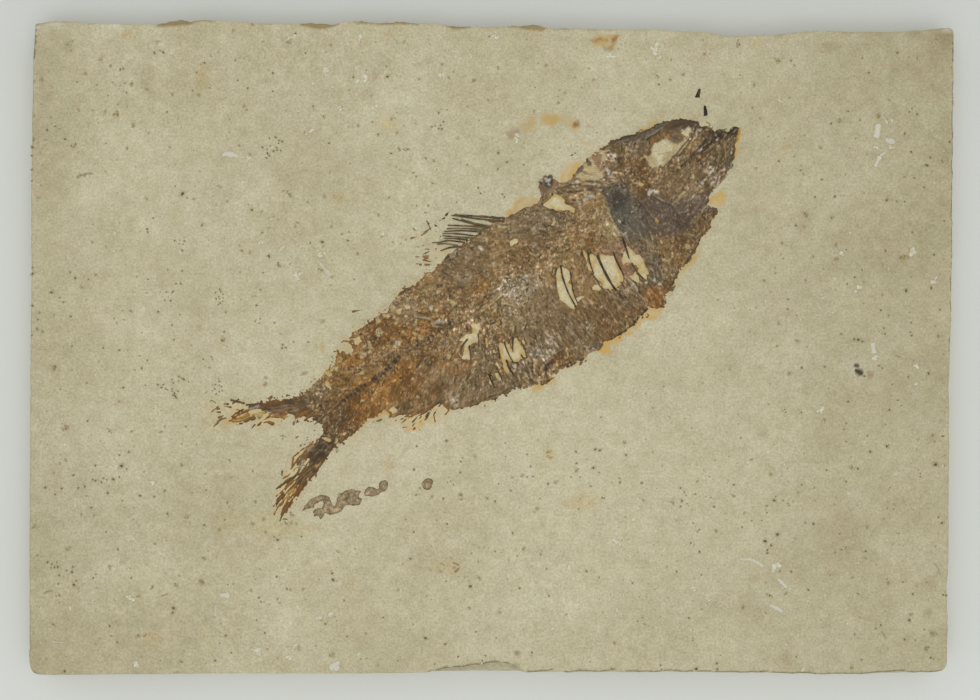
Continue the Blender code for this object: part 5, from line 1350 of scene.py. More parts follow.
FILM_LINES = [
    # pigment, width, strength, lift, points
    ("dark", 0.34, 0.85, 0.10, [(88.3, 12.9), (91, 12.0), (93.5, 11.3)]),
    ("dark", 0.34, 0.7, 0.10, [(101, 8.0), (103.5, 7.4), (105.4, 6.4), (106.4, 5.8)]),
    ("ink", 0.20, 0.8, 0.08, [(94.6, 8.9), (96.4, 8.85), (98.2, 8.5)]),
    ("ink", 0.22, 0.85, 0.08, [(95.9, 10.5), (98, 10.4), (100, 10.4), (102, 9.6), (103.8, 8.6)]),
    ("umber", 0.24, 0.8, 0.05, [(95.0, 1.9), (96.7, 2.25), (98.4, 2.6), (99.6, 2.9)]),
    ("sand", 0.30, 0.8, 0.05, [(99.2, 2.4), (100.6, 3.0), (102.2, 3.4)]),
    ("sand", 0.26, 0.8, 0.05, [(99.9, 3.4), (101.2, 3.9), (102.4, 4.1)]),
    ("dark", 0.20, 0.85, 0.03, [(99.8, 3.05), (101.2, 3.5), (102.6, 3.8)]),
    ("hazel", 0.18, 0.45, 0.02, [(95.3, 4.9), (96.3, 4.4), (97.6, 3.8)]),
    ("bone", 0.18, 0.5, 0.04, [(90.6, 9.4), (91.8, 8.9), (92.6, 8.4)]),
    ("cream", 0.24, 0.6, 0.04, [(90.2, 10.4), (90.8, 9.8), (92.0, 9.4)]),
    ("ash", 0.22, 0.55, 0.04, [(95, 9.3), (98, 9.2), (100.6, 9.2)]),
    ("ash", 0.26, 0.55, 0.05, [(88.4, 12.1), (90.2, 11.6), (91.6, 11.0)]),
    ("bone", 0.22, 0.5, 0.05, [(89.6, 11.2), (92, 10.1), (94, 9.6)]),
    ("dark", 0.30, 0.7, 0.03, [(96.4, -0.5), (99.0, 0.0), (101.0, 0.4), (104.0, 1.3), (106.4, 1.9)]),
    ("ink", 0.26, 0.7, 0.03, [(97.2, -0.3), (98.4, 0.1)]),
    ("dark", 0.26, 0.7, 0.06, [(98.8, 2.0), (101.4, 2.8), (103.6, 3.7)]),
    ("cream", 0.22, 0.5, 0.03, [(101.6, 2.4), (103, 3.0), (105, 3.6)]),
    ("dark", 0.3, 0.8, 0.0, [(89.0, -1.6), (90, -4), (91.5, -6.3), (92.4, -7.7)]),
    ("ash", 0.22, 0.4, 0.05, [(89.5, -2.0), (90.5, -4), (92.0, -6.2)]),
    ("cream", 0.5, 0.35, 0.03, [(91.8, -5.9), (93.6, -5.8), (95.4, -5.3)]),
    ("cream", 0.4, 0.6, 0.03, [(93.8, -5.4), (95.0, -5.2), (95.6, -5.4)]),
    ("ash", 0.5, 0.45, 0.05, [(94.6, -6.9), (96.4, -7.2), (97.4, -8.4)]),
    ("slate", 0.6, 0.5, 0.04, [(92.4, -7.6), (94.6, -6.9), (96.6, -6.6)]),
    ("dark", 0.24, 0.7, 0.0, [(86.0, -1.2), (86.1, -4), (86.4, -7), (88, -9.4)]),
    ("bone", 0.3, 0.3, 0.05, [(86.6, -2.4), (86.7, -5.6), (87.0, -8)]),
    ("cream", 0.3, 0.4, 0.05, [(79.6, 1.0), (79.1, -0.8), (78.9, -2.4)]),
    ("ash", 0.3, 0.6, 0.04, [(78.8, -2.6), (78.8, -4.4), (79.6, -5.8)]),
    ("dark", 0.24, 0.5, 0.0, [(80.6, 3.0), (79.7, 0.6), (79.2, -2), (79.2, -4.4)]),
    ("dark", 0.3, 0.75, 0.05, [(84, -19.0), (86, -18.7), (88.5, -17.6), (91, -16.6), (93, -15.3)]),
    ("gold", 0.32, 0.5, 0.02, [(84.4, -19.3), (87.6, -18.6), (90.4, -17.6)]),
    ("fox", 0.4, 0.6, 0.03, [(92.8, -15.4), (95.6, -14.7), (98.8, -12.6)]),
    ("hazel", 0.36, 0.6, 0.03, [(99.2, -12.2), (98.0, -10.4), (98.6, -9.2)]),
    ("ash", 0.35, 0.6, 0.03, [(101.2, -8.3), (103.6, -7.9), (106, -7.0), (108, -5.4)]),
    ("gold", 0.6, 0.75, 0.0, [(113.1, -0.6), (111.6, -2.0), (110.4, -3.4), (109.2, -4.6)]),
    ("slate", 0.7, 0.6, 0.06, [(109.6, -1.6), (108.9, -3.2), (107.4, -4.8), (105.8, -6.0)]),
    ("cream", 0.3, 0.5, 0.03, [(108.4, -1.6), (107.4, -3.4), (106.6, -4.6)]),
    ("cream", 0.28, 0.5, 0.03, [(101.6, -4.4), (102.6, -3.4), (103.4, -2.8)]),
    ("dark", 0.26, 0.6, 0.03, [(100.6, -3.4), (102.4, -2.2), (104.6, -1.6)]),
    ("dark", 0.24, 0.6, 0.02, [(104.0, -3.9), (105.6, -2.8), (106.6, -1.9)]),
    ("dark", 0.22, 0.5, 0.0, [(94, -12.4), (96, -11.6), (98, -11.2)]),
    ("dark", 0.22, 0.5, 0.0, [(87, -13.0), (89.4, -13.6), (91.6, -14.8), (93.4, -14.9)]),
    ("cream", 0.3, 0.6, 0.03, [(91.1, -13.4), (91.9, -14.2)]),
    ("cream", 0.28, 0.6, 0.03, [(92.0, -14.7), (93.2, -14.6)]),
    ("cream", 0.26, 0.5, 0.03, [(96.2, -10.9), (97.0, -10.5), (98.0, -10.3)]),
    ("cream", 0.3, 0.5, 0.03, [(83.4, -15.2), (84.4, -15.8), (85.6, -15.4)]),
    # folds on the nape
    ("dark", 0.34, 0.75, 0.05, [(74.2, 9.0), (77.2, 7.5), (79.6, 6.2)]),
    ("bone", 0.30, 0.6, 0.05, [(74.6, 9.4), (77.4, 8.0), (79.8, 6.6)]),
    ("cream", 0.30, 0.75, 0.05, [(77.4, 9.4), (79.6, 7.5), (81.8, 5.6)]),
    ("dark", 0.30, 0.8, 0.04, [(77.2, 8.9), (79.4, 7.0), (81.4, 5.3)]),
    ("cream", 0.26, 0.6, 0.05, [(78.6, 8.6), (80.6, 6.8), (82.4, 5.8)]),
    ("dark", 0.26, 0.7, 0.04, [(79.0, 8.9), (81.2, 6.9), (82.8, 5.4)]),
    ("ash", 0.5, 0.6, 0.05, [(76.4, 9.9), (77.8, 9.8)]),
    ("dark", 0.24, 0.6, 0.0, [(72.6, 10.9), (75.6, 9.9), (78, 8.9)]),
    ("dark", 0.24, 0.6, 0.0, [(79.4, 11.0), (80.4, 9.8), (80.8, 9.2)]),
    ("ash", 0.4, 0.6, 0.03, [(84.0, 8.6), (84.1, 7.4), (84.0, 6.6)]),
    # midline of the body
    ("umber", 0.9, 0.5, 0.04, [
        (7.4, -1.3), (13, -1.2), (16.6, -1.4), (20.0, -1.1), (24.6, -0.3), (28, -0.5), (33, -0.2),
        (37.2, -0.4),
    ]),
    ("umber", 0.5, 0.6, 0.04, [(37, -1.2), (40, -1.7), (43, -1.5), (46, -1.1)]),
    ("umber", 0.4, 0.55, 0.03, [(43.6, -0.2), (46, -0.4), (49.6, -0.2)]),
    ("bone", 0.3, 0.6, 0.05, [(40.2, -1.6), (42.4, -1.6), (45.4, -1.9)]),
    ("cream", 0.34, 0.7, 0.06, [(44.4, -2.0), (47.6, -1.8), (50.4, -1.4)]),
    ("dark", 0.26, 0.6, 0.0, [(44, -2.5), (47, -2.3), (50, -1.9)]),
    ("ash", 0.26, 0.6, 0.04, [(53.4, -4.2), (56, -4.3), (59.4, -4.1)]),
    ("cream", 0.3, 0.45, 0.03, [(55.0, -0.9), (57.8, -1.2), (60.6, -1.2)]),
    ("dark", 0.3, 0.6, 0.0, [(31.2, 5.2), (32.6, 3.9), (34.0, 2.2), (35.2, 0.6)]),
    ("ash", 0.4, 0.65, 0.04, [(31.8, 5.0), (33.2, 3.8), (34.2, 2.8)]),
    ("ash", 0.6, 0.75, 0.04, [(34.0, 1.8), (35.4, 1.2), (36.4, 0.6)]),
    ("dark", 0.24, 0.5, 0.0, [(18.6, 2.2), (20.2, 1.0), (21.0, 0.4)]),
    # the belly's lower rim
    ("ink", 0.34, 0.8, 0.08, [(63.6, -22.8), (66.0, -23.0), (68.4, -23.0), (70.4, -22.8)]),
    ("ink", 0.34, 0.8, 0.08, [(70.6, -22.6), (72.4, -22.2), (74.8, -21.6)]),
    ("dark", 0.26, 0.6, 0.05, [(60.4, -22.2), (62.2, -22.6), (63.4, -22.2)]),
    ("slate", 0.8, 0.6, 0.04, [(60.2, -21.6), (61.2, -22.6), (62.0, -22.6)]),
    ("ink", 0.30, 0.8, 0.06, [(28.0, -16.7), (30.2, -17.8), (33, -18.5), (36.8, -18.9)]),
    ("ink", 0.26, 0.75, 0.05, [(31, -18.2), (34.4, -18.2), (37, -18.9)]),
    ("bone", 0.3, 0.6, 0.04, [(32.6, -18.5), (35, -18.7), (37, -19.2)]),
    ("ink", 0.30, 0.75, 0.06, [(36.0, -19.6), (39, -20.0), (42.6, -20.1)]),
    ("bone", 0.26, 0.7, 0.05, [(37.4, -18.8), (39.6, -18.9), (42, -19.1)]),
    ("ink", 0.24, 0.7, 0.05, [(37.6, -19.2), (40, -19.2), (42.4, -18.8)]),
    ("dark", 0.3, 0.7, 0.05, [
        (42.8, -21.8), (45.4, -22.3), (47, -22.9), (51, -22.6), (55, -22.8), (57, -23.0),
    ]),
    ("dark", 0.3, 0.65, 0.04, [(44.6, -20.4), (46.4, -22.0), (48, -22.6)]),
    ("bone", 0.3, 0.5, 0.05, [(45.0, -19.8), (46.6, -21.4), (47.8, -22.2)]),
    ("dark", 0.28, 0.6, 0.04, [(51, -21.2), (53, -21.9), (56, -22.2)]),
    ("dark", 0.3, 0.6, 0.05, [(48.4, -18.9), (51, -18.7), (54.0, -18.9)]),
    ("bone", 0.24, 0.5, 0.04, [(49, -18.5), (52, -18.4), (54.6, -18.7)]),
    ("cream", 0.4, 0.7, 0.04, [(54.2, -20.8), (54.8, -20.0), (54.8, -19.4)]),
    ("dark", 0.26, 0.5, 0.0, [(77.0, -23.2), (79, -21.8), (81.4, -20.5), (84, -19.4)]),
    # tail rays on the solid parts
    ("dark", 0.2, 0.5, 0.05, [(1.2, 3.4), (-3, 5.8), (-7.4, 8.6)]),
    ("dark", 0.2, 0.5, 0.05, [(0.6, 3.0), (-3, 4.9), (-6.8, 7.2)]),
    ("bone", 0.2, 0.5, 0.05, [(-2.2, 4.5), (-5.0, 5.9), (-7.2, 7.6)]),
    ("rose", 0.22, 0.55, 0.04, [(-2.4, 3.6), (-4.4, 4.4), (-6.6, 6.0)]),
    ("bone", 0.18, 0.4, 0.04, [(-2.6, 4.1), (-4.8, 5.2), (-6.8, 6.6)]),
    ("rose", 0.25, 0.5, 0.04, [(0.4, 4.9), (-3.4, 6.9), (-7.6, 9.0)]),
    ("ink", 0.2, 0.4, 0.05, [(1.0, -6.6), (-2, -7.2), (-5.4, -7.6)]),
    ("ink", 0.2, 0.4, 0.05, [(1.0, -7.4), (-2, -8.1), (-5.0, -8.4)]),
    ("bone", 0.16, 0.3, 0.04, [(0.4, -6.9), (-2, -7.5), (-5.0, -7.9)]),
    ("bark", 0.2, 0.4, 0.04, [(0.4, -8.3), (-2, -9.0), (-4.6, -9.0)]),
    ("dark", 0.3, 0.7, 0.04, [(1.0, -4.6), (2.0, -5.6), (2.4, -6.8)]),
    ("cream", 0.25, 0.6, 0.03, [(0.6, -4.9), (1.3, -5.8), (1.9, -7.0)]),
    ("dark", 0.24, 0.55, 0.03, [(1.6, -3.8), (4.0, -4.6), (6.6, -5.2)]),
    ("dark", 0.24, 0.55, 0.03, [(0.4, -2.2), (2.6, -1.9), (5.2, -2.0), (8.4, -1.0)]),
    ("dark", 0.24, 0.5, 0.03, [(0.6, -1.2), (3.0, -1.1), (6.0, -1.0)]),
    ("dark", 0.24, 0.5, 0.03, [(0.4, 2.8), (3.6, 1.6), (6.6, 0.2)]),
    ("dark", 0.22, 0.5, 0.03, [(1.2, 4.2), (4.0, 2.8), (7.0, 1.0)]),
    ("bone", 0.2, 0.45, 0.03, [(4.2, 4.2), (6.2, 3.2), (7.6, 2.0)]),
    ("bone", 0.2, 0.45, 0.03, [(4.6, 4.8), (6.6, 3.8), (8.0, 2.6)]),
    ("cream", 0.3, 0.6, 0.02, [(7.0, 3.9), (7.6, 2.9), (7.9, 2.2)]),
    # short folds on the hind flank and the shoulder
    ("dark", 0.26, 0.6, 0.0, [(38.9, -5.6), (40.4, -7.4), (39.6, -9.2)]),
    ("cream", 0.35, 0.6, 0.02, [(41.0, -6.0), (40.2, -7.6), (39.4, -8.6)]),
    ("dark", 0.26, 0.6, 0.03, [(46.6, -5.8), (46.0, -6.9)]),
    ("cream", 0.4, 0.7, 0.02, [(45.0, -6.1), (46.4, -6.2)]),
    ("cream", 0.3, 0.6, 0.02, [(48.2, -8.6), (47.4, -9.6)]),
    ("dark", 0.26, 0.6, 0.03, [(48.6, -8.8), (47.8, -10.2)]),
    ("bone", 0.3, 0.5, 0.03, [(49.6, -12.4), (48.8, -13.6), (48.8, -15.0)]),
    ("cream", 0.5, 0.6, 0.02, [(58.6, 10.4), (59.6, 10.0)]),
    ("cream", 0.4, 0.7, 0.02, [(57.6, 11.2), (58.8, 10.4)]),
]
FLECKS = {
    # pigment: (strength, lift, places as (u, v, radius))
    # The white flecks are painted highlights: small glints on the bone, the jaws and the nodule
    "white": (0.72, 0.04, [
        (72.1, 13.7, 0.36), (72.6, 13.5, 0.22), (71.9, 12.6, 0.3), (71.0, 14.2, 0.2), (108.0, 1.1, 0.42),
        (107.6, 0.4, 0.3), (106.2, 4.1, 0.32), (105.6, 4.2, 0.3), (108.6, -3.8, 0.35), (89.4, -1.0, 0.55),
        (88.6, -1.4, 0.3), (90.2, -1.5, 0.35), (90.5, -1.9, 0.25), (86.9, 10.7, 0.42), (87.2, 9.9, 0.4),
        (103.5, 0.5, 0.35), (103.2, -4.0, 0.28), (107.0, -1.1, 0.2), (82.2, 1.3, 0.22), (82.6, 0.6, 0.2),
        (80.2, -2.6, 0.16), (79.8, -5.3, 0.25), (79.2, -17.6, 0.32), (79.8, -18.9, 0.35),
        (79.4, -19.5, 0.28), (82.4, -14.4, 0.3), (77.5, -16.8, 0.3), (23.6, -5.8, 0.35), (24.5, -6.4, 0.32),
        (25.6, -5.9, 0.28), (25.1, 2.6, 0.45), (24.4, 2.0, 0.4), (25.4, 2.0, 0.35), (51.6, 9.6, 0.32),
        (52.0, 9.2, 0.28), (52.1, 5.3, 0.28), (40.2, -11.6, 0.25), (43.6, -16.1, 0.25), (43.9, -17.7, 0.28),
        (44.3, -18.1, 0.25), (49.8, -17.4, 0.45), (50.4, -18.2, 0.4), (48.1, -15.9, 0.32),
        (48.8, -16.6, 0.22), (53.5, -15.6, 0.3), (62.0, -16.8, 0.3), (62.4, -17.6, 0.3), (61.4, -18.0, 0.3),
        (66.5, -15.8, 0.25), (68.9, -10.6, 0.25), (68.8, -9.2, 0.25), (69.0, -12.0, 0.25), (84.2, 8.3, 0.3),
        (83.9, 7.3, 0.25), (77.3, 9.8, 0.4), (102.9, -5.4, 0.2), (99.8, -5.9, 0.25), (100.6, -5.5, 0.22),
        (-9.1, 8.4, 0.25), (-7.8, 7.9, 0.25), (56.9, -1.2, 0.35), (56.2, -1.7, 0.25), (48.9, -4.2, 0.3),
        (35.6, 4.7, 0.3), (104.8, 3.6, 0.2), (96.4, -7.0, 0.2), (33.4, -14.8, 0.2), (28.2, -14.6, 0.3),
        (74.9, -15.6, 0.3), (71.6, -17.2, 0.2), (52.2, -1.2, 0.3),
    ]),
    "cream": (0.8, 0.02, [
        (98.8, -3.4, 0.5), (93.6, 1.4, 0.3), (94.6, 1.2, 0.35), (93.0, 1.9, 0.25), (97.3, -0.1, 0.3),
        (88.3, 1.9, 0.4), (88.7, 1.5, 0.25), (101.0, -5.6, 0.25), (102.0, -4.3, 0.25), (102.8, -6.2, 0.25),
        (104.7, -5.9, 0.35), (101.2, -7.0, 0.2), (98.7, -7.0, 0.22), (91.6, 8.4, 0.5), (92.2, 8.8, 0.35),
        (90.2, 9.7, 0.25), (91.2, 3.9, 0.4), (91.8, 3.6, 0.25), (92.8, 5.8, 0.35), (92.5, 6.2, 0.25),
        (106.4, -4.0, 0.25), (84.8, -14.3, 0.4), (85.6, -15.0, 0.35), (89.0, -15.6, 0.6),
        (87.0, -14.0, 0.25), (83.6, -14.7, 0.3), (15.2, 1.5, 0.4), (15.9, -7.2, 0.35), (22.3, -9.7, 0.3),
        (19.6, -8.6, 0.25), (43.4, 0.5, 0.5), (60.2, 0.6, 0.25), (36.2, 3.8, 0.4), (31.2, 4.0, 0.4),
        (29.4, 2.2, 0.35), (29.0, 1.4, 0.3), (40.0, 3.0, 0.5), (40.4, 2.6, 0.3), (38.7, 6.9, 0.35),
        (54.0, 10.3, 0.35), (54.8, 11.6, 0.3), (57.0, 12.2, 0.3), (57.6, 12.9, 0.25), (46.4, 6.6, 0.2),
        (68.4, 5.3, 0.35), (61.6, 1.5, 0.2), (69.2, 1.0, 0.4), (68.4, 1.1, 0.3), (76.0, 1.4, 0.4),
        (77.0, 1.4, 0.4), (79.3, 2.1, 0.3), (77.6, 3.8, 0.3), (76.4, 5.6, 0.4), (83.4, 9.8, 0.3),
        (81.0, 12.0, 0.25), (58.3, -4.4, 0.3), (50.8, -6.0, 0.2), (53.2, -9.2, 0.25), (56.4, -10.4, 0.3),
        (49.8, -10.0, 0.25), (18.9, 7.8, 0.3), (18.9, 6.1, 0.3), (24.6, 8.6, 0.3), (25.0, 7.6, 0.25),
        (26.4, 9.0, 0.3), (27.8, 7.4, 0.3), (27.3, 6.3, 0.25), (26.8, 8.3, 0.25), (22.2, 3.3, 0.3),
        (12.0, -3.6, 0.3), (13.7, -4.6, 0.3), (15.4, -3.8, 0.35), (6.4, 3.2, 0.25), (5.2, 4.0, 0.2),
        (9.2, 5.2, 0.4), (10.2, 5.8, 0.3), (11.0, 5.3, 0.4), (8.6, 6.0, 0.3), (2.6, -7.5, 0.35),
        (1.8, -7.9, 0.3), (26.6, -4.6, 0.3), (28.6, -6.2, 0.25), (33.0, -6.2, 0.5), (33.8, -7.6, 0.4),
        (26.0, -9.4, 0.2),
    ]),
    "ink": (0.8, 0.03, [
        (80.9, -3.1, 0.35), (80.6, -3.6, 0.25), (82.0, 1.9, 0.25), (77.1, 0.0, 0.25), (76.4, -17.2, 0.2),
        (51.2, -0.9, 0.2), (56.2, 1.3, 0.22), (57.8, 1.6, 0.2), (59.0, 1.4, 0.2), (60.4, 1.2, 0.18),
        (61.6, 0.8, 0.18), (64.2, 1.2, 0.18), (64.6, 3.2, 0.18), (72.8, 1.6, 0.25), (71.9, 1.8, 0.2),
        (44.6, -0.4, 0.25), (84.0, -14.3, 0.35), (85.2, -14.6, 0.3), (71.7, -17.0, 0.3), (77.0, -13.4, 0.2),
        (100.5, -6.8, 0.25), (104.8, 4.7, 0.25), (106.4, 5.2, 0.25), (70.6, 13.9, 0.25), (69.0, 11.9, 0.2),
        (71.3, 10.4, 0.25), (48.0, 18.1, 0.2), (52.4, 5.8, 0.2), (55.8, -17.9, 0.2), (50.6, -20.0, 0.35),
        (49.6, -19.6, 0.3), (48.8, -20.2, 0.25), (99.0, -5.0, 0.2), (27.8, -0.6, 0.2), (28.4, -0.8, 0.2),
        (34.2, -1.3, 0.2), (36.0, -0.4, 0.2), (35.0, 0.4, 0.2), (38.2, -0.8, 0.2), (6.9, -8.6, 0.25),
        (5.7, -8.8, 0.25), (87.0, -8.4, 0.2),
    ]),
    "gold": (0.7, 0.0, [
        (97.4, -0.1, 0.28), (88.5, 1.7, 0.3), (93.4, 1.1, 0.2), (79.4, 1.6, 0.3), (78.8, 2.2, 0.25),
        (72.3, 1.4, 0.35), (63.9, 0.6, 0.2), (65.4, 1.9, 0.2), (67.5, 6.2, 0.35), (57.2, 12.6, 0.3),
        (56.8, 13.1, 0.2), (87.0, -7.0, 0.5), (87.8, -7.6, 0.35), (86.6, -7.8, 0.25), (54.3, -21.2, 0.2),
        (16.1, -7.2, 0.35), (9.8, -7.8, 0.3), (4.6, -7.4, 0.35), (48.2, 2.4, 0.4), (46.8, 1.2, 0.4),
        (35.9, 7.8, 0.3), (11.6, 6.3, 0.3), (9.0, 5.9, 0.3), (42.0, -13.1, 0.3), (24.0, 2.0, 0.25),
        (30.5, 0.4, 0.25), (20.4, -5.6, 0.25),
    ]),
}

# Rays and scraps of film that stand apart: (pigment, width, points)
TAIL_STREAKS = [
    ("fox", 0.75, [
        (-2.4, -9.7), (-5, -10.4), (-7, -11.2), (-10, -12.0), (-13, -13.0), (-16, -14.2), (-17.8, -15.4),
    ]),
    ("amber", 0.45, [(-9.6, -11.4), (-12.6, -12.3), (-15.8, -13.5), (-17.2, -14.7)]),
    ("umber", 0.8, [(-4.6, -8.9), (-7.4, -9.3), (-10.4, -8.9), (-12.4, -9.0), (-14.4, -9.1)]),
    ("rust", 0.6, [(-6.4, -9.9), (-9.4, -9.7), (-12, -10.0), (-15.4, -10.4)]),
    ("umber", 0.75, [(-5, -9.7), (-7.6, -10.0), (-10.4, -10.5), (-13, -11.0), (-17.0, -11.8)]),
    ("rust", 0.55, [(-10.6, -11.0), (-13.2, -11.7), (-16.4, -12.6), (-18.0, -13.4)]),
    ("rust", 0.4, [(-9.0, -7.9), (-10.8, -8.1), (-12.0, -8.0)]),
    ("amber", 0.42, [(-5.0, -6.9), (-7.0, -7.2), (-8.2, -8.6)]),
    ("rust", 0.42, [(-1.0, -5.3), (-4.6, -5.1), (-7.4, -5.4), (-8.6, -6.6)]),
    ("amber", 0.36, [(-4.4, -5.8), (-6.6, -6.2), (-8.6, -6.9), (-9.8, -7.5)]),
    ("bark", 0.34, [(-5.6, -6.5), (-7.6, -7.0)]), ("ash", 0.42, [(-6.6, -8.1), (-8.4, -7.7), (-9.6, -7.9)]),
    ("ash", 0.35, [(-6.2, -7.4), (-7.4, -8.4)]),
    ("umber", 0.36, [(-7.2, -10.9), (-8.6, -11.4), (-9.6, -11.1)]),
    ("bark", 0.4, [(-5.4, -10.2), (-6.8, -10.8), (-7.8, -10.6)]),
    ("gold", 0.5, [(-11.4, -11.4), (-12.6, -11.3), (-13.9, -12.1)]),
    ("gold", 0.4, [(-2.7, -9.9), (-3.6, -10.1), (-4.3, -9.9)]),
    ("dark", 0.3, [(-2.5, -9.6), (-3.5, -10.4), (-4.6, -10.7), (-5.4, -10.2)]),
    ("fox", 0.34, [(-14.7, -15.0), (-14.7, -16.2)]), ("bark", 0.3, [(-11.2, -6.6), (-11.8, -7.4)]),
    ("fox", 0.7, [(-8.0, 8.4), (-5.4, 7.2), (-2.4, 5.8)]),
    ("umber", 0.7, [(-9.6, 9.8), (-8.2, 9.0), (-7.0, 8.3)]),
    ("ash", 0.5, [(-9.6, 8.5), (-8.6, 8.2), (-7.6, 8.1)]),
    ("gold", 0.9, [(-7.6, 6.2), (-8.6, 6.8), (-9.7, 7.1)]),
    ("cream", 0.8, [(-8.0, 6.0), (-9.0, 5.8), (-8.8, 6.9)]),
    ("amber", 0.7, [(-9.8, 6.4), (-11.2, 7.2), (-13.4, 8.0), (-14.4, 8.7)]),
    ("gold", 0.8, [(-10.4, 7.8), (-11.8, 7.9), (-13.4, 8.6)]),
    ("rust", 0.6, [(-10.1, 8.6), (-12.0, 8.9), (-14.6, 8.9)]),
    ("fox", 0.45, [(-10.6, 9.3), (-12.4, 9.5), (-13.8, 9.4)]),
    ("umber", 0.35, [(-9.9, 6.3), (-10.9, 6.7), (-12.6, 6.9), (-13.8, 7.4)]),
    ("rust", 0.85, [(-7.2, 3.2), (-8.0, 4.2), (-9.2, 4.6), (-10.2, 4.7)]),
    ("fox", 0.5, [(-6.8, 4.9), (-8.2, 4.8), (-9.6, 4.9)]), ("umber", 0.4, [(-10.5, 5.1), (-11.6, 4.8)]),
    ("rust", 0.6, [(-3.4, 3.2), (-4.8, 3.3), (-6.6, 4.6)]), ("gold", 0.4, [(-3.6, 2.7), (-5.4, 2.9)]),
    ("rust", 0.5, [(-5.2, 2.6), (-4.4, 2.6)]),
    ("umber", 0.34, [(-11.2, 9.2), (-12.0, 10.2), (-12.6, 10.7)]),
    ("fox", 0.75, [(-9.8, 10.3), (-10.7, 11.3), (-11.7, 12.5)]),
    ("umber", 0.5, [(-10.3, 11.7), (-11.2, 11.8), (-12.0, 11.6)]),
    ("umber", 0.42, [(-12.8, 12.1), (-13.8, 12.8), (-14.7, 13.4)]),
    ("fox", 0.42, [(-12.7, 11.2), (-13.4, 11.9), (-14.2, 12.4)]),
    ("umber", 0.34, [(-14.8, 13.7), (-15.3, 14.8), (-16.5, 14.8)]),
    ("rose", 0.3, [(-14.8, 12.9), (-16, 12.8), (-18, 12.4)]),
    ("rose", 0.55, [(-14.9, 9.9), (-16.0, 10.3), (-18.2, 9.8)]),
    ("bark", 0.4, [(-15.0, 10.6), (-16.2, 10.9)]), ("bark", 0.24, [(-15.2, 11.6), (-15.8, 12.0)]),
    ("bark", 0.24, [(-14.9, 12.3), (-15.4, 12.6)]), ("bark", 0.24, [(-14.2, 10.9), (-14.6, 11.3)]),
    # scraps in the fork of the tail
    ("rust", 0.4, [(-3.2, 0.7), (-1.8, 1.6), (0.2, 1.2)]),
    ("umber", 0.42, [(-2.2, 1.5), (-0.6, 2.0), (0.6, 2.2)]), ("rust", 0.34, [(-3.4, 0.5), (-3.0, 1.4)]),
    ("rust", 0.4, [(-2.2, 1.2), (-0.8, 1.1)]), ("fox", 0.3, [(-1.0, -0.1), (0.4, -0.1)]),
    ("dark", 0.3, [(-0.2, -1.2), (1.2, -1.3)]),
    ("rust", 0.38, [(-4.8, -2.3), (-3.0, -2.2), (-2.0, -1.3), (-1.2, -1.1)]),
    ("rust", 0.3, [(-2.2, -2.4), (-1.8, -1.4)]), ("rust", 0.26, [(-4.8, -4.2), (-2.8, -4.0), (-1.6, -4.2)]),
    ("rust", 0.3, [(-3.5, -3.7), (-2.4, -3.6)]), ("umber", 0.36, [(-0.6, -3.2), (-0.2, -3.1)]),
    ("umber", 0.34, [(-0.2, -2.3), (0.1, -2.3)]), ("rust", 0.3, [(-2.6, -2.9), (-2.4, -2.9)]),
    ("rust", 0.3, [(-3.3, -2.4), (-3.1, -2.4)]), ("umber", 0.34, [(0.3, -2.1), (2.4, -1.9)]),
    ("umber", 0.34, [(-1.0, -4.0), (-0.7, -4.1)]), ("rust", 0.3, [(-3.0, -4.8), (-1.0, -4.9)]),
    ("rust", 0.3, [(-2.4, -0.4), (-2.2, -0.4)]),
]
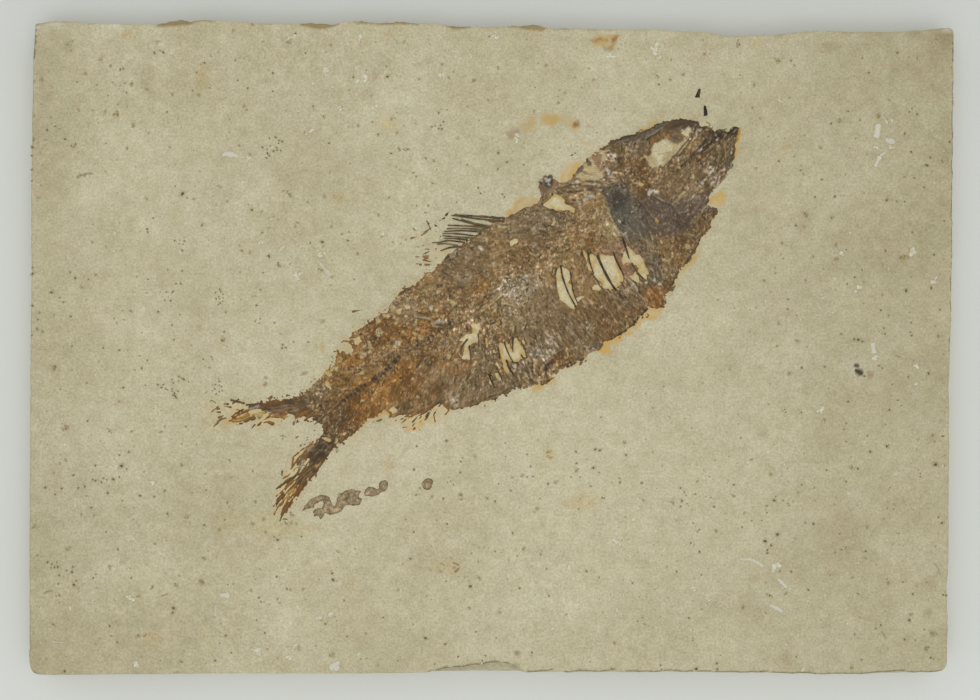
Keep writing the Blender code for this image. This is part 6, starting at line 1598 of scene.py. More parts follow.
FIN_STREAKS = [
    # anal fin
    ("umber", 0.36, [(27.0, -11.7), (24.6, -13.0), (22.0, -14.4), (20.0, -15.0)]),
    ("umber", 0.34, [(26.2, -13.6), (24.4, -14.2), (23.0, -14.9), (22.4, -16.4)]),
    ("dark", 0.34, [(25.8, -13.2), (23.4, -13.5), (21.4, -14.2)]),
    ("fox", 0.4, [(20.4, -13.2), (22.4, -13.4), (24.6, -13.1)]),
    ("rust", 0.3, [(26.6, -15.8), (25.2, -16.2)]), ("rust", 0.5, [(26.0, -14.4), (26.4, -15.6)]),
    ("umber", 0.34, [(15.4, -11.2), (17.0, -11.8), (18.6, -11.7)]),
    ("rust", 0.3, [(16.0, -12.5), (17.4, -12.3), (18.8, -12.6)]),
    ("umber", 0.34, [(18.4, -13.6), (20.4, -13.1)]),
    ("umber", 0.3, [(17.6, -14.3), (19.4, -14.0), (20.6, -13.6)]),
    ("rust", 0.3, [(15.9, -13.4), (16.7, -13.7)]),
    ("gold", 0.4, [(16.6, -15.3), (18.6, -15.0), (20.0, -14.4)]),
    ("rust", 0.4, [(17.2, -15.9), (18.8, -15.9)]), ("fox", 0.3, [(17.0, -15.1), (18.4, -14.8)]),
    ("umber", 0.3, [(16.4, -10.6), (17.6, -11.0)]),
    ("rust", 0.26, [(18.0, -12.0), (18.8, -12.4), (19.8, -12.6)]),
    # dorsal fin scraps
    ("gold", 0.5, [(39.8, 13.2), (40.8, 12.6), (41.8, 12.2)]), ("ochre", 0.5, [(40.4, 15.0), (41.6, 14.4)]),
    ("rust", 0.34, [(38.9, 16.0), (40.0, 15.2), (41.2, 14.0)]), ("gold", 0.4, [(42.2, 13.4), (43.2, 12.6)]),
    ("bark", 0.3, [(41.6, 16.2), (42.6, 15.4), (43.4, 14.6)]), ("rust", 0.3, [(38.2, 14.6), (39.2, 13.8)]),
    ("fox", 0.3, [(43.7, 14.8), (41.6, 15.3), (40.0, 15.5)]),
    ("fox", 0.34, [(43.9, 12.8), (43.1, 14.0), (42.5, 14.1)]),
    ("fox", 0.3, [(41.2, 13.0), (40.3, 14.1), (39.7, 14.6)]),
    ("rust", 0.26, [(41.2, 12.6), (40.4, 12.9), (39.8, 13.4)]),
    ("dark", 0.34, [(46.9, 19.9), (47.6, 19.5), (49.0, 19.4)]),
    ("dark", 0.5, [(49.6, 19.8), (50.7, 19.9), (50.6, 19.2)]),
    ("umber", 0.34, [(46.4, 19.2), (46.8, 18.4), (47.2, 17.3)]),
    ("umber", 0.3, [(46.9, 17.9), (46.6, 18.6)]), ("umber", 0.3, [(45.8, 18.0), (45.9, 17.4)]),
    ("umber", 0.32, [(46.0, 16.7), (46.1, 16.0)]),
    ("rose", 0.34, [(40.4, 19.8), (41.6, 19.4), (43.0, 19.0), (44.8, 19.3)]),
    ("umber", 0.3, [(45.0, 19.0), (45.2, 19.8), (45.4, 21.0)]),
    ("umber", 0.22, [(45.0, 20.4), (45.8, 20.2)]), ("rose", 0.2, [(42.2, 20.6), (42.0, 21.6)]),
    ("rose", 0.2, [(43.0, 21.4), (43.8, 21.0), (44.0, 21.8)]), ("rose", 0.2, [(42.8, 20.4), (43.6, 20.2)]),
    ("gold", 0.24, [(41.4, 17.4), (42.2, 16.4)]), ("rust", 0.24, [(39.6, 16.4), (39.8, 15.9)]),
    ("fox", 0.4, [(42.4, 12.9), (43.0, 13.2)]), ("dark", 0.34, [(42.8, 12.2), (45.0, 11.9)]),
    ("rust", 0.24, [(38.6, 13.8), (39.4, 13.5)]), ("rose", 0.2, [(36.4, 12.8), (38.6, 13.4)]),
    ("umber", 0.3, [(79.5, 15.2), (80.6, 15.1)]), ("fox", 0.42, [(21.0, 13.6), (22.8, 12.9)]),
    ("rust", 0.9, [(13.4, 8.4), (13.4, 7.6)]), ("rust", 0.5, [(15.0, 9.4), (15.8, 9.5), (16.4, 8.9)]),
    ("rust", 0.5, [(16.7, 8.6), (16.8, 7.4)]), ("rust", 0.4, [(18.7, 10.4), (18.4, 9.6)]),
    ("rust", 0.4, [(14.6, 6.6), (15.2, 5.8)]), ("fox", 0.5, [(31.6, 11.1), (32.2, 11.2)]),
    ("rust", 0.5, [(12.2, -9.2), (13.2, -9.4)]), ("rust", 0.3, [(14.6, -9.9), (15.4, -9.6)]),
    ("gold", 0.6, [(108.0, 4.8), (108.3, 4.2), (108.1, 3.7)]), ("bark", 0.34, [(108.4, 3.2), (108.0, 2.7)]),
]
RIB_BONES = [
    # (half width, points from the backbone down)
    (0.20, [(65.2, -5.6), (64.2, -7.6), (63.4, -9.2), (62.9, -10.8), (62.6, -12.3)]),
    (0.24, [(64.2, -3.3), (63.2, -5.4), (62.5, -7.8), (62.1, -10.0), (61.9, -12.4), (61.7, -13.6)]),
    (0.18, [(63.2, -3.2), (61.9, -4.6), (61.2, -5.8), (60.7, -6.7)]),
    (0.14, [(62.9, -2.7), (62.2, -3.2), (61.8, -3.9)]),
    (0.22, [(71.0, -3.8), (70.1, -5.6), (69.5, -7.4), (69.1, -9.0)]),
    (0.15, [(69.9, -2.8), (69.4, -4.4), (69.1, -5.6)]),
    (0.34, [(72.0, -6.0), (71.6, -8.0), (71.3, -10.2), (71.1, -12.4), (71.1, -14.2), (71.4, -17.2)]),
    (0.22, [(75.4, -7.2), (74.9, -8.8), (74.6, -10.6), (74.3, -13.4)]),
    (0.22, [(78.8, -5.6), (78.2, -7.6), (77.8, -9.2), (77.3, -10.6)]),
    (0.19, [(77.3, -11.6), (77.1, -13.4), (77.4, -15.4), (77.7, -17.2)]),
    (0.15, [(67.6, -7.6), (67.2, -9.0), (66.9, -11.4)]),
    (0.17, [(68.7, -8.4), (68.9, -10.4), (68.8, -13.2)]),
    (0.2, [(44.9, -9.6), (44.3, -11.4), (43.9, -13.6), (43.7, -15.8)]),
    (0.2, [(42.8, -10.2), (42.2, -11.8), (41.5, -13.4), (41.0, -15.0)]),
    (0.24, [(42.8, -13.8), (42.4, -15.6), (42.3, -17.8)]),
    (0.19, [(47.6, -10.8), (47.6, -13.0), (47.4, -14.6)]),
    (0.22, [(46.9, -10.3), (46.0, -11.6), (45.0, -13.1)]),
    (0.24, [(37.9, -14.2), (37.5, -16.2), (37.2, -18.0)]),
    (0.19, [(38.4, -5.3), (36.8, -5.9), (35.8, -6.6), (35.0, -7.6)]),
    (0.17, [(37.9, -6.6), (37.1, -8.2), (36.2, -9.8)]),
    (0.2, [(40.1, -14.0), (39.9, -15.4), (39.7, -16.8)]), (0.17, [(46.1, -14.6), (46.1, -15.9)]),
    (0.16, [(48.8, -12.0), (48.5, -13.4), (48.4, -14.6)]), (0.15, [(73.0, -13.6), (72.9, -15.2)]),
    (0.15, [(46.7, -5.4), (46.2, -6.8)]), (0.15, [(40.9, -5.6), (40.2, -7.0), (39.4, -8.2)]),
    (0.15, [(41.9, -6.6), (41.2, -7.8), (40.6, -9.0)]), (0.15, [(38.4, -13.6), (38.2, -15.4)]),
    (0.15, [(76.9, -7.4), (76.4, -9.2)]),
]
DORSAL_BONES = [
    [(59.8, 11.9), (55.2, 15.6), (51.0, 18.8)], [(59.4, 11.4), (55.4, 14.7), (50.5, 19.0)],
    [(56.8, 11.8), (54.2, 14.2), (51.8, 17.2)], [(56.0, 12.1), (53.4, 14.8), (50.3, 18.4)],
    [(55.6, 12.3), (52.4, 14.9), (48.6, 17.7)], [(55.0, 12.1), (51.6, 14.8), (48.0, 17.2)],
    [(54.0, 12.3), (50.6, 14.9), (47.2, 17.0)], [(52.5, 12.2), (49.4, 14.9), (46.7, 16.8)],
    [(51.6, 12.3), (48.8, 14.5), (46.4, 16.4)], [(50.5, 12.5), (48.4, 14.3), (46.3, 15.8)],
    [(49.7, 12.4), (46.9, 14.8), (45, 15.6), (43.7, 16.4)], [(48.0, 12.7), (46.0, 14.6), (44.4, 15.5)],
    [(48.4, 12.2), (46.2, 13.4), (44.2, 13.9)], [(57.6, 12.4), (56.4, 13.6)],
]


def fray_edges(canvas):
    """Bites out of the film's broken edge, and crumbs left standing beyond it."""
    bite = waves(canvas.u, canvas.v, 0.85, 401, 3, 0.9)
    reach = 0.5 + 0.8 * smooth(canvas.contrast, 0.5, 1.3)
    reach = reach * (1 - 0.6 * smooth(canvas.u, 84, 90) * smooth(canvas.v, 2, 5))
    near_edge = smooth(reach - canvas.field, 0, 0.6) * smooth(canvas.field, -1.0, 0.0)
    canvas.field -= 0.5 * near_edge * smooth(bite, 0.3, 1.5)
    loose = np.maximum(smooth(-canvas.u, -50, -30), smooth(-canvas.v, 10, 14) * smooth(-canvas.u, -92, -80))
    crumb = waves(canvas.u, canvas.v, 0.6, 411, 2, 0.8) - 1.4 - 1.6 * (1 - loose)
    canvas.field = np.maximum(canvas.field, np.minimum(0.2 * crumb, 0.4 * (canvas.field + 0.9)))


def fish_canvas():
    """The flattened fish: its shape with the flaked-off windows, then its colours from ground to detail."""
    canvas = Canvas(FILM_LOW, FILM_HIGH, FILM_PITCH, (0, 0, 0))
    canvas.paint[:] = read_washes(canvas, TONES, np.array([PIGMENT[t[3]] for t in TONES], float))
    canvas.contrast = read_washes(canvas, MOTTLING, np.array([t[3] for t in MOTTLING], float))
    canvas.add(FISH_OUTLINE)
    fray_edges(canvas)
    for outline in list(WINDOWS.values()) + FLAKED + BROKEN:
        canvas.cut(outline)
    for pigment, strength, soft, lift, outline in AREAS:
        canvas.area(outline, pigment, strength, soft, 1.2, lift)
    lay_down_texture(canvas)
    add_creases(canvas, CREASES, 3)
    for outline, turn, gap, seed, pigments in COMBED:
        canvas.comb(outline, turn, gap, seed, pigments)
    for pigment, strength, soft, lift, outline in CLEAR_AREAS:
        canvas.area(outline, pigment, strength, soft, 0.8, lift)
    reach = np.hypot(canvas.u - NODULE_CENTRE[0], canvas.v - NODULE_CENTRE[1]) / NODULE_RADIUS
    canvas.lift += NODULE_RISE * np.sqrt(np.clip(1 - reach ** 2, 0, 1)) * (1 + 0.1 * canvas.fray)
    for pigment, width, strength, lift, points in FILM_LINES:
        canvas.line(points, width, pigment, strength, lift, 0.25)
    add_midline_joints(canvas)
    add_belly_folds(canvas)
    for pigment, (strength, lift, places) in FLECKS.items():
        canvas.spots(places, pigment, strength, lift=lift)
    darken_rim(canvas)
    for pigment, width, points in TAIL_STREAKS + FIN_STREAKS:
        canvas.add_line(points, 0.8 * width, 0.9, 0.5)
        canvas.line(points, width + 0.3, pigment, 0.8, 0.03, 0.1, 0.2, 0.5)
        # Painted shade along the lower side of each streak, and a painted highlight along its upper side
        canvas.line([(u + 0.05, v - 0.1) for u, v in points], width * 0.3, "dark", 0.5, 0.0, 0.3, 0.1)
        canvas.line([(u, v + 0.14) for u, v in points], width * 0.2, "ochre", 0.35, 0.0, 0.3, 0.1)
    return canvas


def add_midline_joints(canvas):
    """The backbone: a row of dark beads with pale joints between them, thinner towards the head."""
    for k in range(BEADS):
        u = 8.6 + BEAD_GAP * k
        roll = lattice(np.array([k, k, k]), np.array([1, 2, 3]), 5)
        v = -1.25 + 0.9 * float(smooth(np.array([u]), 18, 24)[0]) + 0.1 * float(roll[0])
        size = (0.5 if k < 16 else 0.4) * (1 + 0.2 * float(roll[1]))
        canvas.line([(u - 0.5, v - 0.5), (u - 0.46, v + 0.5)], 0.2, "bone", 0.6, -0.06)
        if k % 3 != 2 or k < 12:
            canvas.spots([(u, v, size)], "ink", 0.85, 0.12, 0.12)
        canvas.spots([(u + 0.05, v + 0.12, 0.16)], "bone", 0.5 if k % 2 else 0.15, 0.1)
        if k % 2:
            canvas.line([(u, v + 0.4), (u - 0.7, v + 1.5 + 0.4 * float(roll[2]))], 0.2, "umber", 0.5, 0.02)
            canvas.line([(u, v - 0.4), (u - 0.6, v - 1.4)], 0.2, "umber", 0.45, 0.02)


def add_belly_folds(canvas):
    """The upright folds of the belly between the ribs and the scutes."""
    for k in range(FOLDS):
        u = 44.0 + FOLD_GAP * k + 0.4 * float(lattice(np.array([k]), np.array([7]), 8)[0])
        top = -13.6 - 1.6 * abs(float(lattice(np.array([k]), np.array([2]), 8)[0]))
        length = 3.0 + 3.6 * abs(float(lattice(np.array([k]), np.array([4]), 8)[0]))
        lean = 0.5 * float(lattice(np.array([k]), np.array([5]), 8)[0])
        pigment = ("dark", "umber", "bone", "dark", "taupe")[k % 5]
        canvas.line([(u, top), (u + lean, top - length)], 0.22, pigment, 0.55, 0.04 if k % 2 else -0.03)


def darken_rim(canvas):
    """The film's broken edge is a little darker, with a thin rusty line in places."""
    edge = smooth(0.42 - canvas.field, 0, 0.3) * smooth(canvas.field, -0.6, 0.0)
    where = smooth(waves(canvas.u, canvas.v, 2.4, 151, 2), -0.4, 1.0)
    part = (slice(None), slice(None))
    canvas.tint(part, 0.08 * edge * where, PIGMENT["dark"])
    canvas.tint(part, 0.12 * edge * (1 - where), PIGMENT["rust"])


def build_fish(finish, bone_finish):
    canvas = fish_canvas()
    film_piece("fossil_fish_film", canvas, on_slab, 0.2, FILM_ROOT,
               "fossil_fish", finish, {"lay": canvas.lay})
    ribs = [(line, half, 0.12, "dark" if half > 0.19 else "umber") for half, line in RIB_BONES]
    strands("fossil_fish_ribs", ribs, "fossil_fish", bone_finish)
    rays = [
        (line, 0.30 if i < 2 else 0.24, 0.10, ("umber", "peat", "hazel")[i % 3])
        for i, line in enumerate(DORSAL_BONES)
    ]
    strands("fossil_fish_dorsal_rays", rays, "fossil_fish", bone_finish)


# ---------------------------------------------------------------- the other fossils

# Other fossils on the same bedding plane, in the fish's frame
COPROLITE_COIL = [
    (-12.6, -16.2), (-11.2, -15.7), (-9.8, -15.2), (-8.0, -15.4), (-6.8, -15.9), (-5.8, -17.0),
    (-6.1, -18.0), (-5.6, -18.9), (-4.8, -18.3), (-3.6, -17.5), (-2.0, -17.8), (-0.9, -18.3), (-0.1, -19.3),
    (0.5, -19.8), (-0.4, -20.3), (-0.5, -21.3), (-1.3, -22.1), (-2.2, -21.9), (-3.0, -21.0), (-4.0, -20.5),
    (-4.8, -21.0), (-6.0, -21.0), (-7.4, -20.4), (-8.3, -20.0), (-8.6, -19.3), (-10.2, -20.0),
    (-10.0, -19.2), (-10.9, -18.5), (-10.6, -17.8), (-9.4, -17.8), (-8.4, -18.2), (-7.5, -17.7),
    (-7.5, -16.7), (-8.6, -16.5), (-10.0, -16.6), (-11.2, -16.3),
]
COPROLITE_TAIL = [
    (0.9, -20.5), (1.5, -19.9), (2.5, -19.9), (3.3, -20.5), (3.6, -21.4), (4.3, -21.5), (4.7, -20.8),
    (5.6, -20.6), (6.3, -20.8), (6.5, -21.5), (6.0, -22.3), (5.1, -22.8), (4.0, -22.6), (2.9, -22.4),
    (1.6, -22.0), (0.9, -21.2),
]
PELLET_CENTRE = (13.5, -26.6)
PELLET_RADIUS = 1.25
PELLET_SIDES = 18
UPPER_FLAKE = [(108.9, 10.7), (109.7, 10.0), (110.2, 10.6), (111.0, 11.5), (110.6, 11.8), (109.8, 11.2)]
LOWER_FLAKE = [(108.2, 6.2), (108.9, 5.8), (109.4, 6.5), (109.9, 7.9), (109.5, 8.1), (108.8, 7.1)]

# Thick and thin places of the coprolites: (u, v, radius, lift)
COIL_LUMPS = [
    (-11.0, -15.9, 0.5, 0.10), (-9.9, -15.7, 0.5, 0.14), (-9.0, -15.9, 0.55, 0.16),
    (-8.2, -15.7, 0.5, 0.14), (-7.0, -16.2, 0.6, 0.18), (-6.4, -16.9, 0.55, 0.20),
    (-6.9, -17.8, 0.55, 0.18), (-7.8, -18.3, 0.7, 0.22), (-8.9, -18.8, 0.7, 0.20), (-9.9, -18.2, 0.5, 0.12),
    (-10.5, -18.2, 0.4, 0.10), (-10.1, -19.2, 0.5, 0.12), (-9.6, -19.6, 0.4, 0.10),
    (-7.2, -19.4, 0.8, 0.22), (-6.1, -20.2, 0.7, 0.18), (-5.0, -20.2, 0.6, 0.18), (-5.3, -18.9, 0.35, 0.10),
    (-4.4, -18.6, 0.5, 0.14), (-3.8, -17.9, 0.4, 0.14), (-2.4, -18.2, 0.6, 0.20), (-1.5, -18.4, 0.5, 0.16),
    (-3.6, -19.6, 0.6, 0.18), (-2.6, -19.4, 0.5, 0.08), (-3.0, -20.4, 0.5, 0.14), (-1.9, -21.4, 0.6, 0.18),
    (-1.1, -20.9, 0.5, 0.14), (-0.8, -19.6, 0.5, 0.12), (0.1, -19.7, 0.3, 0.08),
]
TAIL_LUMPS = [
    (1.6, -20.6, 0.8, 0.20), (2.5, -20.7, 0.7, 0.18), (2.9, -21.6, 0.5, 0.12), (3.6, -22.1, 0.5, 0.16),
    (4.6, -22.3, 0.5, 0.16), (5.6, -22.2, 0.5, 0.16), (6.1, -21.4, 0.4, 0.16), (5.4, -20.9, 0.4, 0.14),
    (2.3, -22.4, 0.35, 0.10),
]
PELLET_LUMPS = [(13.2, -26.3, 0.7, 0.16), (13.9, -26.9, 0.6, 0.14), (13.4, -27.0, 0.5, 0.12)]
# Paler hollows in the loops of the coil, and the light gap beside it
COIL_HOLLOWS = [
    (-9.9, -15.3, 0.30), (-8.9, -15.2, 0.22), (-3.2, -18.6, 0.34), (-2.5, -19.0, 0.28), (-1.6, -19.3, 0.30),
    (-2.2, -20.2, 0.28), (-1.5, -20.3, 0.26), (-3.7, -20.1, 0.20), (-0.9, -21.4, 0.25),
]


def dung_film(name, node, outline, lumps, hollows, gap, finish):
    """One lumpy coprolite: a film that rises over each lump, paler in the hollows and dark round its rim."""
    pts = np.array(outline)
    canvas = Canvas(tuple(pts.min(0) - 1.2), tuple(pts.max(0) + 1.2), 0.11, PIGMENT["dung"])
    canvas.rag *= 0.65 if hollows else 0.5
    canvas.add(outline)
    if gap:
        canvas.cut(gap)
    part = (slice(None), slice(None))
    for u, v, radius, lift in lumps:
        reach = np.hypot(canvas.u - u, canvas.v - v) / radius
        canvas.lift += lift * np.clip(1 - reach ** 2, 0, 1)
    grain_now = waves(canvas.u, canvas.v, 0.5, 171, 2)
    canvas.paint *= (1 + 0.13 * grain_now + 0.07 * waves(canvas.u, canvas.v, 1.2, 172))[..., None]
    wrinkle = np.abs(waves(canvas.u, canvas.v, 0.8, 175, 2))
    canvas.tint(part, 0.4 * smooth(0.2 - wrinkle, 0, 0.2), PIGMENT["hazel"])
    canvas.tint(part, 0.45 * smooth(waves(canvas.u, canvas.v, 0.7, 177, 2), 0.7, 1.5), PIGMENT["dun"])
    # Painted shade: darker where the film lies low between the lumps
    canvas.tint(part, 0.25 * smooth(0.2 - canvas.lift, 0, 0.2), PIGMENT["hazel"])
    canvas.spots(hollows, "cream", 0.6, 0.2, -0.12)
    canvas.tint(part, 0.75 * smooth(0.2 - canvas.field, 0.0, 0.16), PIGMENT["umber"])
    canvas.lift += 0.03 * grain_now
    film_piece(name, canvas, on_slab, 0.16, FILM_ROOT, node, finish)


def build_coprolites(finish):
    gap = [(-6.1, -18.1), (-5.6, -18.2), (-5.5, -19.0), (-5.9, -19.4), (-6.2, -18.8)]
    dung_film("coprolite_coil_lumps", "coprolite_coil",
              COPROLITE_COIL, COIL_LUMPS, COIL_HOLLOWS, gap, finish)
    dung_film("coprolite_tail_lumps", "coprolite_tail", COPROLITE_TAIL, TAIL_LUMPS, [], None, finish)
    ring = [
        (
            PELLET_CENTRE[0] + PELLET_RADIUS * (1 + 0.07 * math.sin(3 * a + 1)) * math.cos(a),
            PELLET_CENTRE[1] + PELLET_RADIUS * (1 + 0.07 * math.sin(3 * a + 1)) * math.sin(a),
        )
        for a in np.linspace(0, 2 * math.pi, PELLET_SIDES, endpoint=False)
    ]
    dung_film("coprolite_pellet_lump", "coprolite_pellet", ring, PELLET_LUMPS, [], None, finish)


def build_flakes(finish):
    """The two dark flakes of bone beyond the snout."""
    for name, node, outline in (
        ("bone_flake_upper_chip", "bone_flake_upper", UPPER_FLAKE),
        ("bone_flake_lower_chip", "bone_flake_lower", LOWER_FLAKE),
    ):
        pts = np.array(outline)
        canvas = Canvas(tuple(pts.min(0) - 1.0), tuple(pts.max(0) + 1.0), 0.1, PIGMENT["ink"])
        canvas.rag *= 0.3
        canvas.add(outline)
        canvas.paint *= (1 + 0.15 * waves(canvas.u, canvas.v, 0.6, 181, 2))[..., None]
        part = (slice(None), slice(None))
        canvas.tint(part, 0.4 * smooth(canvas.u + canvas.v, 119.5, 122.5), PIGMENT["hazel"])
        canvas.lift += 0.05 * waves(canvas.u, canvas.v, 0.8, 182)
        film_piece(name, canvas, on_slab, 0.2, FILM_ROOT, node, finish)


# ---------------------------------------------------------------- marks on the stone

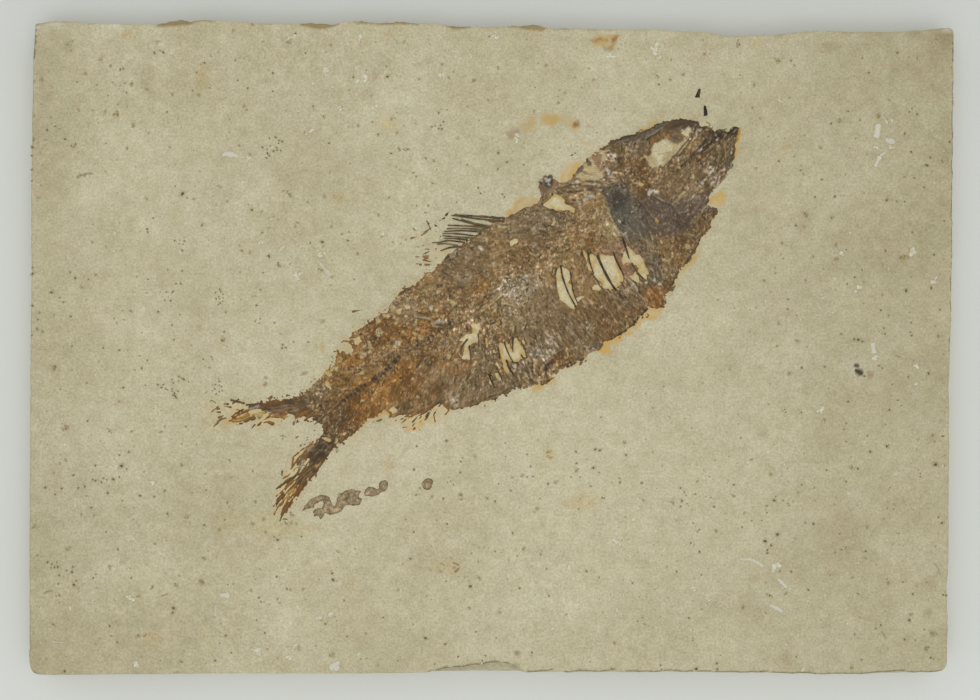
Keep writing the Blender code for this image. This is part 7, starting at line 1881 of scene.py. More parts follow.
# Dark specks: (x, y, width)
DARK_MARKS = [
    # far left
    (-80.2, 60.9, 0.4), (-71.5, 64.5, 0.6), (-72.2, 64.9, 0.3), (-73.5, 64.5, 0.4), (-62.5, 62.2, 0.5),
    (-64.2, 60.1, 0.4), (-95, 48.4, 0.4), (-96.8, 47.6, 0.5), (-92.9, 45.6, 0.5), (-67.3, 33.7, 1.0),
    (-66.3, 32.8, 0.4), (-75, 26, 0.5), (-74.9, 25.4, 0.4), (-73.7, 28.4, 0.4), (-69, 23.5, 0.45),
    (-67.9, 23.6, 0.3), (-66.9, 23.4, 0.4), (-68.1, 22.8, 0.3), (-67.2, 22.7, 0.3), (-67.4, 21.4, 0.45),
    (-100.0, 43.8, 0.6), (-100.1, 42, 0.4), (-100.1, 39, 0.4), (-100.1, 36.5, 0.4), (-100.0, 16.3, 0.6),
    (-100.0, 17.6, 0.4), (-100.0, 9.3, 0.6), (-100.1, 2.9, 0.4),
    # far middle
    (-42.7, 68.6, 0.5), (-40.5, 64.3, 0.4), (-30.1, 59.1, 0.5), (-22.7, 59.2, 0.7), (-55.3, 58.4, 0.4),
    (-53.1, 56.7, 0.4), (-47.6, 60, 0.5), (-47.6, 56, 0.4), (-24.7, 46.6, 0.5), (-47, 46, 0.5),
    (-46.3, 45.3, 0.4), (-46.4, 44.7, 0.35), (-45.6, 45.1, 0.5), (-49.9, 43.8, 0.45), (-48.9, 43.4, 0.35),
    (-48.2, 44.1, 0.35), (-48.8, 42.5, 0.6), (-48.4, 42, 0.45), (-49, 41.5, 0.4), (-47.5, 43, 0.5),
    (-46.8, 43.7, 0.4), (-46.7, 43.2, 0.35), (-45.9, 43.1, 0.4), (-48.4, 45.8, 0.35), (-35.4, 44.7, 0.4),
    (-52.2, 30.2, 0.6), (-31.3, 23.5, 0.5), (-36.9, 23.2, 0.8), (-39.5, 23, 0.4), (-54.4, 21.3, 0.5),
    (-48.5, 20.1, 0.75), (-43.9, 33.4, 0.5), (-0.5, 68, 0.4), (-11.5, 51.3, 0.4), (-10.5, 49.4, 0.45),
    (-11.1, 48.6, 0.45), (-11.5, 47.9, 0.45), (-10.8, 47.8, 0.5), (-13, 48.3, 0.4), (-12.3, 48.5, 0.3),
    (-20.2, 43.6, 0.4), (-20, 43.2, 0.45), (-21.9, 42.5, 0.5), (-14.3, 41.4, 0.4), (-5.3, 40, 0.4),
    (3.4, 40.6, 0.5), (1.4, 39.1, 0.5), (7, 40, 0.4), (-17, 38.3, 0.4), (-16.4, 37.5, 0.4),
    (-13.8, 31.1, 0.4), (-16.3, 31.1, 0.3), (-7.6, 31.9, 0.3), (-14.4, 29.6, 0.4), (-2.4, 33.8, 0.4),
    (2.8, 33, 0.4), (2.4, 33.6, 0.4), (1.5, 42.6, 0.6), (54, 66.2, 0.5), (54.2, 59.6, 0.3),
    # far right
    (88.4, 64.4, 0.5), (82.2, 60.1, 0.4), (74, 49, 0.5), (77.7, 51.7, 0.4), (62.6, 40.8, 0.45),
    (90, 46.8, 0.5), (91.4, 42.8, 0.5), (92.7, 51, 0.5), (91, 51.5, 0.35), (91.6, 52.3, 0.3),
    (95.6, 41.6, 0.5), (94.8, 39.9, 0.7), (72, 36.8, 0.5), (70.5, 33, 0.45), (74.8, 33.1, 0.6),
    (86.1, 32.3, 0.6), (90, 32, 0.4), (94.2, 35.1, 0.4), (66.3, 26.8, 0.5), (98.6, 27.8, 0.4),
    (91.6, 25.3, 0.4), (96.4, 20.4, 0.5), (67.3, 38.8, 0.4), (99.8, 45, 0.5),
    # right
    (79.1, 15.5, 0.4), (90.3, 12.6, 0.8), (95.8, 13.2, 0.65), (64.5, 8.6, 0.4), (91.4, 5.6, 0.4),
    (85.5, 4.4, 0.4), (85.7, 3.2, 0.4), (91.5, 2.8, 0.5), (79, 2, 0.5), (79.9, 1.9, 0.7), (80.8, 1.5, 0.5),
    (62.2, 0.5, 0.4), (67.6, -4.2, 0.6), (72.6, -4, 0.4), (90.8, -6.2, 0.4), (95.2, -5.4, 0.7),
    (77.7, -11.6, 0.5), (88.5, -11.3, 0.4), (63.9, -13.3, 0.3), (64.1, -13.9, 0.3), (67.5, -13.9, 0.35),
    (98.3, -19.1, 0.5), (86.1, -21.3, 0.7), (82.5, -22.5, 0.6), (81.2, -6, 0.5), (79.7, -3.5, 0.6),
    # near right
    (96.7, -25.3, 0.9), (98.6, -25.5, 0.3), (73, -26.5, 0.4), (93.4, -27.2, 0.3), (93.4, -27.9, 0.3),
    (67.6, -29.7, 0.4), (77.3, -29, 0.4), (61.6, -33.1, 0.7), (61.9, -32.3, 0.3), (63.5, -33.1, 0.35),
    (60, -34.3, 0.35), (60, -35.8, 0.35), (86.2, -34.8, 0.3), (87.6, -35, 0.3), (97.4, -36.8, 0.4),
    (98.1, -38, 0.6), (70.1, -38.2, 0.6), (62.3, -40.5, 0.8), (59.6, -42, 0.9), (60.9, -42.9, 0.6),
    (60.1, -43.9, 0.5), (60.1, -44.6, 0.5), (76.2, -43.8, 0.35), (77.2, -43.3, 0.3), (81.5, -44.2, 0.5),
    (62.8, -48.5, 0.4), (65.3, -48.6, 0.5), (69, -52.6, 0.5), (60.6, -53.8, 0.5), (91.8, -53.5, 0.5),
    (98.4, -53.7, 0.5), (99.0, -53.8, 0.5), (91.3, -58, 0.4), (91, -59.2, 0.7), (90, -63.4, 0.5),
    (79.1, -62.3, 0.4), (83.7, -61, 0.4), (95.7, -67.4, 0.5), (66.4, -67.2, 0.4),
    # near middle
    (22.6, -22, 0.6), (23.6, -22.2, 0.6), (18.4, -22.5, 0.5), (29.3, -23.2, 0.5), (18.5, -25, 0.5),
    (22.2, -26, 0.65), (23.5, -27, 0.3), (28, -29.2, 0.5), (21.6, -30, 0.4), (32.7, -29.3, 0.55),
    (24.1, -32.5, 0.4), (24.5, -32.6, 0.4), (41.2, -30.4, 0.4), (42, -31.3, 0.35), (42.4, -32, 0.3),
    (41.5, -33.2, 0.6), (42.6, -33.8, 0.3), (41.2, -34.4, 0.4), (44.4, -31.7, 0.4), (52.8, -29.7, 0.5),
    (58.9, -37.5, 0.3), (56.7, -37.5, 0.35), (54.6, -38.9, 0.4), (45.2, -39.5, 0.4), (43.4, -42.4, 0.4),
    (45.3, -44.3, 0.5), (48.5, -34.5, 0.5), (20.7, -48.5, 0.5), (40.3, -48.6, 0.4), (45.7, -49.3, 0.35),
    (30.7, -51.1, 0.4), (36.8, -69, 0.4), (37.1, -70.0, 0.4), (44.6, -69.8, 0.8), (49.1, -68.6, 0.5),
    (49.2, -69.9, 0.5), (26.2, -69.8, 0.5), (43, -58.7, 0.5), (31.8, -59.4, 0.3), (-9.8, -20.1, 0.6),
    (-16.3, -21.3, 0.5), (-16.9, -26.4, 0.55), (-6.7, -24.6, 0.4), (-6.3, -23.9, 0.3), (-6.8, -27, 0.4),
    (8.5, -25.7, 0.45), (7.8, -28, 0.4), (9, -27.9, 0.4), (17.3, -28, 0.35), (12.3, -29.5, 0.5),
    (-9.6, -29.2, 0.3), (-8.9, -28.9, 0.3), (-8.3, -29.7, 0.3), (-15.6, -30.4, 0.4), (-16.4, -31.9, 0.45),
    (-10.5, -32.7, 0.5), (-6.6, -32.9, 0.4), (0.8, -33.3, 0.45), (4.2, -31, 0.4), (4.6, -40.2, 0.5),
    (-9.7, -38.2, 0.5), (-16.9, -40, 0.4), (-17.7, -45.8, 0.5), (-4.6, -51.8, 0.8), (6.1, -52.2, 0.5),
    (12.5, -53.9, 0.5), (10.7, -44.9, 0.4), (-2.9, -46.4, 0.3), (0.8, -44.2, 0.35), (-14.4, -63.1, 0.7),
    (-10.1, -64.4, 0.6), (8.8, -66.2, 0.4), (-2, -68, 0.4), (-46.6, -41.7, 0.7), (-34.7, -49, 0.6),
    (-34.5, -50.4, 0.8), (-46.8, -49.7, 0.5), (-50.7, -54.3, 0.5), (-50.2, -55.2, 0.4), (-51.2, -59.2, 0.4),
    (-23.6, -58.6, 0.4), (-36.2, -60, 0.5), (-49.4, -62, 0.4), (-57.9, -62.6, 0.5), (-56.7, -66.3, 0.4),
    (-38.3, -64.8, 0.3), (-28.5, -67.6, 0.3), (-60.2, -68, 0.5), (-41.4, -41, 0.4), (-52, -26.7, 0.4),
    # near left
    (-97.2, -30.3, 0.6), (-93.6, -30.5, 0.5), (-90, -30.4, 0.45), (-88.6, -30.1, 0.45), (-83.6, -31.5, 0.6),
    (-95.1, -31.8, 0.4), (-76.6, -32.1, 0.55), (-73.5, -32.3, 0.45), (-71.2, -31, 0.5), (-87.2, -34.7, 0.5),
    (-70.6, -36, 0.5), (-62.6, -38.5, 0.5), (-84, -40, 0.4), (-81.4, -43.8, 0.5), (-96.7, -46.6, 0.5),
    (-95.8, -47, 0.4), (-95.2, -47.7, 0.4), (-94.5, -47.6, 0.5), (-96, -47.8, 0.3), (-91.2, -47.6, 0.4),
    (-91.4, -48.7, 0.6), (-92.6, -48.4, 0.4), (-94.2, -49.4, 0.4), (-86.2, -49.2, 0.35), (-86.8, -50, 0.4),
    (-90.5, -50.6, 0.4), (-91, -51.5, 0.7), (-94.4, -51.3, 0.4), (-78.5, -50, 0.4), (-69.3, -56.6, 0.8),
    (-69.5, -57.6, 0.6), (-83.2, -60.5, 0.5), (-93, -70.3, 0.6),
    # left
    (-67.3, 21.3, 0.4), (-91.8, 16.6, 0.4), (-90.7, 15.3, 0.6), (-87.8, 15.1, 0.3), (-95.9, 12.2, 0.7),
    (-93.3, 10.1, 0.4), (-91.7, 7, 0.5), (-98.9, 6.3, 0.4), (-74.8, 15.1, 0.35), (-68.7, 14.1, 0.4),
    (-67.7, 14.1, 0.4), (-69.4, 12.4, 0.5), (-70.8, 12.3, 0.4), (-69.9, 10.4, 0.4), (-72.6, 8, 0.5),
    (-69.6, 5.1, 0.4), (-69.2, 1.9, 0.4), (-84.6, 0.1, 0.4), (-81.1, -0.4, 0.5), (-91.4, 0.5, 0.4),
    (-76.2, -4.3, 0.5), (-75, -2.6, 0.4), (-77.7, -4.7, 0.3), (-72.7, -7.9, 0.5), (-71.9, -8.5, 0.5),
    (-71.5, -7.9, 0.4), (-71, -8.8, 0.4), (-70.6, -9, 0.3), (-69.6, -8.8, 0.3), (-69.6, -9.3, 0.3),
    (-69.1, -9.8, 0.5), (-68.9, -10.4, 0.7), (-68.6, -10.8, 0.35), (-69.4, -10.2, 0.4), (-68.1, -6.1, 0.4),
    (-68.2, -7.1, 0.3), (-69.6, -6.8, 0.3), (-69.3, -7.5, 0.35), (-67.6, -6.5, 0.3), (-67.1, -6.7, 0.6),
    (-66, -7.3, 0.3), (-68.3, -9.3, 0.4), (-75.4, -8, 0.3), (-88, -15.8, 0.5), (-79, -22.6, 0.5),
    (-81.1, -23.2, 0.45), (-86.3, -25.5, 0.5), (-80.6, -25.6, 0.9), (-79.5, -26.3, 0.4),
    (-91.1, -27.6, 0.5), (-86.9, -28.6, 0.4), (-86.3, -28.8, 0.5), (-84.5, -28.3, 0.4),
    (-83.8, -28.6, 0.35), (-82.4, -28.5, 0.7), (-81.1, -28, 0.4), (-85, -29.1, 0.4), (-66.6, -17, 0.4),
    # left of the tail
    (-59.2, 12.9, 0.4), (-59, 12.4, 0.35), (-60.1, 12.2, 0.35), (-59.4, 11.3, 0.35), (-59.3, 10.9, 0.35),
    (-60, 10.8, 0.4), (-58.5, 11.8, 0.3), (-58.5, 11, 0.3), (-59.1, 9.9, 0.4), (-59.5, 9.6, 0.35),
    (-58.6, 10.3, 0.3), (-51.2, 9.4, 0.5), (-57.9, 7.9, 0.35), (-50.4, 6.5, 0.35), (-50.6, 5.5, 0.35),
    (-51.5, 5.9, 0.35), (-58.2, 3.6, 0.4), (-45.5, 0.8, 0.5), (-45.6, 0.1, 0.5), (-44.8, 0.2, 0.45),
    (-43.1, 1.4, 0.4), (-39.9, 1.4, 0.4), (-49.8, 16.5, 0.35), (-59.3, -7.2, 0.4), (-59.3, -8, 0.3),
    (-58.8, -8.3, 0.35), (-60.2, -7.9, 0.35), (-60.3, -8.8, 0.4), (-60.8, -9.2, 0.3), (-59.3, -9.4, 0.35),
    (-58.7, -9.2, 0.3), (-60, -9.9, 0.4),
]
# Brown and ochre specks
BROWN_MARKS = [
    (-85, 63.1, 1.0), (-81.7, 51, 1.3), (-81.4, 53.1, 0.4), (-83, 61.5, 0.5), (-72.8, 66.8, 0.5),
    (-88.5, 59.8, 0.8), (-78.3, 57.5, 0.8), (-75, 56.4, 0.5), (-69.5, 55.4, 0.6), (-63.7, 55.2, 0.7),
    (-90, 52, 0.5), (-84.1, 51.6, 0.5), (-78, 48.9, 1.2), (-79.4, 43.7, 0.6), (-91, 44.2, 1.0),
    (-90, 37.5, 0.8), (-88.6, 37.8, 0.6), (-64.9, 32.6, 0.5), (-75.2, 32.6, 0.7), (-87, 23.2, 0.6),
    (-84, 22.2, 0.4), (-63, 27, 0.6), (-98, 58.5, 0.8), (-52, 70.5, 0.6), (-56.2, 69.3, 0.5),
    (-44.2, 66.7, 0.8), (-49.8, 66.8, 0.4), (-35, 66, 0.6), (-36.5, 50.4, 0.6), (-53.9, 52.9, 0.6),
    (-29, 48.6, 0.6), (-26, 49.3, 0.4), (-21.8, 50, 0.5), (-20.6, 46.9, 0.5), (-55, 44.2, 0.55),
    (-52.6, 42.3, 0.4), (-59.4, 35.4, 0.5), (-57.6, 32, 0.45), (-45.4, 34.3, 0.5), (-44.5, 34.2, 0.4),
    (-36.4, 33.3, 0.6), (-24.6, 29, 0.5), (-22.3, 32.9, 0.4), (-42.3, 27.4, 0.5), (-42.8, 26.5, 0.4),
    (-34.9, 26.5, 0.6), (-32.5, 25, 0.4), (-52.6, 21, 0.6), (-29.2, 20.7, 0.6), (-21.5, 23.2, 0.4),
    (-23.9, 24.4, 0.4), (-19, 66.8, 0.5), (-3.8, 58.4, 0.8), (-9.3, 59.1, 0.4), (-10.7, 62, 0.5),
    (1.5, 61.1, 0.5), (11.9, 61.7, 0.6), (16, 55.7, 0.5), (14.5, 53.5, 0.6), (9.3, 51.7, 0.5),
    (18.6, 49.2, 0.5), (-18.5, 43.4, 0.8), (-12.6, 40.9, 0.5), (-7.3, 45.8, 0.6), (22.3, 58.6, 0.5),
    (38.9, 58.6, 0.5), (36.3, 59.2, 0.4), (41.8, 59.6, 0.6), (57.2, 57.4, 0.6), (46.4, 64.1, 0.5),
    (57.5, 39.2, 0.5), (62.4, 62.7, 0.9), (66, 61.7, 0.4), (84.4, 50.7, 1.0), (75.8, 49.6, 1.0),
    (71.7, 43.8, 0.8), (68.4, 29.2, 1.0), (68.2, 26.5, 0.5), (74.2, 28.5, 0.7), (63.2, 23, 0.6),
    (75, 22.5, 0.8), (70, 20, 0.8), (75.2, 19.4, 1.0), (89.7, 19.6, 1.2), (90.6, 19.9, 0.6),
    (59.4, 14.8, 0.7), (68.5, 14.7, 0.5), (62.6, 5.4, 0.6), (97.6, 8.4, 0.5), (97.4, 2.6, 0.7),
    (76.2, 3.2, 0.5), (66.8, 1.4, 0.9), (64.9, -5.4, 1.0), (82.3, -5.8, 1.1), (72.5, -15.6, 0.6),
    (78.4, -26, 0.9), (60.8, -27.5, 0.8), (66.8, -31.5, 0.6), (64.7, -34, 0.5), (81.8, -38.9, 0.6),
    (81.4, -45.7, 0.6), (78.5, -50, 0.6), (86.5, -51, 0.9), (64.2, -53.4, 0.6), (96.1, -62.1, 1.4),
    (94.7, -65.5, 1.2), (78.5, -69.5, 1.0), (28.9, -20.5, 0.8), (18.5, -26.5, 0.8), (33.1, -33, 0.55),
    (39.5, -33.6, 0.8), (52.7, -32.1, 0.7), (56.7, -24.2, 0.55), (49, -39.8, 0.5), (38.2, -47.6, 0.4),
    (54.8, -56.3, 0.8), (26.8, -64.2, 0.6), (12.5, -22.5, 0.7), (12.7, -23.7, 0.8), (6.8, -27.7, 0.6),
    (14, -29.1, 0.6), (-3.6, -23.6, 0.4), (-13, -32.3, 0.7), (-6.7, -31.9, 1.0), (-1, -32.6, 0.7),
    (9.9, -34.9, 0.7), (-11, -48.6, 0.7), (-2.7, -49.8, 0.7), (-4.9, -56.5, 0.6), (1.9, -57.5, 0.5),
    (7.1, -43.6, 0.8), (5.5, -66.3, 1.0), (-57, -24.5, 0.6), (-51.5, -33.4, 0.6), (-33.8, -22.4, 0.8),
    (-49.6, -37.2, 0.5), (-52, -38.2, 0.6), (-59.3, -39.6, 0.6), (-47.3, -41, 0.5), (-46, -40.5, 0.4),
    (-49.2, -40, 0.5), (-44.8, -38.1, 0.9), (-43.7, -38.1, 0.7), (-42.5, -38.2, 0.4), (-43.5, -36.3, 0.8),
    (-33.5, -44.2, 0.6), (-52.3, -52.8, 0.5), (-41.1, -52.4, 0.5), (-27.4, -62.1, 0.5), (-34.7, -66.8, 0.9),
    (-42, -65.2, 0.8), (-99.5, -38.8, 0.9), (-66.4, -36.6, 0.7), (-92.3, -43.7, 1.0), (-62.6, -45.8, 0.7),
    (-83.2, -47.7, 0.8), (-63.2, -50.8, 1.0), (-68.8, -51.6, 0.8), (-73.9, -52, 0.7), (-77, -54, 0.7),
    (-77, -62.7, 0.8), (-75.5, -62.5, 0.5), (-81.5, -64, 0.6), (-67.8, -68.3, 0.9), (-95.5, -60.2, 0.7),
    (-86.3, 16, 0.7), (-89.3, 13.3, 0.6), (-98.6, 7.8, 0.7), (-99, 4.2, 0.6), (-97.8, 3.7, 0.6),
    (-95.3, -4.2, 1.0), (-92.5, -17.3, 0.9), (-93.3, -17.6, 0.5), (-83.2, -17.9, 0.7), (-72, -18.2, 0.6),
    (-92.8, -24.3, 0.6), (-94, -25, 0.3), (-67.4, -25.5, 0.7), (-37, 17, 0.7), (-34.9, 15.5, 0.5),
    (-46.3, 18, 0.8), (-58.5, 2, 0.9), (-36.7, 5.9, 0.9), (-61.1, -1.8, 0.4), (-60.8, -2.4, 0.4),
    (-49.3, -7.8, 0.9), (-49.1, -6.4, 0.7),
]
# Bruised white specks
CHALK_MARKS = [
    (-43.5, 67.8, 1.0), (-36, 60.5, 1.2), (-38.7, 57.7, 0.6), (-34.7, 57.2, 0.6), (-28.8, 68.2, 1),
    (-27.5, 59.2, 1.3), (-29.2, 58.2, 0.8), (-32.7, 52.2, 0.8), (-31.7, 48.5, 0.7), (-25.4, 52.7, 1),
    (-27.8, 52.3, 0.5), (-39.5, 47.3, 0.9), (-53, 41.5, 0.9), (-37.3, 20.7, 1.0), (-50.2, 23, 0.8),
    (-23.3, 25, 0.7), (-82, 25, 0.6), (0.3, 68.2, 1.3), (-4.6, 63.9, 0.8), (-11, 59.5, 0.8), (5.5, 45.7, 1),
    (12.2, 45.5, 0.5), (26.1, 63.7, 1), (38.1, 66.8, 0.5), (35.7, 65.3, 1.5), (51, 55.7, 0.6),
    (62.9, 53.9, 0.8), (86, 49.6, 1.1), (87.2, 43.8, 0.8), (83.7, 43.8, 0.8), (76.2, 20.7, 1),
    (91.7, 21.1, 1.3), (79.8, 13.1, 1.1), (72.2, 11, 0.6), (96.6, 14.8, 1.1), (83.6, -2.2, 1.2),
    (92.7, -4, 1), (92.3, -7.5, 0.7), (71.9, -12.9, 1.2), (60.4, -22.5, 0.8), (61.3, -48, 1.5),
    (80, -46.8, 0.5), (67.9, -70, 0.7), (43.4, -61.4, 0.5), (44, -52.3, 0.8), (47.3, -54.5, 0.7),
    (27.2, -42.2, 1), (26.2, -46, 0.4), (31, -37.2, 0.8), (28, -53.5, 0.5), (27.4, -57, 0.5),
    (32, -34.8, 0.5), (13.5, -61, 0.8), (17, -47.5, 0.9), (-35.3, -58.1, 1), (-51.5, -65.6, 1.8),
    (-42.9, -65, 1), (-44, -67.5, 1), (-28.8, -66.6, 0.5), (-50.5, -68, 0.5), (-77.8, -41.8, 0.9),
    (-78.6, -54.3, 1.0), (-91.8, -56.5, 1), (-77.8, -68.4, 1.3), (-82, -25.8, 1), (-93.2, -21, 0.6),
    (-73.8, -29.3, 1), (-42.3, 15.8, 1.6),
]
# Lines on the stone: (pigment, width, strength, points)
STONE_LINES = [
    ("umber", 0.34, 0.5, [(53.8, 67.4), (53.5, 66.3), (53.6, 65.4)]),
    ("umber", 0.3, 0.35, [(96.3, -46.7), (97.2, -47.8), (97.8, -49.5)]),
    ("rust", 0.3, 0.55, [(85, -61.5), (85.4, -62.4), (86, -63.3)]),
    ("umber", 0.3, 0.45, [(-97.7, -53.4), (-96.5, -52.9), (-95.5, -52.8)]),
    ("umber", 0.34, 0.6, [(-46.1, -19.2), (-45.4, -19.0), (-44.7, -19.4)]),
    ("umber", 0.3, 0.6, [(-45.5, -18.6), (-45.4, -19.2), (-45.6, -20)]),
    ("ink", 0.3, 0.6, [(-44.4, 33.9), (-43.9, 33.4), (-43.5, 32.8)]),
    ("honey", 0.34, 0.8, [(-8.6, -46.6), (-7.7, -46.9), (-7.0, -47.3)]),
    ("honey", 0.38, 0.85, [(-6.9, -47.6), (-7.5, -48.3), (-8.1, -48.8)]),
    ("honey", 0.3, 0.6, [(-8.6, -47.9), (-7.7, -47.6)]), ("gold", 0.3, 0.6, [(-9.4, -48.2), (-8.7, -49.0)]),
    ("honey", 0.26, 0.5, [(-11.2, -46.7), (-10.5, -47.0)]),
    ("gold", 0.3, 0.5, [(-11.0, -48.7), (-10.4, -48.2)]),
    ("umber", 0.2, 0.4, [(-9.2, -45.2), (-8.2, -46.2)]),
    ("ink", 1.25, 0.95, [(79.1, -4.6), (80.0, -5.1), (81.0, -5.6)]),
    ("ink", 0.7, 0.85, [(78.9, -3.6), (80.2, -3.9)]), ("rust", 1.4, 0.5, [(82.0, -5.6), (83.2, -6.0)]),
    ("white", 0.95, 0.9, [(-58.8, 42.1), (-57.4, 42.4), (-55.2, 41.9)]),
    ("white", 0.5, 0.57, [(-46.5, 21), (-45, 22.5)]),
    ("white", 1.0, 0.95, [(84.3, 49.0), (84.1, 47.4), (83.8, 45.8)]),
    ("white", 0.9, 0.7, [(85.6, 45.7), (88.0, 44.8)]),
    ("white", 0.75, 0.95, [(84.7, 42.0), (84.2, 41.0), (83.5, 39.6)]),
    ("white", 0.43, 0.69, [(84.5, 42), (85.4, 42.4), (86.2, 43.3)]),
    ("white", 0.85, 0.85, [(83.0, 1.3), (83.2, 0.0), (83.5, -1.2)]),
    ("white", 0.65, 0.69, [(54, -46), (56.5, -46), (59.5, -47.6)]),
    ("white", 0.7, 0.86, [(62.4, -50.1), (64.4, -52.2)]),
    ("white", 0.79, 0.75, [(60.5, -55.9), (62, -56.5), (63.5, -57.5)]),
    ("white", 1.01, 0.86, [(-59.2, -53.7), (-57, -53.8)]),
    ("white", 0.5, 0.46, [(-60.1, -55.6), (-60.2, -58.4)]),
    ("white", 0.72, 0.69, [(-38.4, -58.8), (-36.8, -58.6)]),
    ("white", 0.65, 0.63, [(-37.5, 18.7), (-36.4, 17.4), (-35, 15.8)]),
    ("white", 0.94, 0.9, [(-35.2, -70.0), (-34.4, -69.2), (-33.0, -68.2)]),
    ("white", 1.08, 0.86, [(-34.4, -69.9), (-33.0, -69.4)]),
    ("white", 0.22, 0.57, [(-81.5, -66.5), (-79.5, -68.4)]),
    ("white", 0.22, 0.57, [(-96, -63.8), (-93, -64.1)]),
    ("white", 0.22, 0.57, [(-72, -54.5), (-70.5, -53.8)]),
    ("umber", 0.3, 0.45, [(-72, -54.1), (-70.5, -53.5)]), ("gold", 1.3, 0.75, [(-37.4, 0.5), (-36.4, 0.3)]),
    ("ochre", 1.0, 0.45, [(-38.6, 0.2), (-37.8, 0.3)]), ("rose", 1.4, 0.65, [(-40.9, -5.0), (-40.7, -5.9)]),
    ("fox", 1.0, 0.5, [(5.6, -65.8), (5.4, -66.9)]), ("fox", 1.2, 0.45, [(96.3, -61.6), (95.9, -62.7)]),
    ("umber", 0.4, 0.55, [(-90, 37.5), (-88, 38.1), (-86.8, 38)]),
]
# Ochre stains in the slab's frame and round the fish in its own: (pigment, strength, softness, outline)
SLAB_STAINS = [
    ("rose", 0.5, 0.7, [(2.4, 46.9), (4.2, 48.0), (6.6, 47.8), (6.2, 46.6), (4.6, 45.8)]),
    ("ochre", 0.9, 0.7, [
        (6.2, 48.6), (7.4, 50.0), (8.6, 50.9), (9.6, 50.0), (9.6, 48.6), (8.4, 47.6), (6.8, 47.6),
    ]),
    ("ochre", 0.75, 0.7, [
        (10.2, 50.2), (11.6, 51.2), (13.6, 51.4), (15.4, 50.9), (15.2, 49.2), (13.2, 48.6), (11.4, 48.9),
    ]),
    ("ochre", 0.8, 0.6, [(11.8, 50.0), (13.4, 50.8), (14.4, 50.0), (13.4, 49.2)]),
    ("ochre", 0.6, 0.7, [
        (15.2, 49.6), (17.0, 50.6), (18.9, 49.8), (19.4, 48.4), (18.9, 47.1), (17.8, 47.6), (16.8, 48.6),
    ]),
    ("ochre", 0.5, 0.6, [(8.0, 50.4), (8.8, 51.0), (9.0, 50.2)]),
    ("honey", 0.6, 0.4, [(18.2, 49.3), (19.0, 49.6), (19.0, 48.6), (18.4, 48.4)]),
    ("ochre", 0.8, 0.7, [
        (21.8, 66.9), (23.0, 68.8), (25.4, 69.0), (27.6, 68.6), (27.8, 67.6), (26.4, 66.0), (26.2, 65.0),
        (24.4, 65.7), (22.6, 66.0),
    ]),
    ("fox", 0.4, 0.4, [(22.0, 67.1), (24.0, 67.3), (26.0, 66.5), (26.4, 67.0), (24.4, 67.8), (22.2, 67.5)]),
    ("fox", 0.4, 0.4, [(26.4, 67.2), (27.6, 68.4), (27.9, 68.1), (27.0, 66.9)]),
    ("rose", 0.35, 0.5, [(24.2, 65.9), (26.4, 65.9), (26.0, 64.8), (24.6, 65.0)]),
    ("ochre", 0.4, 0.5, [(18.2, 45.6), (20.0, 45.4), (22.4, 45.0), (22.4, 44.4), (19.6, 44.6)]),
    ("ochre", 0.35, 0.8, [(-10.2, -46.4), (-7.2, -46.6), (-6.6, -48.2), (-8.6, -49.6), (-10, -49.0)]),
]
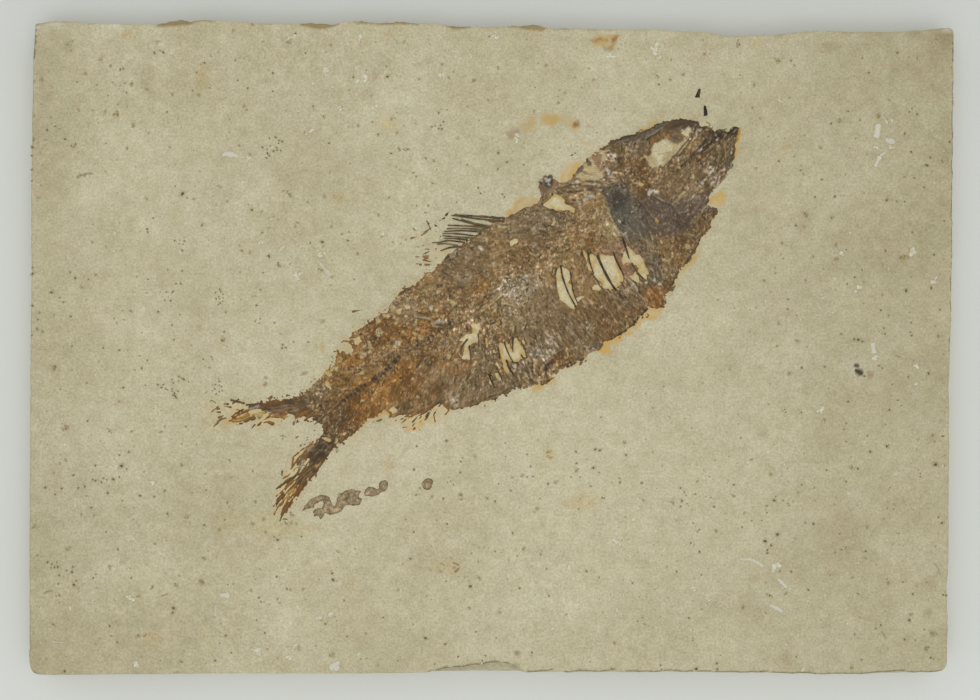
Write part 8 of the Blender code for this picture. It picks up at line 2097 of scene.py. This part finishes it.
FISH_STAINS = [
    ("ochre", 0.75, 0.6, [
        (60.2, 11.0), (60.5, 12.7), (62, 13.5), (64, 13.7), (66, 13.2), (68, 12.4), (69.0, 11.5),
        (68, 10.2),
    ]),
    ("gold", 0.85, 0.6, [
        (74.4, 10.4), (74.4, 12.8), (75.5, 13.3), (78, 13.9), (80.4, 13.4), (81, 12.2), (79, 10.8),
    ]),
    ("ochre", 0.3, 0.5, [(80.6, 11.6), (82, 13.2), (84.6, 13.6), (86.6, 13.2), (85.6, 12.0)]),
    ("gold", 0.9, 0.4, [(93.4, 10.9), (95.8, 11.4), (98.4, 11.4), (99.4, 10.8), (96.6, 10.2), (94, 10.3)]),
    ("gold", 1.0, 0.25, [(100.1, 11.3), (100.5, 11.7), (100.9, 11.4), (100.5, 11.0)]),
    ("gold", 1.0, 0.4, [
        (98.0, -9.9), (98.9, -9.4), (99.8, -9.4), (101.9, -9.7), (102.3, -10.8), (101.4, -12.4),
        (100.2, -12.2), (99.2, -11.4),
    ]),
    ("gold", 1.0, 0.3, [
        (113.2, -0.4), (113.5, -0.8), (112.8, -1.9), (111.3, -3.3), (110, -4.7), (108.6, -5.3),
        (109.4, -3.6), (111, -2.3), (112.4, -1.1),
    ]),
    ("gold", 0.9, 0.5, [
        (55.3, -22.4), (57.5, -23.2), (59.1, -21.4), (60, -22.0), (61.0, -24.8), (62.8, -25.1),
        (63.3, -23.8), (66, -24.3), (67, -23.8), (69, -24.5), (70.5, -23.4), (73, -23.6), (74.3, -24.6),
        (75.4, -25.0), (75.7, -24), (77.0, -23.4), (76.5, -21.6), (74, -21.4), (66, -22.4), (60, -21.0),
        (56, -21.4),
    ]),
    ("ochre", 0.8, 0.5, [
        (84, -18.4), (85, -20.0), (87.4, -19.6), (90.4, -18.4), (91.6, -17.2), (89, -16.8),
    ]),
    ("ochre", 0.36, 0.5, [
        (78.6, -22.0), (80.4, -21.9), (82.6, -20.7), (84.4, -19.8), (83.6, -18.8), (80.4, -20.4),
    ]),
    ("ochre", 0.3, 0.5, [
        (91, -17.6), (93.4, -16.4), (96.4, -15.0), (98.8, -13.0), (97.8, -12.2), (94, -14.6),
    ]),
    ("gold", 0.8, 0.4, [(43.2, -21.9), (43.6, -23.0), (46.2, -23.4), (46.8, -22.6), (45, -21.8)]),
    ("gold", 0.8, 0.4, [(46.6, -22.2), (47.4, -23.5), (49.6, -23.7), (50, -22.8), (48.4, -22.0)]),
    ("ochre", 0.36, 0.4, [(51.0, -22.4), (53.4, -23.4), (56.0, -23.5), (57.4, -22.8), (54, -21.8)]),
    ("ochre", 0.3, 0.5, [
        (27.2, -14.4), (27.0, -16.6), (29.4, -18.0), (33, -19.3), (36, -19.8), (36, -18.6), (30, -16.8),
    ]),
    ("ochre", 0.33, 0.5, [
        (15.0, -8.8), (14.4, -10.4), (15.6, -13.0), (16.6, -15.6), (20.6, -15.8), (22.4, -16.9),
        (25.6, -17.0), (27.2, -14.6), (26.4, -12), (20, -9.4),
    ]),
    ("gold", 0.6, 0.4, [(16.4, -14.2), (17.0, -16.0), (19.8, -15.8), (21.0, -14.4), (19.0, -13.6)]),
    ("ochre", 0.33, 0.4, [
        (4.0, -7.6), (4.4, -9.6), (6.6, -9.6), (9.4, -8.4), (12, -8.6), (14.6, -8.8), (15.2, -7.6),
        (9, -6.8),
    ]),
    ("ochre", 0.36, 0.4, [(-1.0, -8.9), (1.6, -9.1), (3.2, -8.6), (2.6, -7.4), (0, -7.8)]),
    ("ochre", 0.3, 0.4, [(3.2, 4.4), (5, 5.6), (6.6, 6.3), (7.2, 5.4), (5.6, 3.8)]),
    ("ochre", 0.3, 0.4, [
        (6.6, 5.2), (9.4, 6.8), (11.6, 6.4), (12.6, 8.2), (12.2, 9.0), (14.0, 9.3), (16.4, 10.0),
        (17.4, 9.8), (18.8, 10.9), (21.4, 10.4), (20, 8.6), (14.6, 5.4), (10, 4.2),
    ]),
    ("ochre", 0.27, 0.4, [
        (21.4, 9.4), (23.6, 9.9), (25.4, 10.6), (27.4, 10.0), (30.6, 11.3), (33, 11.8), (36, 11.6),
        (38.8, 12.3), (40, 11.5), (43.4, 12.4), (46, 12.7), (46, 11.6), (36, 10.4), (26, 8.6),
    ]),
    ("ochre", 0.21, 0.5, [
        (46, 12.4), (49.6, 12.9), (53, 12.8), (57, 13.0), (59.6, 12.7), (57, 11.6), (48, 11.8),
    ]),
    ("ochre", 0.24, 0.5, [
        (40.6, 12.2), (40.9, 14.0), (43.6, 15.6), (45.2, 15.2), (46.4, 13.6), (44.4, 12.2),
    ]),
    ("gold", 0.7, 0.4, [(-9.3, 6.4), (-10.2, 8.4), (-13.4, 9.3), (-15.1, 9.0), (-13.6, 7.6), (-11.0, 6.6)]),
    ("ochre", 0.3, 0.5, [
        (-9.8, 10.4), (-12.6, 10.9), (-15.4, 9.6), (-14.8, 8.4), (-11.4, 6.4), (-10.6, 4.2), (-7.0, 2.4),
        (-2.4, 2.0), (-2.6, 3.4), (-6.4, 5.4), (-7.6, 7.8),
    ]),
    ("ochre", 0.24, 0.5, [
        (-3.0, -9.9), (-9.6, -12.4), (-16.4, -14.9), (-18.3, -15.9), (-18.2, -12.9), (-15.6, -9.7),
        (-11.6, -7.3), (-8.0, -5.2), (-4.4, -4.6), (-5.6, -7.0),
    ]),
    ("ochre", 0.24, 0.6, [(-16.4, -17.0), (-18, -18), (-20, -18.2), (-19.6, -17), (-17.6, -16.2)]),
    ("rose", 0.4, 0.4, [(-15.9, -17.3), (-16.6, -18.2), (-17.2, -18.0), (-16.6, -17.0)]),
    ("gold", 0.7, 0.3, [(-13.1, -15.9), (-12.4, -15.6), (-11.8, -15.8), (-12.4, -16.2)]),
    ("ochre", 0.27, 0.5, [(46.0, 9.4), (47.2, 9.0), (48.6, 9.6)]),
    ("ochre", 0.27, 0.4, [(103.8, 8.7), (104.6, 9.4), (106.4, 7.4), (107.4, 6.0), (106.6, 5.6)]),
    ("ochre", 0.24, 0.5, [(39.4, 19.2), (41.6, 20.2), (45.4, 20.0), (45.4, 18.8), (42, 18.4)]),
]


class Marks:
    """Soft-edged flecks of colour that lie on the stone, joined in one mesh."""

    RINGS = ((0.58, 1.0), (0.84, 0.6), (1.0, 0.0))  # (share of the radius, share of the strength)

    def __init__(self):
        self.points, self.faces, self.colours, self.shares = [], [], [], []
        self.count = 0

    def close(self, ring):
        """The underside below a closed ring of points, set a little into the stone."""
        first = len(self.points)
        for index in ring:
            x, y, z = self.points[index]
            self.points.append((x, y, z - 0.15))
            self.colours.append(self.colours[index])
            self.shares.append(0.0)
        below = list(range(first, first + len(ring)))
        for i, index in enumerate(ring):
            after = (i + 1) % len(ring)
            self.faces.append((ring[after], index, below[i], below[after]))
        self.faces.append(tuple(reversed(below)))

    def put(self, x, y, height, colour, share):
        self.points.append((x, y, height))
        self.colours.append(colour)
        self.shares.append(share)
        return len(self.points) - 1

    def speck(self, x, y, width, colour, strength, sides=9, lift=0.0):
        """One fleck of an uneven round outline."""
        self.count += 1
        seed = self.count
        roll = lattice(np.arange(6) + 10 * seed, np.full(6, seed % 7), 91)
        radius = 0.75 * width
        stretch, turn = 1 + 0.28 * roll[0], math.pi * roll[1]
        centre = self.put(x, y, 0.028 + lift, colour, strength)
        rings = []
        for reach, share in self.RINGS if sides > 7 else self.RINGS[::2]:
            ring = []
            for k in range(sides):
                a = 2 * math.pi * k / sides
                wobble = 1 + 0.16 * math.sin(2 * a + 3 * roll[2]) + 0.13 * math.sin(3 * a + 3 * roll[3])
                out = radius * reach * wobble
                px, py = out * math.cos(a) * stretch, out * math.sin(a) / stretch
                qx = px * math.cos(turn) - py * math.sin(turn)
                qy = px * math.sin(turn) + py * math.cos(turn)
                height = 0.006 + lift + 0.022 * (1 - reach)
                ring.append(self.put(x + qx, y + qy, height, colour, share * strength))
            rings.append(ring)
        for k in range(sides):
            after = (k + 1) % sides
            self.faces.append((centre, rings[0][k], rings[0][after]))
            for inner, outer in zip(rings, rings[1:]):
                self.faces.append((inner[k], outer[k], outer[after], inner[after]))
        self.close(rings[-1])

    def cluster(self, x, y, width, colour, strength, bits):
        """A fleck broken up into smaller ones, strewn along its length."""
        draw = random.Random(self.count)
        turn = draw.uniform(0, math.pi)
        for _ in range(bits):
            along, aside = draw.gauss(0, 0.34) * width, draw.gauss(0, 0.2) * width
            px = x + along * math.cos(turn) - aside * math.sin(turn)
            py = y + along * math.sin(turn) + aside * math.cos(turn)
            size, share = width * draw.uniform(0.18, 0.5), min(0.95, strength * draw.uniform(0.5, 1.15))
            self.speck(px, py, size, colour, share, 7, 0.03)

    def stroke(self, points, width, colour, strength):
        """A line that fades at its sides and its ends."""
        path = smooth_line(points, 0.25)
        run = np.gradient(path, axis=0)
        run /= np.linalg.norm(run, axis=1, keepdims=True) + 1e-9
        place = np.linspace(-1, 1, len(path))
        half = 0.8 * width * (0.45 + 0.55 * np.sqrt(np.clip(1 - place ** 2, 0, 1)))
        half *= 1 + 0.22 * waves(path[:, 0], path[:, 1], 0.7, 191, 2)
        fade = strength * np.clip(1.6 * (1 - np.abs(place)) / max(0.2, width / len(path)), 0, 1)
        rows = []
        for p, r, h, f in zip(path, run, half, fade):
            row = []
            for across, share in ((-1, 0.0), (-0.6, 0.6), (-0.25, 1.0), (0.25, 1.0), (0.6, 0.6), (1, 0.0)):
                height = 0.03 + 0.02 * share
                x, y = p[0] - r[1] * h * across, p[1] + r[0] * h * across
                row.append(self.put(x, y, height, colour, share * f))
            rows.append(row)
        for near, far in zip(rows, rows[1:]):
            for a, b, c, d in zip(near, near[1:], far[1:], far):
                self.faces.append((b, a, d, c))
        self.close(rows[0][::-1] + [r[0] for r in rows[1:-1]] + rows[-1] + [r[-1] for r in rows[-2:0:-1]])

    def build(self, name, finish):
        points = np.array(self.points)
        points[:, 2] += stone_top(points[:, 0], points[:, 1])
        values = {
            "ground": linear(stone_ground(points[:, 0], points[:, 1])),
            "pigment": linear(self.colours),
            "mark": np.array(self.shares),
            "side": np.zeros(len(points)),
        }
        return add_piece(name, points, self.faces, "limestone_slab", finish, values)


def build_marks(finish):
    """Every fleck, scratch and bruise on the top face."""
    marks = Marks()
    for x, y, width in DARK_MARKS:
        marks.speck(x, y, 1.15 * width, (142, 122, 68), 0.3, 7)
        marks.speck(x, y, 0.06 + 0.56 * width, (60, 52, 20), min(0.64 + 0.25 * width, 0.92), 8, 0.03)
    for x, y, width in BROWN_MARKS:
        marks.speck(x, y, 0.25 + 0.7 * width, (158, 137, 84), 0.38, 8)
        marks.cluster(x, y, 0.14 + 0.74 * width, (122, 99, 44), 0.8, 6)
    marks.build("limestone_slab_dark_marks", finish)
    marks = Marks()
    for x, y, width in CHALK_MARKS:
        marks.speck(x, y, 0.6 * width, (210, 206, 188), 0.4, 7)
        marks.cluster(x, y, 1.25 * width, (216, 213, 196), 0.7, 7)
    for pigment, width, strength, points in STONE_LINES:
        marks.stroke(points, width, PIGMENT[pigment], strength)
    draw = random.Random(7)
    for _ in range(FAINT_SPECKS):
        x, y = draw.uniform(-99, 99), draw.uniform(-69, 67.5)
        u, v = on_fish(x, y)
        size, kind = 0.18 + 0.3 * draw.random() ** 2, draw.random()
        if -20 < u < 116 and -27 < v < 16:
            continue
        colour = (132, 108, 60) if kind < 0.55 else (92, 80, 44) if kind < 0.7 else (210, 207, 192)
        marks.speck(x, y, size, colour, draw.uniform(0.25, 0.8), 6)
    marks.build("limestone_slab_small_marks", finish)


def stain_window_rims(canvas, mark):
    """Ochre along the rims of the windows in the fish, stronger in patches."""
    for outline in list(WINDOWS.values()) + FLAKED:
        part, depth = canvas.depth(outline, 1.2)
        patchy = waves(canvas.u[part], canvas.v[part], 1.2, 211, 2)
        band = smooth(0.75 - np.abs(depth - 0.1) + 0.2 * patchy, 0, 0.7)
        share = band * np.clip(0.62 + 0.3 * patchy, 0, 0.95)
        canvas.tint(part, (share > mark[part]) * 1.0, PIGMENT["ochre"])
        mark[part] = np.maximum(mark[part], share)
        canvas.field[part] = np.maximum(canvas.field[part], depth + 0.7)


def build_stains(finish):
    """Ochre stains on the stone, in thin films that blend into it."""
    for name, place, stains in (
        ("limestone_slab_stains", None, SLAB_STAINS),
        ("limestone_slab_halo", on_slab, FISH_STAINS),
    ):
        pts = np.concatenate([np.array(s[3]) for s in stains])
        canvas = Canvas(tuple(pts.min(0) - 2.5), tuple(pts.max(0) + 2.5), STAIN_PITCH, PIGMENT["ochre"])
        canvas.rag *= 1.5
        mark = np.zeros(canvas.u.shape)
        for pigment, strength, soft, outline in stains:
            part, depth = canvas.depth(outline, 2.4)
            depth = depth + canvas.rag[part]
            share = smooth(depth, -soft, soft) * strength
            ratio = share / np.maximum(np.maximum(mark[part], share), 1e-6)
            canvas.tint(part, ratio, PIGMENT[pigment])
            mark[part] = 1 - (1 - mark[part]) * (1 - share)
            canvas.field[part] = np.maximum(canvas.field[part], depth + soft + 0.1)
        if place:
            stain_window_rims(canvas, mark)
        else:
            canvas.field = np.minimum(canvas.field, STAIN_END - canvas.v)
        cloud = 0.86 + 0.2 * waves(canvas.u, canvas.v, 1.4, 201, 3)
        mark = np.clip(mark * cloud, 0, 0.95) * smooth(canvas.field, 0.05, 0.5)
        way = place or (lambda u, v: (u, v))
        x, y = way(canvas.u, canvas.v)
        extra = {"ground": linear(stone_ground(x, y)), "mark": mark, "side": np.zeros(mark.shape)}
        film_piece(name, canvas, way, 0.02, 0.2, "limestone_slab", finish, extra, 0.004)


# ---------------------------------------------------------------- camera, light and floor

CAMERA_HEIGHT = 515.1
LENS, SENSOR = 85.0, 36.0
LOOK_AT = (-0.33, -0.33)


def add_camera():
    data = bpy.data.cameras.new("camera")
    data.lens, data.sensor_width = LENS, SENSOR
    data.clip_start, data.clip_end = 0.01, 10.0
    camera = bpy.data.objects.new("camera", data)
    camera.location = (LOOK_AT[0] * MM, LOOK_AT[1] * MM, CAMERA_HEIGHT * MM)
    bpy.context.scene.collection.objects.link(camera)
    bpy.context.scene.camera = camera


def add_light(name, place, aim, size, watts):
    data = bpy.data.lights.new(name, "AREA")
    data.shape, data.size, data.energy = "DISK", size, watts
    light = bpy.data.objects.new(name, data)
    light.location = place
    way = Vector(aim) - Vector(place)
    light.rotation_euler = way.to_track_quat("-Z", "Y").to_euler()
    bpy.context.scene.collection.objects.link(light)


def add_surroundings():
    scene = bpy.context.scene
    world = bpy.data.worlds.new("studio")
    world.use_nodes = True
    background = world.node_tree.nodes["Background"]
    background.inputs["Color"].default_value = (*linear((236, 238, 234)), 1)
    background.inputs["Strength"].default_value = 0.845
    scene.world = world
    scene.view_settings.view_transform = "Standard"
    add_light("overhead", (0.02, -0.16, 1.15), (0, 0, 0), 0.8, 3.75)
    mesh = bpy.data.meshes.new("floor")
    mesh.from_pydata([(-2, -2, 0), (2, -2, 0), (2, 2, 0), (-2, 2, 0)], [], [(0, 1, 2, 3)])
    mesh.materials.append(floor_finish())
    floor = bpy.data.objects.new("floor", mesh)
    scene.collection.objects.link(floor)


def main():
    stone = limestone()
    film = fossil_finish("brown_fossil_film", 0.62, 0.5, 1.2, 0.5)
    bone = fossil_finish("dark_fossil_bone", 0.5, 0.5, 0.3, 0.5)
    dung = fossil_finish("coprolite_phosphate", 0.75, 0.3, 0.4, 0.6)
    build_slab(stone)
    build_stains(stone)
    build_marks(stone)
    build_fish(film, bone)
    build_coprolites(dung)
    build_flakes(bone)
    add_camera()
    add_surroundings()


main()
